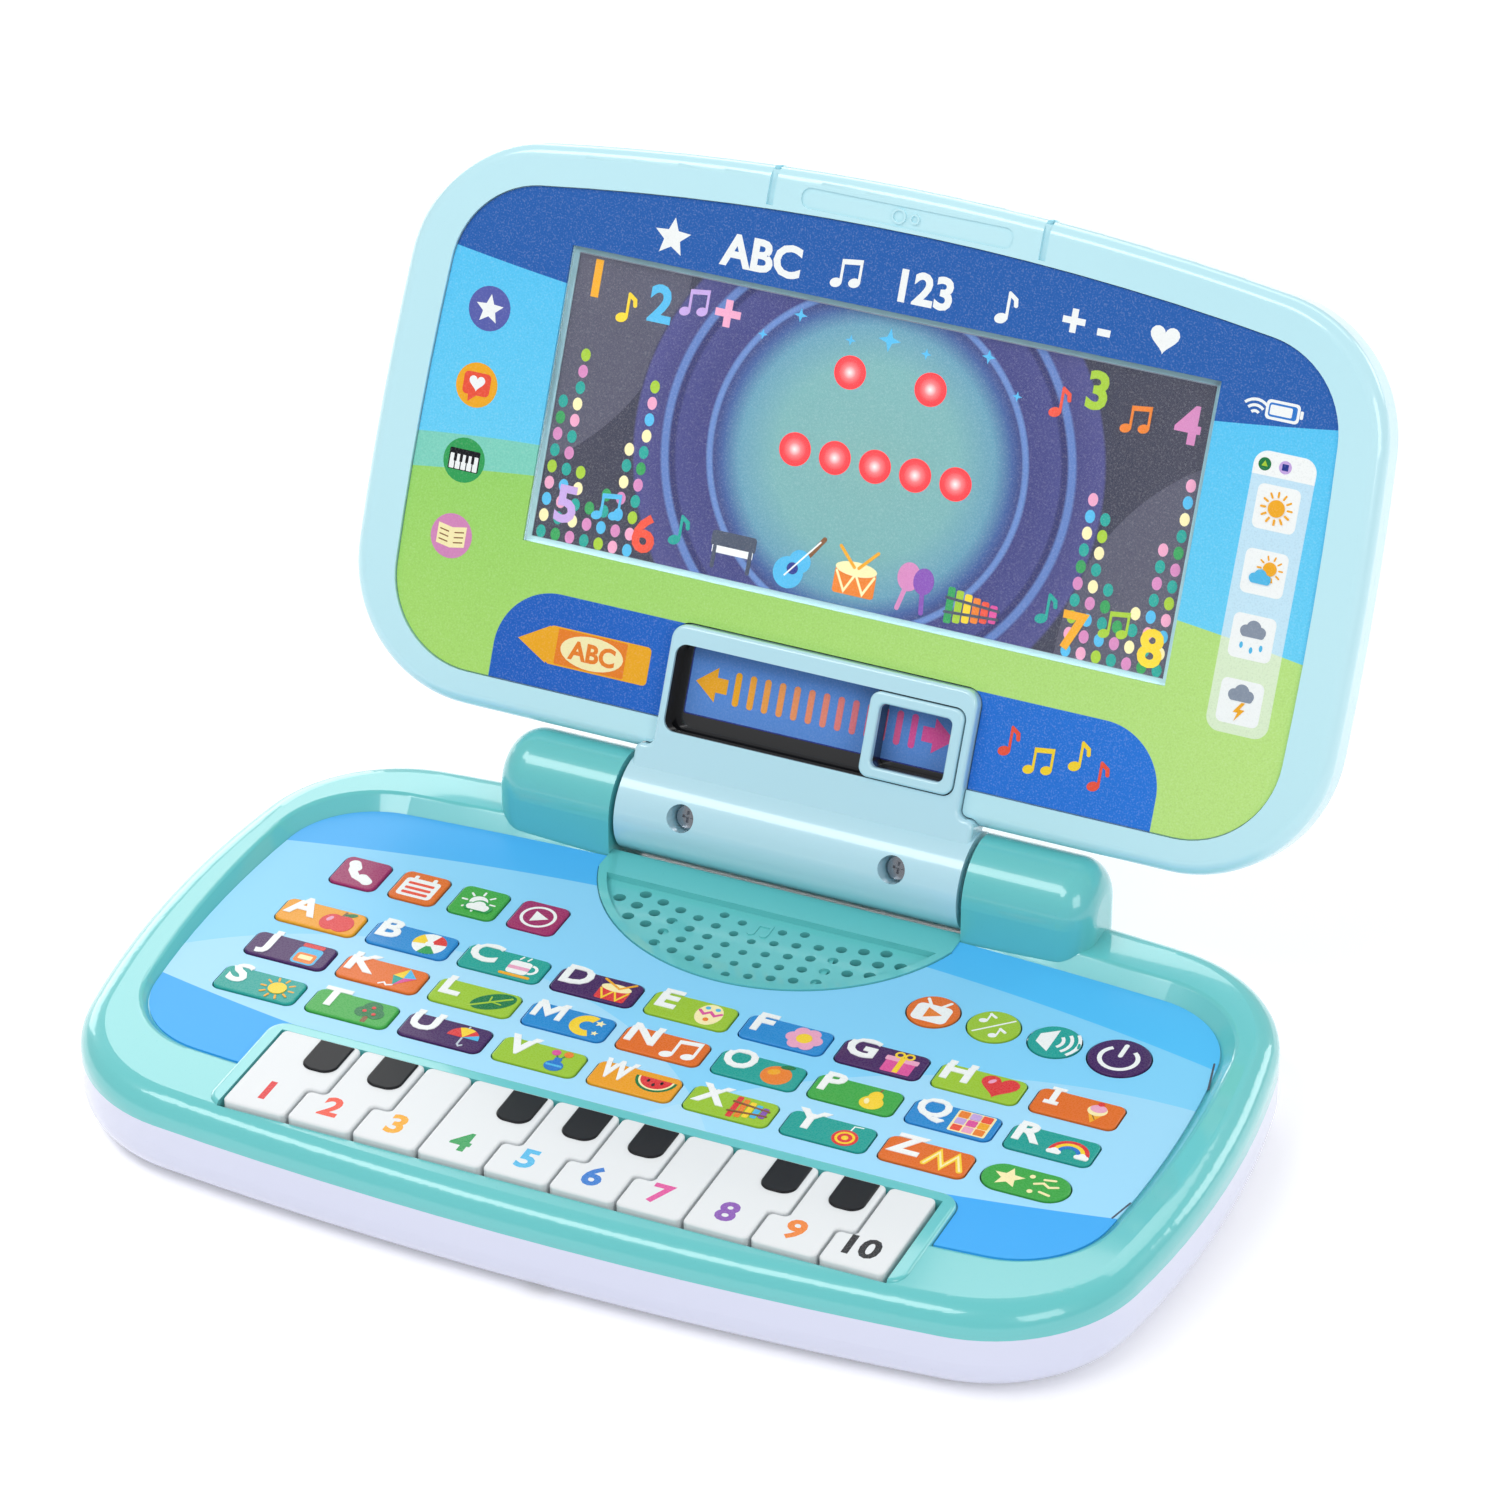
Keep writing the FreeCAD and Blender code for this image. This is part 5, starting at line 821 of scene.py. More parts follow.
LETTER_ICONS: Dict[str, Icon] = {
    "a": (line(Ink.BROWN, 0.55, 0, 1.4, 0.4, 3.6), disc(Ink.FOREST, 1.6, 3.0, 1.4, 0.65, 25),
          disc(Ink.RED, -1.2, -0.4, 2.4, 2.8), disc(Ink.RED, 1.2, -0.4, 2.4, 2.8),
          disc(Ink.PINK, -1.9, 0.5, 0.5, 1.0, -20)),
    "b": (disc(Ink.WHITE, 0, 0, 3.6), sector(Ink.RED, 0, 0, 3.6, 10, 70),
          sector(Ink.YELLOW, 0, 0, 3.6, 130, 190), sector(Ink.GREEN, 0, 0, 3.6, 250, 310),
          disc(Ink.WHITE, 0, 0, 0.9)),
    "c": (arc(Ink.WHITE, 2.2, 0.1, 1.5, 0.7, -90, 90), box(Ink.WHITE, -0.4, 0, 5.0, 4.8, 1.0),
          box(Ink.PINK, -0.4, -0.2, 5.0, 1.2, 0.2), box(Ink.AMBER, -0.2, -3.1, 7.4, 0.9, 0.4),
          line(Ink.WHITE, 0.4, -1.4, 3.0, -1.0, 4.0), line(Ink.WHITE, 0.4, 0.4, 3.0, 0.8, 4.0)),
    "d": (box(Ink.RED, 0, -0.8, 6.6, 4.4, 0.6),
          line(Ink.YELLOW, 0.45, -3, 0.6, -1.5, -2.6, 0, 0.6, 1.5, -2.6, 3, 0.6),
          disc(Ink.CREAM, 0, 1.5, 3.3, 1.3), line(Ink.AMBER, 0.55, -3.4, 3.9, 0.2, 1.7),
          line(Ink.AMBER, 0.55, 3.4, 3.9, 0.6, 1.4)),
    "e": (disc(Ink.CREAM, 0, -0.2, 2.9, 3.7),
          line(Ink.MAGENTA, 0.7, -2.4, 0.8, -1.2, -0.3, 0, 0.8, 1.2, -0.3, 2.4, 0.8),
          disc(Ink.SKY, -1.1, 2.0, 0.55), disc(Ink.SKY, 1.1, 2.0, 0.55), disc(Ink.ORANGE, 0, -2.0, 0.6)),
    "f": tuple(disc(Ink.PINK, 2.1 * math.cos(math.radians(a)), 2.1 * math.sin(math.radians(a)), 1.5)
               for a in range(0, 360, 60)) + (disc(Ink.YELLOW, 0, 0, 1.5),),
    "g": (box(Ink.MAGENTA, 0, -1.0, 6.6, 4.8, 0.4), box(Ink.PINK, 0, 1.5, 7.4, 1.6, 0.3),
          box(Ink.YELLOW, 0, -0.4, 1.2, 5.6, 0.1), arc(Ink.YELLOW, -1.1, 3.1, 0.9, 0.5),
          arc(Ink.YELLOW, 1.1, 3.1, 0.9, 0.5)),
    "h": (heart(Ink.RED, 0, 0, 4.0), disc(Ink.PINK, -1.7, 1.4, 0.5, 0.9, -35)),
    "i": (poly(Ink.AMBER, -1.9, -0.2, 1.9, -0.2, 0, -4.2), line(Ink.BROWN, 0.25, -1.0, -0.4, 0.5, -2.6),
          disc(Ink.CREAM, 0, 0.9, 2.4, 2.1), disc(Ink.PINK, 0, 1.6, 2.0, 1.5), disc(Ink.RED, 0, 3.5, 0.8)),
    "j": (box(Ink.SKY, 0, -0.6, 5.4, 6.0, 1.1), box(Ink.ORANGE, 0, -1.4, 4.4, 3.4, 0.8),
          box(Ink.CREAM, 0, -1.2, 3.0, 1.5, 0.3), box(Ink.RED, 0, 3.0, 4.8, 1.3, 0.4)),
    "k": (poly(Ink.SKY, 0.6, 4, 3.4, 1.0, 0.6, 0.2), poly(Ink.YELLOW, 0.6, 4, -2.0, 0.6, 0.6, 0.2),
          poly(Ink.MAGENTA, 3.4, 1.0, -0.6, -3.0, 0.6, 0.2),
          poly(Ink.TEAL, -2.0, 0.6, -0.6, -3.0, 0.6, 0.2),
          line(Ink.WHITE, 0.4, -0.6, -3.0, -1.8, -3.6, -2.6, -2.8, -3.6, -3.6)),
    "l": (disc(Ink.FOREST, 0, 0, 4.0, 2.2, 35), line(Ink.LIME, 0.45, -3.6, -2.6, 2.6, 1.9),
          line(Ink.LIME, 0.3, -0.6, -0.4, -0.8, 1.2), line(Ink.LIME, 0.3, -0.2, -0.2, 1.5, -0.4)),
    "m": (arc(Ink.YELLOW, 0, 0, 2.5, 2.0, 65, 295), star(Ink.CREAM, 2.2, 1.6, 1.1),
          star(Ink.CREAM, 2.4, -1.8, 0.8)),
    "n": double_note(Ink.WHITE),
    "o": (disc(Ink.ORANGE, 0, -0.3, 3.4), disc(Ink.AMBER, -0.9, 0.7, 1.4, 1.0, 30),
          disc(Ink.FOREST, 1.3, 3.2, 1.6, 0.7, 15)),
    "p": (line(Ink.BROWN, 0.5, 0.2, 2.6, 0.6, 4.2), disc(Ink.YELLOW, 0, -1.2, 2.8, 2.6),
          disc(Ink.YELLOW, 0.1, 1.2, 1.7, 2.1), disc(Ink.CREAM, -1.2, -1.0, 0.6, 1.1, 15)),
    "q": (box(Ink.CREAM, 0, 0, 7.2, 6.6, 0.4),) + tuple(
        box(ink, 2.2 * (i % 3 - 1), 2.05 * (i // 3 - 1), 1.9, 1.8, 0.2)
        for i, ink in enumerate((Ink.SCARLET, Ink.PINK, Ink.ORANGE, Ink.LILAC, Ink.MAGENTA, Ink.AMBER,
                                 Ink.ORANGE, Ink.LILAC, Ink.SCARLET))),
    "r": (arc(Ink.RED, 0, -1.8, 3.9, 0.9, 0, 180), arc(Ink.YELLOW, 0, -1.8, 3.0, 0.9, 0, 180),
          arc(Ink.BLUE, 0, -1.8, 2.1, 0.9, 0, 180)) + cloud_marks(Ink.WHITE, -3.0, -2.2, 0.9)
         + cloud_marks(Ink.WHITE, 2.9, -2.2, 0.9),
    "s": sun_marks(Ink.YELLOW, Ink.AMBER, 2.2, 10),
    "t": (box(Ink.BROWN, 0, -2.6, 1.2, 2.6, 0.2), disc(Ink.FOREST, -1.5, -0.1, 2.0),
          disc(Ink.FOREST, 1.5, -0.1, 2.0), disc(Ink.FOREST, 0, 1.8, 2.3), disc(Ink.RED, -1.3, 0.2, 0.5),
          disc(Ink.RED, 1.2, -0.4, 0.5), disc(Ink.RED, 0.2, 1.9, 0.5)),
    "u": (line(Ink.SILVER, 0.5, 0, 0, 0, -3.0, 0.6, -3.6, 1.2, -3.0), sector(Ink.RED, 0, -0.2, 4.0, 0, 180),
          sector(Ink.YELLOW, 0, -0.2, 4.0, 60, 120), sector(Ink.SKY, 0, -0.2, 4.0, 0, 30),
          line(Ink.SILVER, 0.4, 0, 3.7, 0, 4.3)),
    "v": (line(Ink.FOREST, 0.4, 0, 0.6, -1.4, 2.8), line(Ink.FOREST, 0.4, 0, 0.6, 1.4, 3.0),
          disc(Ink.MAGENTA, -1.5, 3.0, 1.1), disc(Ink.ORANGE, 1.5, 3.2, 1.1),
          disc(Ink.BLUE, 0, -2.0, 2.3, 2.0), box(Ink.BLUE, 0, 0.2, 1.8, 2.0, 0.3),
          box(Ink.SKY, 0, -1.9, 4.0, 0.7, 0.2)),
    "w": (sector(Ink.FOREST, 0, 1.6, 4.3, 180, 360), sector(Ink.CREAM, 0, 1.6, 3.7, 180, 360),
          sector(Ink.RED, 0, 1.6, 3.3, 180, 360), disc(Ink.BLACK, -1.4, 0.6, 0.3, 0.5),
          disc(Ink.BLACK, 0, -0.4, 0.3, 0.5), disc(Ink.BLACK, 1.4, 0.6, 0.3, 0.5)),
    "x": tuple(box(ink, -3.0 + 1.5 * i, 0, 1.2, 7.0 - 0.9 * i, 0.3)
               for i, ink in enumerate((Ink.RED, Ink.ORANGE, Ink.YELLOW, Ink.SKY, Ink.PURPLE)))
         + (line(Ink.BROWN, 0.5, -3.8, 1.6, 3.8, 0.8), line(Ink.BROWN, 0.5, -3.8, -1.6, 3.8, -0.8)),
    "y": (line(Ink.WHITE, 0.35, 0, 1.0, 0.4, 4.0, 2.4, 4.2), disc(Ink.RED, 0, -0.8, 3.0),
          arc(Ink.YELLOW, 0, -0.8, 2.0, 0.6), disc(Ink.YELLOW, 0, -0.8, 0.8)),
    "z": (line(Ink.YELLOW, 1.2, -3.6, -1.8, -2.0, 2.2, -0.2, -1.8, 1.5, 2.2, 3.3, -1.8),
          line(Ink.CREAM, 0.4, -3.6, -1.8, -2.0, 2.2, -0.2, -1.8, 1.5, 2.2, 3.3, -1.8)),
}

BUTTON_ICONS: Dict[str, Icon] = {
    "effects_button": (star(Ink.CREAM, -3.4, 0.2, 2.8), disc(Ink.CREAM, 0.2, 2.0, 0.5),
                       disc(Ink.CREAM, 1.2, -2.0, 0.5), line(Ink.CREAM, 0.5, 2.4, 1.9, 4.2, 2.3),
                       line(Ink.CREAM, 0.5, 1.2, 0.2, 2.6, 0.9, 3.8, 0.1, 5.2, 0.7),
                       line(Ink.CREAM, 0.5, 2.8, -1.6, 4.6, -2.0)),
    "phone_button": (line(Ink.WHITE, 2.0, -2.9, 2.5, -2.4, 0.3, -0.6, -1.8, 2.2, -2.9),
                     line(Ink.WHITE, 2.8, -3.0, 2.9, -2.0, 1.4),
                     line(Ink.WHITE, 2.8, 1.2, -1.8, 2.8, -3.0)),
    "calendar_button": (box(Ink.WHITE, 0, -0.3, 7.8, 6.6, 0.9), box(Ink.WHITE, -2.1, 3.1, 0.9, 2.0, 0.4),
                        box(Ink.WHITE, 2.1, 3.1, 0.9, 2.0, 0.4), box(Ink.SCARLET, 0, 1.2, 5.8, 0.8, 0.3),
                        box(Ink.SCARLET, 0, -0.6, 5.8, 0.8, 0.3), box(Ink.SCARLET, 0, -2.3, 5.8, 0.8, 0.3)),
    "weather_button": sun_marks(Ink.WHITE, Ink.WHITE, 1.9)
                      + cloud_marks(Ink.GREEN, 0.6, -1.9, 1.75) + cloud_marks(Ink.WHITE, 0.6, -2.0, 1.4),
    "video_button": (arc(Ink.WHITE, 0, 0, 4.2, 0.8), poly(Ink.WHITE, -1.4, -2.3, 2.7, 0, -1.4, 2.3)),
    "play_button": (box(Ink.WHITE, 0, 0, 6.8, 5.4, 1.2), line(Ink.WHITE, 0.6, -1.0, 2.4, -2.2, 4.2),
                    line(Ink.WHITE, 0.6, 1.0, 2.4, 2.2, 4.2),
                    poly(Ink.ORANGE, -1.1, -1.6, 2.0, 0, -1.1, 1.6)),
    "rhythm_button": (line(Ink.WHITE, 0.4, -3.2, -3.2, 3.4, 3.2), disc(Ink.WHITE, -2.6, 1.0, 0.9, 0.7, 20),
                      line(Ink.WHITE, 0.4, -1.9, 1.1, -1.9, 3.8),
                      line(Ink.WHITE, 0.6, -1.9, 3.6, -0.6, 2.8), disc(Ink.WHITE, 1.0, -3.2, 0.9, 0.7, 20),
                      line(Ink.WHITE, 0.4, 1.7, -3.1, 1.7, -0.4),
                      line(Ink.WHITE, 0.6, 1.7, -0.6, 3.0, -1.4)),
    "volume_button": (poly(Ink.WHITE, -4.0, -1.2, -2.4, -1.2, 0.2, -3.2, 0.2, 3.2, -2.4, 1.2, -4.0, 1.2),
                      arc(Ink.WHITE, -0.4, 0, 2.2, 0.6, -42, 42),
                      arc(Ink.WHITE, -0.4, 0, 3.6, 0.6, -42, 42),
                      arc(Ink.WHITE, -0.4, 0, 4.9, 0.6, -38, 38)),
    "power_button": (arc(Ink.WHITE, 0, -0.3, 4.0, 1.0, 127, 413), line(Ink.WHITE, 1.0, 0, 0.6, 0, 4.6)),
}

INSTRUMENTS: Tuple[Tuple[float, float, Icon], ...] = (
    (-31.0, 67.0, (box(Ink.SLATE, 0, 2.0, 12.0, 4.0, 0.8), box(Ink.WHITE, 0, -0.6, 11.0, 1.8, 0.2),
                   line(Ink.SLATE, 1.0, -4.8, 0, -4.8, -5.0), line(Ink.SLATE, 1.0, 4.8, 0, 4.8, -5.0))),
    (-14.0, 67.0, (line(Ink.BROWN, 1.2, 2.0, 1.0, 6.5, 7.5), disc(Ink.SKY, -1.6, -2.4, 4.0),
                   disc(Ink.SKY, 1.0, 0.8, 2.9), disc(Ink.NAVY, -0.6, -1.2, 1.5),
                   line(Ink.WHITE, 0.4, -2.4, -3.2, 5.6, 6.6))),
    (2.0, 67.0, (box(Ink.ORANGE, 0, -1.4, 11.0, 6.4, 0.8),
                 line(Ink.CREAM, 0.6, -5, 0.8, -2.5, -3.8, 0, 0.8, 2.5, -3.8, 5, 0.8),
                 disc(Ink.CREAM, 0, 2.0, 5.5, 1.8), line(Ink.AMBER, 0.8, -5.0, 7.0, -0.6, 2.4),
                 line(Ink.AMBER, 0.8, 5.0, 7.0, 0.6, 2.4))),
    (16.0, 66.5, (line(Ink.ORCHID, 1.2, -2.0, -4.5, -0.6, 1.0), disc(Ink.ORCHID, -0.2, 3.6, 3.0, 3.6),
                  line(Ink.PURPLE, 1.2, 4.4, -4.5, 3.8, 1.0), disc(Ink.PURPLE, 3.8, 3.2, 2.7, 3.3))),
    (33.0, 65.5, (
        *(box(ink, -5.6 + 2.3 * i, 0, 1.9, 9.0 - 0.9 * i, 0.5) for i, ink in enumerate(
            (Ink.GREEN, Ink.LIME, Ink.YELLOW, Ink.ORANGE, Ink.SCARLET, Ink.MAGENTA))),
        *(line(Ink.SLATE, 0.7, -6.6, 1.8 * side, 7.2, side) for side in (1.0, -1.0)))),
)


@dataclass
class Slab:
    """Thin inked shape: its flat points, faces, ink and layer."""

    points: List[Point]
    faces: List[Tuple[int, ...]]
    ink: Ink
    layer: float


def upward(points: Sequence[Point], face: Tuple[int, ...]) -> Tuple[int, ...]:
    """The face with its corners anticlockwise."""
    ring = [points[i] for i in face]
    area = sum(a[0] * b[1] - b[0] * a[1] for a, b in zip(ring, ring[1:] + ring[:1]))
    return face if area > 0 else tuple(reversed(face))


class Lettering:
    """Flat meshes of text, measured so that capitals come out at a stated height."""

    BOLD = 0.034
    CURVE_PARTS = 3
    DRAWN: Dict[str, Outline] = {
        "I": ([(0.0, 0.0), (0.48, 0.0), (0.48, 0.17), (0.34, 0.17), (0.14, 0.17), (0.0, 0.17), (0.34, 0.83),
               (0.14, 0.83), (0.0, 0.83), (0.48, 0.83), (0.48, 1.0), (0.0, 1.0)],
              [(0, 1, 2, 3, 4, 5), (4, 3, 6, 7), (8, 7, 6, 9, 10, 11)]),
        "M": ([(0.0, 0.0), (0.2, 0.0), (0.2, 0.56), (0.2, 1.0), (0.0, 1.0), (0.52, 0.06), (0.52, 0.5),
               (0.84, 0.56), (0.84, 1.0), (0.84, 0.0), (1.04, 0.0), (1.04, 1.0)],
              [(0, 1, 2, 3, 4), (2, 5, 6, 3), (5, 7, 8, 6), (9, 10, 11, 8, 7)]),
    }
    _cap: float = 0.0

    @classmethod
    def _flat(cls, text: str, size: float, bold: float) -> Outline:
        """Triangles of a text about its own origin."""
        curve = bpy.data.curves.new("lettering", "FONT")
        curve.body = text
        curve.size = size
        curve.offset = bold * size
        curve.resolution_u = cls.CURVE_PARTS
        thing = bpy.data.objects.new("lettering", curve)
        mesh = bpy.data.meshes.new_from_object(thing)
        work = bmesh.new()
        work.from_mesh(mesh)
        bmesh.ops.remove_doubles(work, verts=work.verts, dist=size * WELD_SHARE)
        bmesh.ops.triangulate(work, faces=work.faces)
        work.verts.index_update()
        points = [v.co.xy for v in work.verts]
        faces = [upward(points, tuple(v.index for v in f.verts)) for f in work.faces]
        work.free()
        bpy.data.objects.remove(thing)
        bpy.data.curves.remove(curve)
        bpy.data.meshes.remove(mesh)
        joined, _, parts, _, _, sources = delaunay_2d_cdt(
            points, [], faces, WITHIN_FACES, size * WELD_SHARE)
        return [(p.x, p.y) for p in joined], [tuple(f) for f, source in zip(parts, sources) if source]

    @classmethod
    def outline(cls, text: str, height: float) -> Outline:
        """Text whose capitals are a given height, centred about the origin.

        Args:
            text: What it says.
            height: Height of a capital.

        Returns:
            Flat points and triangles.
        """
        if not cls._cap:
            cls._cap = max(y for _, y in cls._flat("H", 1.0, 0.0)[0])
        if text in cls.DRAWN:
            points, faces = cls.DRAWN[text]
            points = [(x * height, y * height) for x, y in points]
        else:
            points, faces = cls._flat(text, height / cls._cap, cls.BOLD)
        xs = [x for x, _ in points]
        middle = (min(xs) + max(xs)) / 2
        return [(x - middle, y - height / 2) for x, y in points], faces


class Drawing:
    """Inked shapes on a surface, made into one mesh of thin closed slabs."""

    def __init__(self) -> None:
        self.slabs: List[Slab] = []

    def add(self, outline: Outline, ink: Ink, x: float = 0.0, y: float = 0.0, scale: float = 1.0,
            layer: float = 1.0) -> None:
        """Inks an outline, moved and scaled."""
        points, faces = outline
        placed = [(x + px * scale, y + py * scale) for px, py in points]
        self.slabs.append(Slab(placed, faces, ink, layer))

    def icon(self, icon: Icon, x: float, y: float, scale: float = 1.0, layer: float = 1.0) -> None:
        """Inks an icon's marks one above the other."""
        for index, mark in enumerate(icon):
            self.add(mark.drawn(), mark.ink, x, y, scale, layer + index)

    def fit(self, icon: Icon, x: float, y: float, width: float, height: float) -> None:
        """Inks an icon as large as a room about a point allows.

        Args:
            icon: The marks.
            x, y: Middle of the room.
            width, height: Its size.
        """
        points = [p for mark in icon for p in mark.drawn()[0]]
        low = [min(p[i] for p in points) for i in (0, 1)]
        high = [max(p[i] for p in points) for i in (0, 1)]
        scale = min(width / (high[0] - low[0]), height / (high[1] - low[1]))
        self.icon(icon, x - scale * (low[0] + high[0]) / 2, y - scale * (low[1] + high[1]) / 2, scale)

    def notes(self, rows: Sequence[Tuple[float, float, Ink, bool]], scale: float,
              layer: float = 1.0) -> None:
        """Inks quavers from rows of place, ink and whether it is a pair."""
        for x, y, ink, paired in rows:
            self.icon(double_note(ink) if paired else single_note(ink), x, y, scale, layer)

    def text(self, text: str, ink: Ink, x: float, y: float, height: float, layer: float = 1.0) -> None:
        """Inks a text centred on a point."""
        self.add(Lettering.outline(text, height), ink, x, y, 1.0, layer)

    @staticmethod
    def _between(ring: List[Point], low: float, high: float) -> List[Point]:
        """The part of a convex ring between two heights."""
        for level, sign in ((low, 1.0), (high, -1.0)):
            kept: List[Point] = []
            for (ax, ay), (bx, by) in zip(ring, ring[1:] + ring[:1]):
                a, b = sign * (ay - level), sign * (by - level)
                if a >= 0:
                    kept.append((ax, ay))
                if a * b < 0:
                    share = a / (a - b)
                    kept.append((ax + (bx - ax) * share, level))
            ring = kept
        return ring

    def cut(self, levels: Sequence[float]) -> "Drawing":
        """Copies the drawing's triangles, cut along lines of equal y.

        Args:
            levels: Rising heights; faces are split at each and kept between the first and last.

        Returns:
            The new drawing, without slabs that fall outside.
        """
        result = Drawing()
        for slab in self.slabs:
            corners: Dict[Point, int] = {}
            faces: List[Tuple[int, ...]] = []
            for face in slab.faces:
                for low, high in zip(levels, levels[1:]):
                    ring = self._between([slab.points[i] for i in face], low, high)
                    keys = [(round(x, WELD_DIGITS), round(y, WELD_DIGITS)) for x, y in ring]
                    indices = tuple(dict.fromkeys(corners.setdefault(key, len(corners)) for key in keys))
                    if len(indices) > 2:
                        faces.append(indices)
            if faces:
                result.slabs.append(Slab(list(corners), faces, slab.ink, slab.layer))
        return result

    def mesh(self, name: str, place: Place) -> bpy.types.Mesh:
        """Makes the slabs into a mesh with an ink attribute.

        Args:
            name: Name of the mesh.
            place: Gives the point in the row frame for flat x, y and a height above the surface.

        Returns:
            The mesh, in metres.
        """
        verts: List[Vector] = []
        faces: List[Tuple[int, ...]] = []
        inks: List[Ink] = []
        for slab in self.slabs:
            start, count = len(verts), len(slab.points)
            verts += [place(x, y, slab.layer * INK_STEP) for x, y in slab.points]
            verts += [place(x, y, -INK_SINK) for x, y in slab.points]
            tops = [upward(slab.points, f) for f in slab.faces]
            edges = {(a, b) for f in tops for a, b in zip(f, f[1:] + f[:1])}
            made = [tuple(start + i for i in f) for f in tops]
            made += [tuple(start + count + i for i in reversed(f)) for f in tops]
            made += [(start + b, start + a, start + count + a, start + count + b)
                     for a, b in sorted(edges) if (b, a) not in edges]
            faces += made
            inks += [slab.ink] * len(made)
        mesh = bpy.data.meshes.new(name)
        mesh.from_pydata(verts, [], faces)
        colours = mesh.color_attributes.new(INK_ATTRIBUTE, "FLOAT_COLOR", "CORNER")
        for polygon, ink in zip(mesh.polygons, inks):
            for loop in polygon.loop_indices:
                colours.data[loop].color = ink.rgba
        mesh.update()
        return mesh


@dataclass(frozen=True)
class Plane:
    """A flat surface to draw on, in the row frame."""

    origin: Vector
    across: Vector
    along: Vector
    normal: Vector

    def __call__(self, x: float, y: float, height: float) -> Vector:
        """Point of the row frame, in metres."""
        return (self.origin + self.across * x + self.along * y + self.normal * height) * MM


def level_plane(z: float) -> Plane:
    """Drawing surface that lies level at a height."""
    return Plane(Vector((0, 0, z)), Vector((1, 0, 0)), Vector((0, 1, 0)), Vector((0, 0, 1)))


def lid_plane(w: float) -> Plane:
    """Drawing surface parallel to the lid's face."""
    tilt = math.radians(LID_TILT_DEG)
    normal = Vector((0, -math.cos(tilt), math.sin(tilt)))
    along = Vector((0, math.sin(tilt), math.cos(tilt)))
    return Plane(hinge_place() + normal * w, Vector((1, 0, 0)), along, normal)


def show(name: str, mesh: bpy.types.Mesh, body: str, finish: Moulded) -> None:
    """Adds a piece to the scene.

    Args:
        name: Name of the piece.
        mesh: Its mesh, in place.
        body: CAD body that it rides on.
        finish: What it looks like.
    """
    if not mesh.materials:
        mesh.materials.append(finish.material())
    thing = bpy.data.objects.new(name, mesh)
    bpy.context.scene.collection.objects.link(thing)
    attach(thing, body)
    log.info("piece %s: %d faces on %s", name, len(mesh.polygons), body)


def show_print(name: str, drawing: Drawing, place: Place, body: str, finish: Moulded) -> None:
    """Adds a drawing to the scene as a piece of its own."""
    show(name, drawing.mesh(name, place), body, finish)


def dress(nodes: Iterable[str]) -> None:
    """Gives CAD nodes the finish of their slot in the record."""
    slots = {part["node"]: part["material_slot"] for part in frame["record"]["subparts"]}
    for node in nodes:
        mesh = frame["nodes"][node].data
        mesh.materials.clear()
        mesh.materials.append(SLOT_FINISHES[slots[node]].material())
        log.info("node %s wears %s", node, slots[node])


class Field:
    """Geometry Nodes that repeat one small shape, realised into a single mesh."""

    def __init__(self, name: str, inputs: Dict[str, str]) -> None:
        self.tree = bpy.data.node_groups.new(name, "GeometryNodeTree")
        self.sockets: Dict[str, str] = {}
        for key, kind in {"Geometry": "Geometry", **inputs, "Material": "Material"}.items():
            made = self.tree.interface.new_socket(key, in_out="INPUT", socket_type="NodeSocket" + kind)
            self.sockets[key] = made.identifier
        self.tree.interface.new_socket("Geometry", in_out="OUTPUT", socket_type="NodeSocketGeometry")
        self.graph = Graph(self.tree)
        self.given = self.graph.node("NodeGroupInput").outputs
        self.build()

    def build(self) -> None:
        """Adds the nodes between the input and the output."""
        raise NotImplementedError

    def close(self, instances: Socket) -> None:
        """Realises the instances and gives them the material."""
        realised = self.graph.node("GeometryNodeRealizeInstances", {0: instances})
        painted = self.graph.node("GeometryNodeSetMaterial", {"Geometry": realised.outputs[0],
                                                              "Material": self.given["Material"]})
        self.graph.node("NodeGroupOutput", {0: painted.outputs[0]})

    def mesh(self, name: str, source: bpy.types.Mesh, values: Dict) -> bpy.types.Mesh:
        """Runs the nodes on a source mesh.

        Args:
            name: Name of the result.
            source: The mesh that carries the points.
            values: Values of the named inputs.

        Returns:
            The realised mesh.
        """
        holder = bpy.data.objects.new(name + "_source", source)
        bpy.context.scene.collection.objects.link(holder)
        modifier = holder.modifiers.new("field", "NODES")
        modifier.node_group = self.tree
        for key, value in values.items():
            modifier[self.sockets[key]] = value
        depsgraph = bpy.context.evaluated_depsgraph_get()
        mesh = bpy.data.meshes.new_from_object(holder.evaluated_get(depsgraph))
        mesh.name = name
        bpy.data.objects.remove(holder)
        return mesh


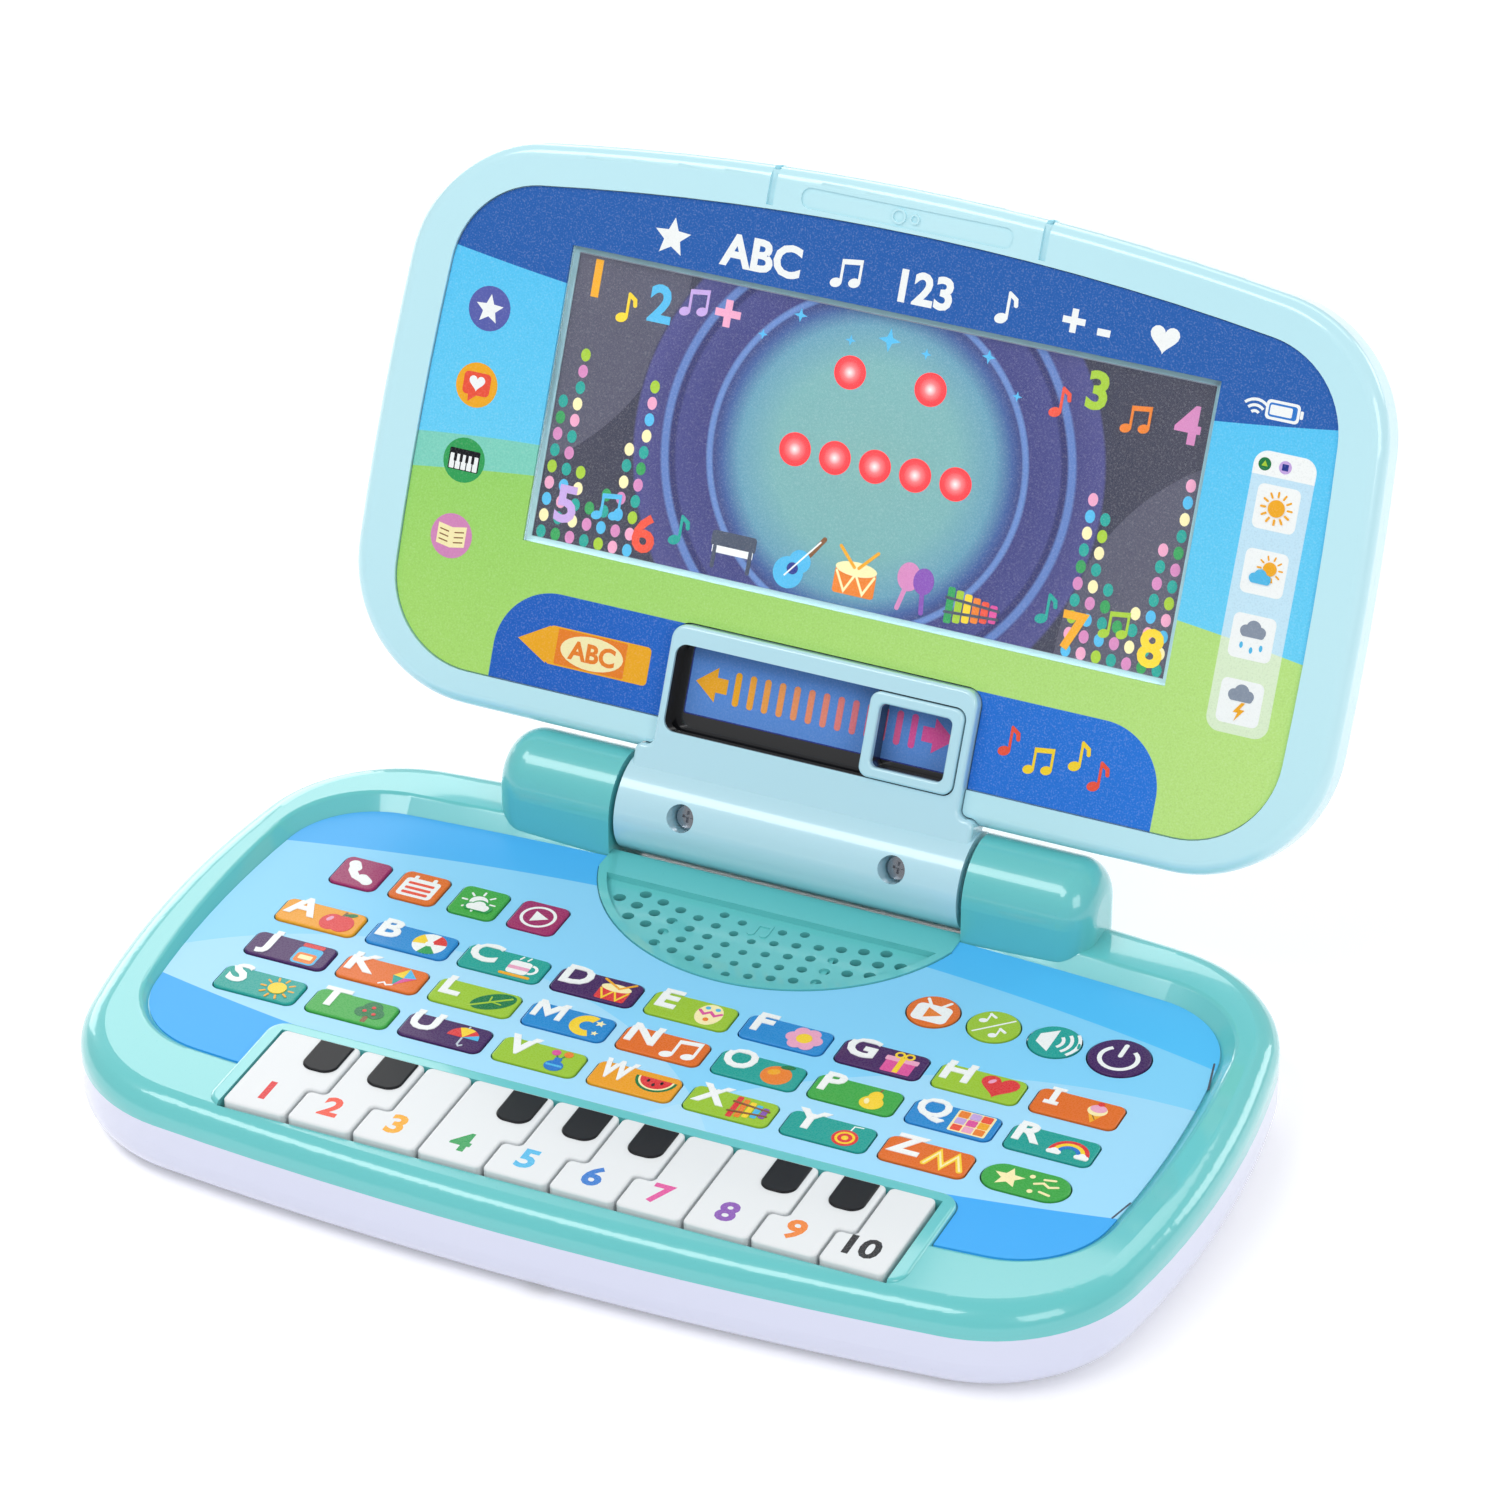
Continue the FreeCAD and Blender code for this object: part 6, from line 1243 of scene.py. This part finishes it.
class DotField(Field):
    """Low round dots at points that carry a half size and an ink."""

    def __init__(self) -> None:
        super().__init__("dot_field", {"Segments": "Int", "Top": "Float", "Turn": "Vector"})

    def build(self) -> None:
        """Puts a flat cone on each point, with a glow from rim to top."""
        graph = self.graph
        cone = graph.node("GeometryNodeMeshCone", {"Vertices": self.given["Segments"],
                                                   "Radius Top": self.given["Top"],
                                                   "Radius Bottom": 1.0, "Depth": 1.0})
        place = graph.node("GeometryNodeInputPosition").outputs[0]
        height = graph.node("ShaderNodeSeparateXYZ", {0: place})
        glow = graph.node("GeometryNodeStoreNamedAttribute", {
            "Geometry": cone.outputs["Mesh"], "Name": GLOW_ATTRIBUTE, "Value": height.outputs["Z"]},
            data_type="FLOAT", domain="POINT")
        size = graph.node("GeometryNodeInputNamedAttribute", {"Name": SIZE_ATTRIBUTE},
                          data_type="FLOAT_VECTOR")
        placed = graph.node("GeometryNodeInstanceOnPoints", {
            "Points": self.given["Geometry"], "Instance": glow.outputs[0],
            "Rotation": self.given["Turn"], "Scale": size.outputs[0]})
        self.close(placed.outputs[0])

    def dots(self, name: str, plane: Plane, dots: Sequence[Tuple[float, float, float, float, Ink]],
             height: float, top: float, segments: int, finish: Moulded) -> bpy.types.Mesh:
        """Makes dots on the lid.

        Args:
            name: Name of the mesh.
            plane: Surface that they stand on.
            dots: Place, half width, half height and ink of each.
            height: How far they stand up.
            top: Share of the radius left at the top.
            segments: Sides of a dot.
            finish: What they look like.

        Returns:
            The realised mesh.
        """
        source = bpy.data.meshes.new(name + "_points")
        source.from_pydata([plane(x, y, 0.0) for x, y, *_ in dots], [], [])
        source.attributes.new(SIZE_ATTRIBUTE, "FLOAT_VECTOR", "POINT")
        source.attributes.new(INK_ATTRIBUTE, "FLOAT_COLOR", "POINT")
        for index, (_, _, half_w, half_h, ink) in enumerate(dots):
            source.attributes[SIZE_ATTRIBUTE].data[index].vector = (half_w * MM, half_h * MM, height * MM)
            source.attributes[INK_ATTRIBUTE].data[index].color = ink.rgba
        return self.mesh(name, source, {"Segments": segments, "Top": top, "Turn": LID_TURN,
                                        "Material": finish.material()})


class BarField(Field):
    """Row of rounded bars whose ink runs from one colour to another."""

    ROUNDING = 0.49
    CORNER_STEPS = 5
    WELD = 1e-6

    def __init__(self) -> None:
        super().__init__("bar_field", {
            "Count": "Int", "Pitch": "Float", "Width": "Float", "Length": "Float", "Rise": "Float",
            "First": "Color", "Last": "Color", "Origin": "Vector", "Turn": "Vector"})

    def build(self) -> None:
        """Fills, thickens and repeats a rounded bar, then lays the row on its surface."""
        graph, given = self.graph, self.given
        outline = graph.node("GeometryNodeCurvePrimitiveQuadrilateral",
                             {"Width": given["Width"], "Height": given["Length"]})
        rounded = graph.node("GeometryNodeFilletCurve", {
            "Curve": outline.outputs[0], "Radius": graph.maths("MULTIPLY", given["Width"], self.ROUNDING),
            "Count": self.CORNER_STEPS}, mode="POLY")
        flat = graph.node("GeometryNodeFillCurve", {0: rounded.outputs[0]}, mode="NGONS")
        thick = graph.node("GeometryNodeExtrudeMesh", {
            "Mesh": flat.outputs[0], "Offset Scale": given["Rise"], "Individual": False})
        under = graph.node("GeometryNodeFlipFaces", {0: flat.outputs[0]})
        both = graph.node("GeometryNodeJoinGeometry")
        for part in (thick, under):
            graph.tree.links.new(part.outputs[0], both.inputs[0])
        solid = graph.node("GeometryNodeMergeByDistance", {
            "Geometry": both.outputs[0], "Distance": self.WELD})
        step = graph.node("ShaderNodeCombineXYZ", {"X": given["Pitch"]})
        row = graph.node("GeometryNodeMeshLine", {"Count": given["Count"], "Offset": step.outputs[0]})
        placed = graph.node("GeometryNodeInstanceOnPoints", {"Points": row.outputs[0],
                                                             "Instance": solid.outputs[0]})
        index = graph.node("GeometryNodeInputIndex").outputs[0]
        share = graph.maths("DIVIDE", index, graph.maths("SUBTRACT", given["Count"], 1.0))
        inked = graph.node("GeometryNodeStoreNamedAttribute", {
            "Geometry": placed.outputs[0], "Name": INK_ATTRIBUTE,
            "Value": graph.mix(share, given["First"], given["Last"])},
            data_type="FLOAT_COLOR", domain="INSTANCE")
        whole = graph.node("GeometryNodeRealizeInstances", {0: inked.outputs[0]})
        laid = graph.node("GeometryNodeTransform", {
            "Geometry": whole.outputs[0], "Translation": given["Origin"], "Rotation": given["Turn"]})
        self.close(laid.outputs[0])


@dataclass(frozen=True)
class CapSurface:
    """Top of a button with a round edge, for ink that lies over it."""

    x0: float
    x1: float
    y0: float
    y1: float
    top: float
    edge: float

    def __call__(self, x: float, y: float, height: float) -> Vector:
        """Point of the row frame, in metres, at a height above the cap."""
        inside = min(self.edge, max(0.0, min(x - self.x0, self.x1 - x, y - self.y0, self.y1 - y)))
        drop = self.edge - math.sqrt(self.edge ** 2 - (self.edge - inside) ** 2)
        return Vector((x, y, self.top - drop + height)) * MM


@dataclass
class BaseShell:
    """Pale tray, teal deck and what is inside them."""

    nodes: Tuple[str, ...] = ("base_tray", "base_deck", "sound_board", "battery_pack", "battery_door",
                              "base_fixings")

    def build(self) -> None:
        """Dresses the shell."""
        dress(self.nodes)


@dataclass
class ButtonPanel:
    """Printed film with letter, square and round buttons."""

    lip: float = 0.8
    edge: float = 0.45
    hole_gap: float = 0.36
    letter_height: float = 7.6
    letter_rise: float = 1.5
    letter_from_left: float = 4.2
    letter_inset: float = 1.0
    letter_room: float = 8.4
    icon_from_right: float = 6.1
    icon_room: Tuple[float, float] = (10.6, 8.7)
    symbol_share: float = 0.74
    letter_layer: float = 9.0
    bends: Tuple[float, ...] = (1.0, 0.7, 0.45, 0.25, 0.1, 0.02)
    # painted shadow: short dark lines where the film's right edge lifts off the deck
    slit_width: float = 0.5
    slits: Tuple[Tuple[float, ...], ...] = ((122.8, 37.7, 125.2, 27.2), (124.9, -22.8, 123.2, -29.9))

    def cap(self, node: str) -> CapSurface:
        """Top of a button, without the flange under it."""
        low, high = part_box(node)
        return CapSurface(low.x / MM + self.lip, high.x / MM - self.lip, low.y / MM + self.lip,
                          high.y / MM - self.lip, high.z / MM, self.edge)

    def letter(self, letter: str, film: Drawing) -> None:
        """Builds a letter button's print.

        Args:
            letter: Which one.
            film: Drawing on the film, which takes the part of the letter beyond the cap.
        """
        node = f"letter_button_{letter}"
        cap = self.cap(node)
        whole = Drawing()
        outline = Lettering.outline(letter.upper(), self.letter_height)
        squeeze = min(1.0, self.letter_room / 2 / max(x for x, _ in outline[0]))
        points = [(x * squeeze, y) for x, y in outline[0]]
        half = max(x for x, _ in points)
        middle = cap.x0 + max(self.letter_from_left, half + self.letter_inset)
        whole.add((points, outline[1]), Ink.WHITE, middle,
                  cap.y1 + self.letter_rise - self.letter_height / 2, layer=self.letter_layer)
        bends = [cap.y1 - self.edge * share for share in self.bends]
        on_cap = whole.cut([cap.y0] + bends)
        film.slabs += whole.cut([cap.y1 + self.hole_gap, cap.y1 + self.letter_height]).slabs
        on_cap.fit(LETTER_ICONS[letter], cap.x1 - self.icon_from_right, (cap.y0 + cap.y1) / 2,
                   *self.icon_room)
        show_print(f"print_{node}", on_cap, cap, node, GLOSS_INK)

    def symbol(self, node: str) -> None:
        """Builds the print of a square, round or oblong button."""
        cap = self.cap(node)
        room = (cap.y1 - cap.y0) * self.symbol_share
        drawing = Drawing()
        drawing.fit(BUTTON_ICONS[node], (cap.x0 + cap.x1) / 2, (cap.y0 + cap.y1) / 2, cap.x1 - cap.x0, room)
        show_print(f"print_{node}", drawing, cap, node, GLOSS_INK)

    def build(self) -> None:
        """Dresses the film and buttons, prints them and adds painted shadow lines at the film's right edge."""
        film = Drawing()
        for letter in LETTER_ICONS:
            self.letter(letter, film)
        for node in BUTTON_ICONS:
            self.symbol(node)
        # painted shadow lines along the film's right edge, drawn in slate ink
        for edge_shadow in self.slits:
            film.add(line_outline(self.slit_width, *edge_shadow), Ink.SLATE)
        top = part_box("keypad_overlay")[1].z / MM
        show_print("print_film", film, level_plane(top), "base", GLOSS_INK)
        letters = [f"letter_button_{letter}" for letter in LETTER_ICONS]
        dress(["keypad_overlay"] + letters + list(BUTTON_ICONS))


@dataclass
class Piano:
    """Ten keys with coloured numerals near their front."""

    face_z: float = 26.0
    front_width: float = 16.2
    numeral_height: float = 6.8
    numeral_from_front: float = 7.8
    inks: Tuple[Ink, ...] = (Ink.RED, Ink.SCARLET, Ink.AMBER, Ink.GREEN, Ink.SKY, Ink.BLUE, Ink.MAGENTA,
                             Ink.PURPLE, Ink.ORANGE, Ink.BLACK)

    def build(self) -> None:
        """Dresses the keys and prints their numerals."""
        for number, ink in enumerate(self.inks, 1):
            node = f"piano_key_{number:02d}"
            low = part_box(node)[0] / MM
            drawing = Drawing()
            drawing.text(str(number), ink, low.x + self.front_width / 2, low.y + self.numeral_from_front,
                         self.numeral_height)
            show_print(f"numeral_{number:02d}", drawing, level_plane(self.face_z), node,
                       GLOSS_INK)
            dress([node])


@dataclass
class LidFace:
    """Lid shells and the icons on their printed sheet."""

    nodes: Tuple[str, ...] = ("lid_frame", "lid_back", "lid_art_panel", "lid_screws")
    face_w: float = 4.4
    badge_u: float = -105.3
    badge_s: Tuple[float, ...] = (113.2, 93.7, 74.5, 55.1)
    badge_radius: float = 5.7
    tile_u: float = 105.3
    tile_s: Tuple[float, ...] = (105.9, 90.1, 74.3, 58.3)
    tile_size: float = 10.9
    title_s: float = 140.0
    title_height: float = 7.4
    note_scale: float = 0.95

    def badges(self, sheet: Drawing) -> None:
        """Draws the round icons at the left."""
        u, r = self.badge_u, self.badge_radius
        for s, ink in zip(self.badge_s, (Ink.INDIGO, Ink.AMBER, Ink.GREEN, Ink.ORCHID)):
            sheet.add(disc_outline(u, s, r), ink)
        star_s, speech_s, keys_s, book_s = self.badge_s
        sheet.add(star_outline(u, star_s - 0.2, 3.9), Ink.WHITE, layer=2)
        sheet.add(box_outline(u, speech_s + 0.3, 7.4, 5.8, 1.2), Ink.SCARLET, layer=2)
        tail_top, tail_tip = speech_s - 2.2, speech_s - 4.4
        tail = polygon_outline(u - 2, tail_top, u + 0.8, tail_top, u - 1.8, tail_tip)
        sheet.add(tail, Ink.SCARLET, layer=2.5)
        sheet.add(heart_outline(u, speech_s + 0.4, 2.3), Ink.WHITE, layer=3.5)
        sheet.add(box_outline(u, keys_s, 8.4, 5.4, 0.4), Ink.BLACK, layer=2)
        for i in range(5):
            sheet.add(box_outline(u - 3.2 + 1.6 * i, keys_s - 0.6, 1.3, 3.8, 0.2), Ink.WHITE, layer=3)
        for i in range(4):
            sheet.add(box_outline(u - 2.4 + 1.6 * i, keys_s + 0.4, 0.8, 2.0, 0.1), Ink.BLACK, layer=4)
        for side in (-1, 1):
            edge = u + side * 3.9
            page = polygon_outline(u, book_s + 2.2, edge, book_s + 2.9, edge, book_s - 2.3, u, book_s - 3.0)
            sheet.add(page, Ink.CREAM, layer=2 + 0.2 * side)
            for k in range(3):
                row = line_outline(0.3, u + side * 0.9, book_s + 1.0 - 1.3 * k, u + side * 3.2,
                                   book_s + 1.4 - 1.3 * k)
                sheet.add(row, Ink.BROWN, layer=3.5)

    def weather(self, sheet: Drawing) -> None:
        """Draws the strip of weather tiles at the right."""
        u = self.tile_u
        places = self.tile_s
        for s in places:
            sheet.add(box_outline(u, s, self.tile_size, self.tile_size, 1.6), Ink.WHITE)
        sheet.icon(sun_marks(Ink.AMBER, Ink.AMBER, 2.1, 12), u, places[0], layer=2)
        sheet.icon(sun_marks(Ink.AMBER, Ink.AMBER, 1.7, 10), u + 1.2, places[1] + 1.2, layer=2)
        sheet.icon(cloud_marks(Ink.SKY, u - 0.9, places[1] - 1.5, 1.6), 0, 0, layer=14)
        sheet.icon(cloud_marks(Ink.GREY, u - 0.2, places[2] + 1.4, 1.9), 0, 0, layer=2)
        for i, drop in enumerate((-2.4, 0.2, 2.6)):
            sheet.add(disc_outline(u + drop, places[2] - 2.2 - 0.9 * (i % 2), 0.45, 0.8), Ink.SKY, layer=2)
        sheet.icon(cloud_marks(Ink.GREY, u - 0.2, places[3] + 1.7, 1.9), 0, 0, layer=2)
        sheet.icon(bolt_mark(Ink.AMBER, u, places[3] - 2.2, 1.5), 0, 0, layer=7)
        sheet.add(disc_outline(100.4, 115.9, 1.6), Ink.FOREST, layer=2)
        sheet.add(polygon_outline(99.6, 115.4, 101.2, 115.4, 100.4, 116.8), Ink.LIME, layer=3)
        sheet.add(disc_outline(105.6, 116.0, 1.6), Ink.LILAC, layer=2)
        sheet.add(box_outline(105.6, 116.0, 1.6, 1.6, 0.1), Ink.NAVY, layer=3)
        for k, radius in enumerate((1.3, 2.7, 4.1)):
            sheet.add(arc_outline(95.6, 126.6, radius, 0.7, 45, 135), Ink.WHITE, layer=1 + 0.1 * k)
        sheet.add(box_outline(102.4, 129.0, 8.6, 4.8, 1.1), Ink.WHITE)
        sheet.add(box_outline(102.4, 129.0, 7.2, 3.4, 0.7), Ink.BLUE, layer=2)
        sheet.add(box_outline(102.0, 129.0, 5.6, 2.4, 0.4), Ink.WHITE, layer=3)
        sheet.add(box_outline(107.2, 129.0, 0.8, 2.0, 0.3), Ink.WHITE)

    def lower(self, sheet: Drawing) -> None:
        """Draws the crayon and the notes beside the slot."""
        sheet.add(polygon_outline(-82.7, 33.8, -74.4, 38.6, -74.4, 29.0), Ink.AMBER)
        sheet.add(box_outline(-60.6, 33.9, 28.0, 9.8, 1.2), Ink.AMBER, layer=1.5)
        sheet.add(box_outline(-62.6, 33.9, 19.0, 9.0, 0.4), Ink.ORANGE, layer=2.5)
        sheet.add(disc_outline(-62.3, 33.8, 8.6, 4.2), Ink.CREAM, layer=3.5)
        sheet.text("ABC", Ink.ORANGE, -62.3, 33.8, 4.4, layer=4.5)
        sheet.notes(((49.6, 36.6, Ink.SCARLET, False), (58.2, 33.2, Ink.YELLOW, True),
                     (68.0, 36.8, Ink.YELLOW, False), (73.6, 33.0, Ink.SCARLET, False)), self.note_scale)

    def title(self, sheet: Drawing) -> None:
        """Draws the line of white signs along the top band."""
        s, height = self.title_s, self.title_height
        sheet.text("ABC", Ink.WHITE, -36.0, s, height)
        sheet.text("123", Ink.WHITE, 8.0, s, height)
        sheet.text("+ -", Ink.WHITE, 50.0, s, height)
        sheet.add(star_outline(-60.0, s, 5.0), Ink.WHITE)
        sheet.icon(double_note(Ink.WHITE), -13.0, s)
        sheet.icon(single_note(Ink.WHITE), 29.0, s)
        sheet.add(heart_outline(70.0, s, 4.0), Ink.WHITE)

    def build(self) -> None:
        """Dresses the lid and prints its sheet."""
        dress(self.nodes)
        sheet = Drawing()
        self.title(sheet)
        self.badges(sheet)
        self.weather(sheet)
        self.lower(sheet)
        show_print("print_lid", sheet, lid_plane(self.face_w), "lid", MATT_INK)


@dataclass
class Screen:
    """Card behind the window: dots, signs and lit lamps."""

    card_w: float = 1.5
    dot_pitch: Tuple[float, float] = (3.95, 4.15)
    dot_half: Tuple[float, float] = (1.3, 1.65)
    dot_floor: float = 61.0
    dots_from_middle: float = 82.5
    dot_rise: float = 0.06
    dot_top: float = 0.97
    dot_sides: int = 14
    lamp_rise: float = 0.3
    lamp_sides: int = 32
    sign_height: float = 8.6
    note_scale: float = 0.95
    sign_layer: float = 4.0
    band_layer: float = 2.0
    lamp_radius: float = 4.2
    lamp_middle: Tuple[float, float] = (2.0, 94.8)
    lamp_pitch: Tuple[float, float] = (10.7, 10.7)
    left_columns: Tuple[int, ...] = (9, 12, 5, 3, 4, 7, 11)
    right_columns: Tuple[int, ...] = (12, 8, 4, 3, 5, 9, 10)

    def dots(self, field: DotField) -> None:
        """Builds the dotted columns at both sides."""
        inks = (Ink.TEAL, Ink.TEAL, Ink.SKY, Ink.GREEN, Ink.LIME, Ink.CREAM, Ink.ORCHID, Ink.PINK)
        dots = []
        for side, columns in ((-1, self.left_columns), (1, self.right_columns)):
            for column, count in enumerate(columns):
                for row in range(count):
                    ink = inks[(3 * column + 5 * row + (row * column) % 3) % len(inks)]
                    u = side * (self.dots_from_middle - self.dot_pitch[0] * column)
                    dots.append((u, self.dot_floor + self.dot_pitch[1] * row, *self.dot_half, ink))
        mesh = field.dots("screen_dots", lid_plane(self.card_w), dots, self.dot_rise, self.dot_top,
                          self.dot_sides, MATT_INK)
        show("screen_dots", mesh, "lid", MATT_INK)

    def lamps(self, field: DotField) -> None:
        """Builds the lit lamps."""
        places = [(column, 0) for column in range(-2, 3)] + [(-1, 2), (1, 2)]
        (u, s), (across, up), radius = self.lamp_middle, self.lamp_pitch, self.lamp_radius
        lamps = [(u + c * across, s + r * up, radius, radius, Ink.RED) for c, r in places]
        mesh = field.dots("screen_lamps", lid_plane(self.card_w), lamps, self.lamp_rise, 0.0,
                          self.lamp_sides, LAMP)
        show("screen_lamps", mesh, "lid", LAMP)

    def signs(self) -> None:
        """Prints letters, numerals, notes and instruments in the corners and along the foot."""
        card = Drawing()
        for text, u, s, ink in (("1", -79.0, 126.0, Ink.AMBER), ("2", -61.0, 123.0, Ink.SKY),
                                ("3", 55.0, 124.5, Ink.LIME), ("4", 79.0, 121.0, Ink.ORCHID),
                                ("+", -43.0, 124.0, Ink.PINK), ("5", -77.0, 69.0, Ink.LILAC),
                                ("6", -55.0, 66.0, Ink.SCARLET), ("7", 60.0, 66.0, Ink.AMBER),
                                ("8", 80.0, 66.0, Ink.YELLOW)):
            card.text(text, ink, u, s, self.sign_height, self.sign_layer)
        card.notes(((-70.0, 120.5, Ink.YELLOW, False), (-52.0, 125.0, Ink.LILAC, True),
                    (66.0, 119.5, Ink.ORANGE, True), (46.0, 120.0, Ink.SCARLET, False),
                    (-66.0, 70.5, Ink.SKY, True), (-46.0, 69.0, Ink.TEAL, False),
                    (52.0, 70.0, Ink.TEAL, False), (70.0, 69.5, Ink.LIME, True)),
                   self.note_scale, self.sign_layer)
        for u, s, size in ((-24.0, 127.5, 1.8), (26.0, 127.0, 1.8), (-33.0, 121.0, 1.3), (35.0, 119.0, 1.3),
                           (0.0, 126.0, 3.0), (-10.0, 124.0, 1.4), (10.0, 124.5, 1.4)):
            card.add(star_outline(u, s, size, 4, 0.35), Ink.SKY)
        for u, s, instrument in INSTRUMENTS:
            card.icon(instrument, u, s, layer=self.band_layer)
        show_print("print_screen", card, lid_plane(self.card_w), "lid", MATT_INK)

    def build(self) -> None:
        """Dresses the card and window and builds what shows through."""
        dress(("display_unit", "screen_window"))
        field = DotField()
        self.dots(field)
        self.lamps(field)
        self.signs()


@dataclass
class SwipeSlot:
    """Hinge bar with the slot, its printed strip and the slider."""

    floor_w: float = 1.5
    strip: Tuple[float, float, float, float] = (-36.6, 38.6, 24.4, 41.6)
    bars: int = 13
    bar_from_u: float = -23.5
    bar_pitch: float = 3.95
    bar_size: Tuple[float, float] = (1.7, 8.6)
    bar_rise: float = 0.1
    border: float = 0.6
    arrow_s: float = 33.0
    arrow_ends: Tuple[float, float] = (3.0, 8.6)
    arrow_halves: Tuple[float, float] = (1.9, 4.4)
    arrow_gaps: Tuple[float, float] = (2.6, 2.4)

    def arrow(self, strip: Drawing, u: float, way: int, ink: Ink) -> None:
        """Draws an arrow whose shaft begins at u."""
        neck, tip = [way * end for end in self.arrow_ends]
        shaft, head = self.arrow_halves
        outline = polygon_outline(0, -shaft, neck, -shaft, neck, -head, tip, 0, neck, head, neck, shaft,
                                  0, shaft)
        strip.add(outline, ink, u, self.arrow_s, layer=4)

    def build(self) -> None:
        """Dresses the bar and prints the strip."""
        dress(("hinge_bar", "swiper"))
        plane = lid_plane(self.floor_w)
        u0, u1, s0, s1 = self.strip
        strip = Drawing()
        middle, wide, high = ((u0 + u1) / 2, (s0 + s1) / 2), u1 - u0, s1 - s0
        strip.add(box_outline(*middle, wide, high, 0.6), Ink.NAVY)
        strip.add(box_outline(*middle, wide - self.border, high - self.border, 0.5), Ink.AZURE, layer=2)
        bars_end = self.bar_from_u + self.bar_pitch * (self.bars - 1)
        self.arrow(strip, self.bar_from_u - self.arrow_gaps[0], -1, Ink.AMBER)
        self.arrow(strip, bars_end + self.arrow_gaps[1], 1, Ink.MAGENTA)
        show_print("print_strip", strip, plane, "lid", GLOSS_INK)
        source = bpy.data.meshes.new("strip_bars_source")
        source.from_pydata([plane(0, 0, 0)], [], [])
        mesh = BarField().mesh("strip_bars", source, {
            "Count": self.bars, "Pitch": self.bar_pitch * MM, "Width": self.bar_size[0] * MM,
            "Length": self.bar_size[1] * MM, "Rise": self.bar_rise * MM, "First": Ink.AMBER.rgba,
            "Last": Ink.MAGENTA.rgba, "Origin": tuple(plane(self.bar_from_u, self.arrow_s, 0.0)),
            "Turn": LID_TURN, "Material": GLOSS_INK.material()})
        show("strip_bars", mesh, "lid", GLOSS_INK)


@dataclass
class Studio:
    """Camera, floor and soft light of a plain product picture."""

    camera_place: Tuple[float, float, float] = (545.4, -1180.7, 918.9)
    target: Tuple[float, float, float] = (-1.5, 45.1, 76.2)
    lens: float = 157.75
    sensor: float = 36.0
    clip_end: float = 100.0
    lights_aim: Tuple[float, float, float] = (0.0, 0.0, 0.05)
    floor_size: float = 12.0
    floor_drop: float = 0.0003
    room_level: float = 0.5
    backdrop_level: float = 1.0
    floor_lift: float = 0.2
    lights: Tuple[Tuple[str, Tuple[float, float, float], Tuple[float, float], float], ...] = (
        ("key", (-0.6, -0.7, 1.6), (1.6, 0.5), 13.0),
        ("fill", (1.4, -0.9, 1.0), (0.8, 0.8), 7.0),
        ("back", (0.2, 1.3, 1.5), (1.6, 0.5), 5.0),
        ("left", (-1.5, 1.3, 0.5), (1.3, 0.8), 9.0),
        ("sheen", (-0.85, 1.75, 1.2), (0.8, 0.6), 4.0),
        ("right", (1.2, 1.6, 0.6), (1.0, 0.6), 6.0),
    )

    def camera(self) -> None:
        """Sets the camera up at the photo's angle."""
        data = bpy.data.cameras.new("camera")
        data.lens = self.lens
        data.sensor_width = self.sensor
        data.clip_end = self.clip_end
        camera = bpy.data.objects.new("camera", data)
        camera.location = Vector(self.camera_place) * MM
        way = Vector(self.target) - Vector(self.camera_place)
        camera.rotation_euler = way.to_track_quat("-Z", "Y").to_euler()
        bpy.context.scene.collection.objects.link(camera)
        bpy.context.scene.camera = camera

    def floor(self) -> None:
        """Lays the pale floor."""
        half = self.floor_size / 2
        mesh = bpy.data.meshes.new("floor")
        corners = ((-half, -half), (half, -half), (half, half), (-half, half))
        mesh.from_pydata([(x, y, -self.floor_drop) for x, y in corners], [], [(0, 1, 2, 3)])
        pale = FloorFinish("floor_pale", "F9F9FA", "F7F7F9", roughness=0.9, coat=0.0, bump=0.0,
                           lift=self.floor_lift)
        mesh.materials.append(pale.material())
        floor = bpy.data.objects.new("floor", mesh)
        bpy.context.scene.collection.objects.link(floor)

    def light(self) -> None:
        """Hangs the soft lights and fills the room."""
        for name, place, size, power in self.lights:
            data = bpy.data.lights.new(name, "AREA")
            data.shape = "RECTANGLE"
            data.size, data.size_y = size
            data.energy = power
            lamp = bpy.data.objects.new(name, data)
            lamp.location = place
            way = Vector(self.lights_aim) - Vector(place)
            lamp.rotation_euler = way.to_track_quat("-Z", "Y").to_euler()
            bpy.context.scene.collection.objects.link(lamp)
        world = bpy.data.worlds.new("room")
        world.use_nodes = True
        world.node_tree.nodes["Background"].inputs["Color"].default_value = FULL_WHITE
        graph = Graph(world.node_tree)
        level = graph.spread(seen_directly(graph, False), 0.0, 1.0, self.room_level, self.backdrop_level)
        world.node_tree.links.new(level, world.node_tree.nodes["Background"].inputs["Strength"])
        bpy.context.scene.world = world

    def build(self) -> None:
        """Builds the whole studio."""
        self.camera()
        self.floor()
        self.light()
        bpy.context.scene.view_settings.view_transform = "Standard"


Assembly = Union[BaseShell, ButtonPanel, Piano, LidFace, Screen, SwipeSlot, Studio]


def main() -> None:
    """Builds every sub-assembly."""
    assemblies: Tuple[Assembly, ...] = (
        BaseShell(), ButtonPanel(), Piano(), LidFace(), Screen(), SwipeSlot(), Studio())
    for assembly in assemblies:
        log.info("assembly %s", type(assembly).__name__)
        assembly.build()


if __name__ == "__main__":
    main()
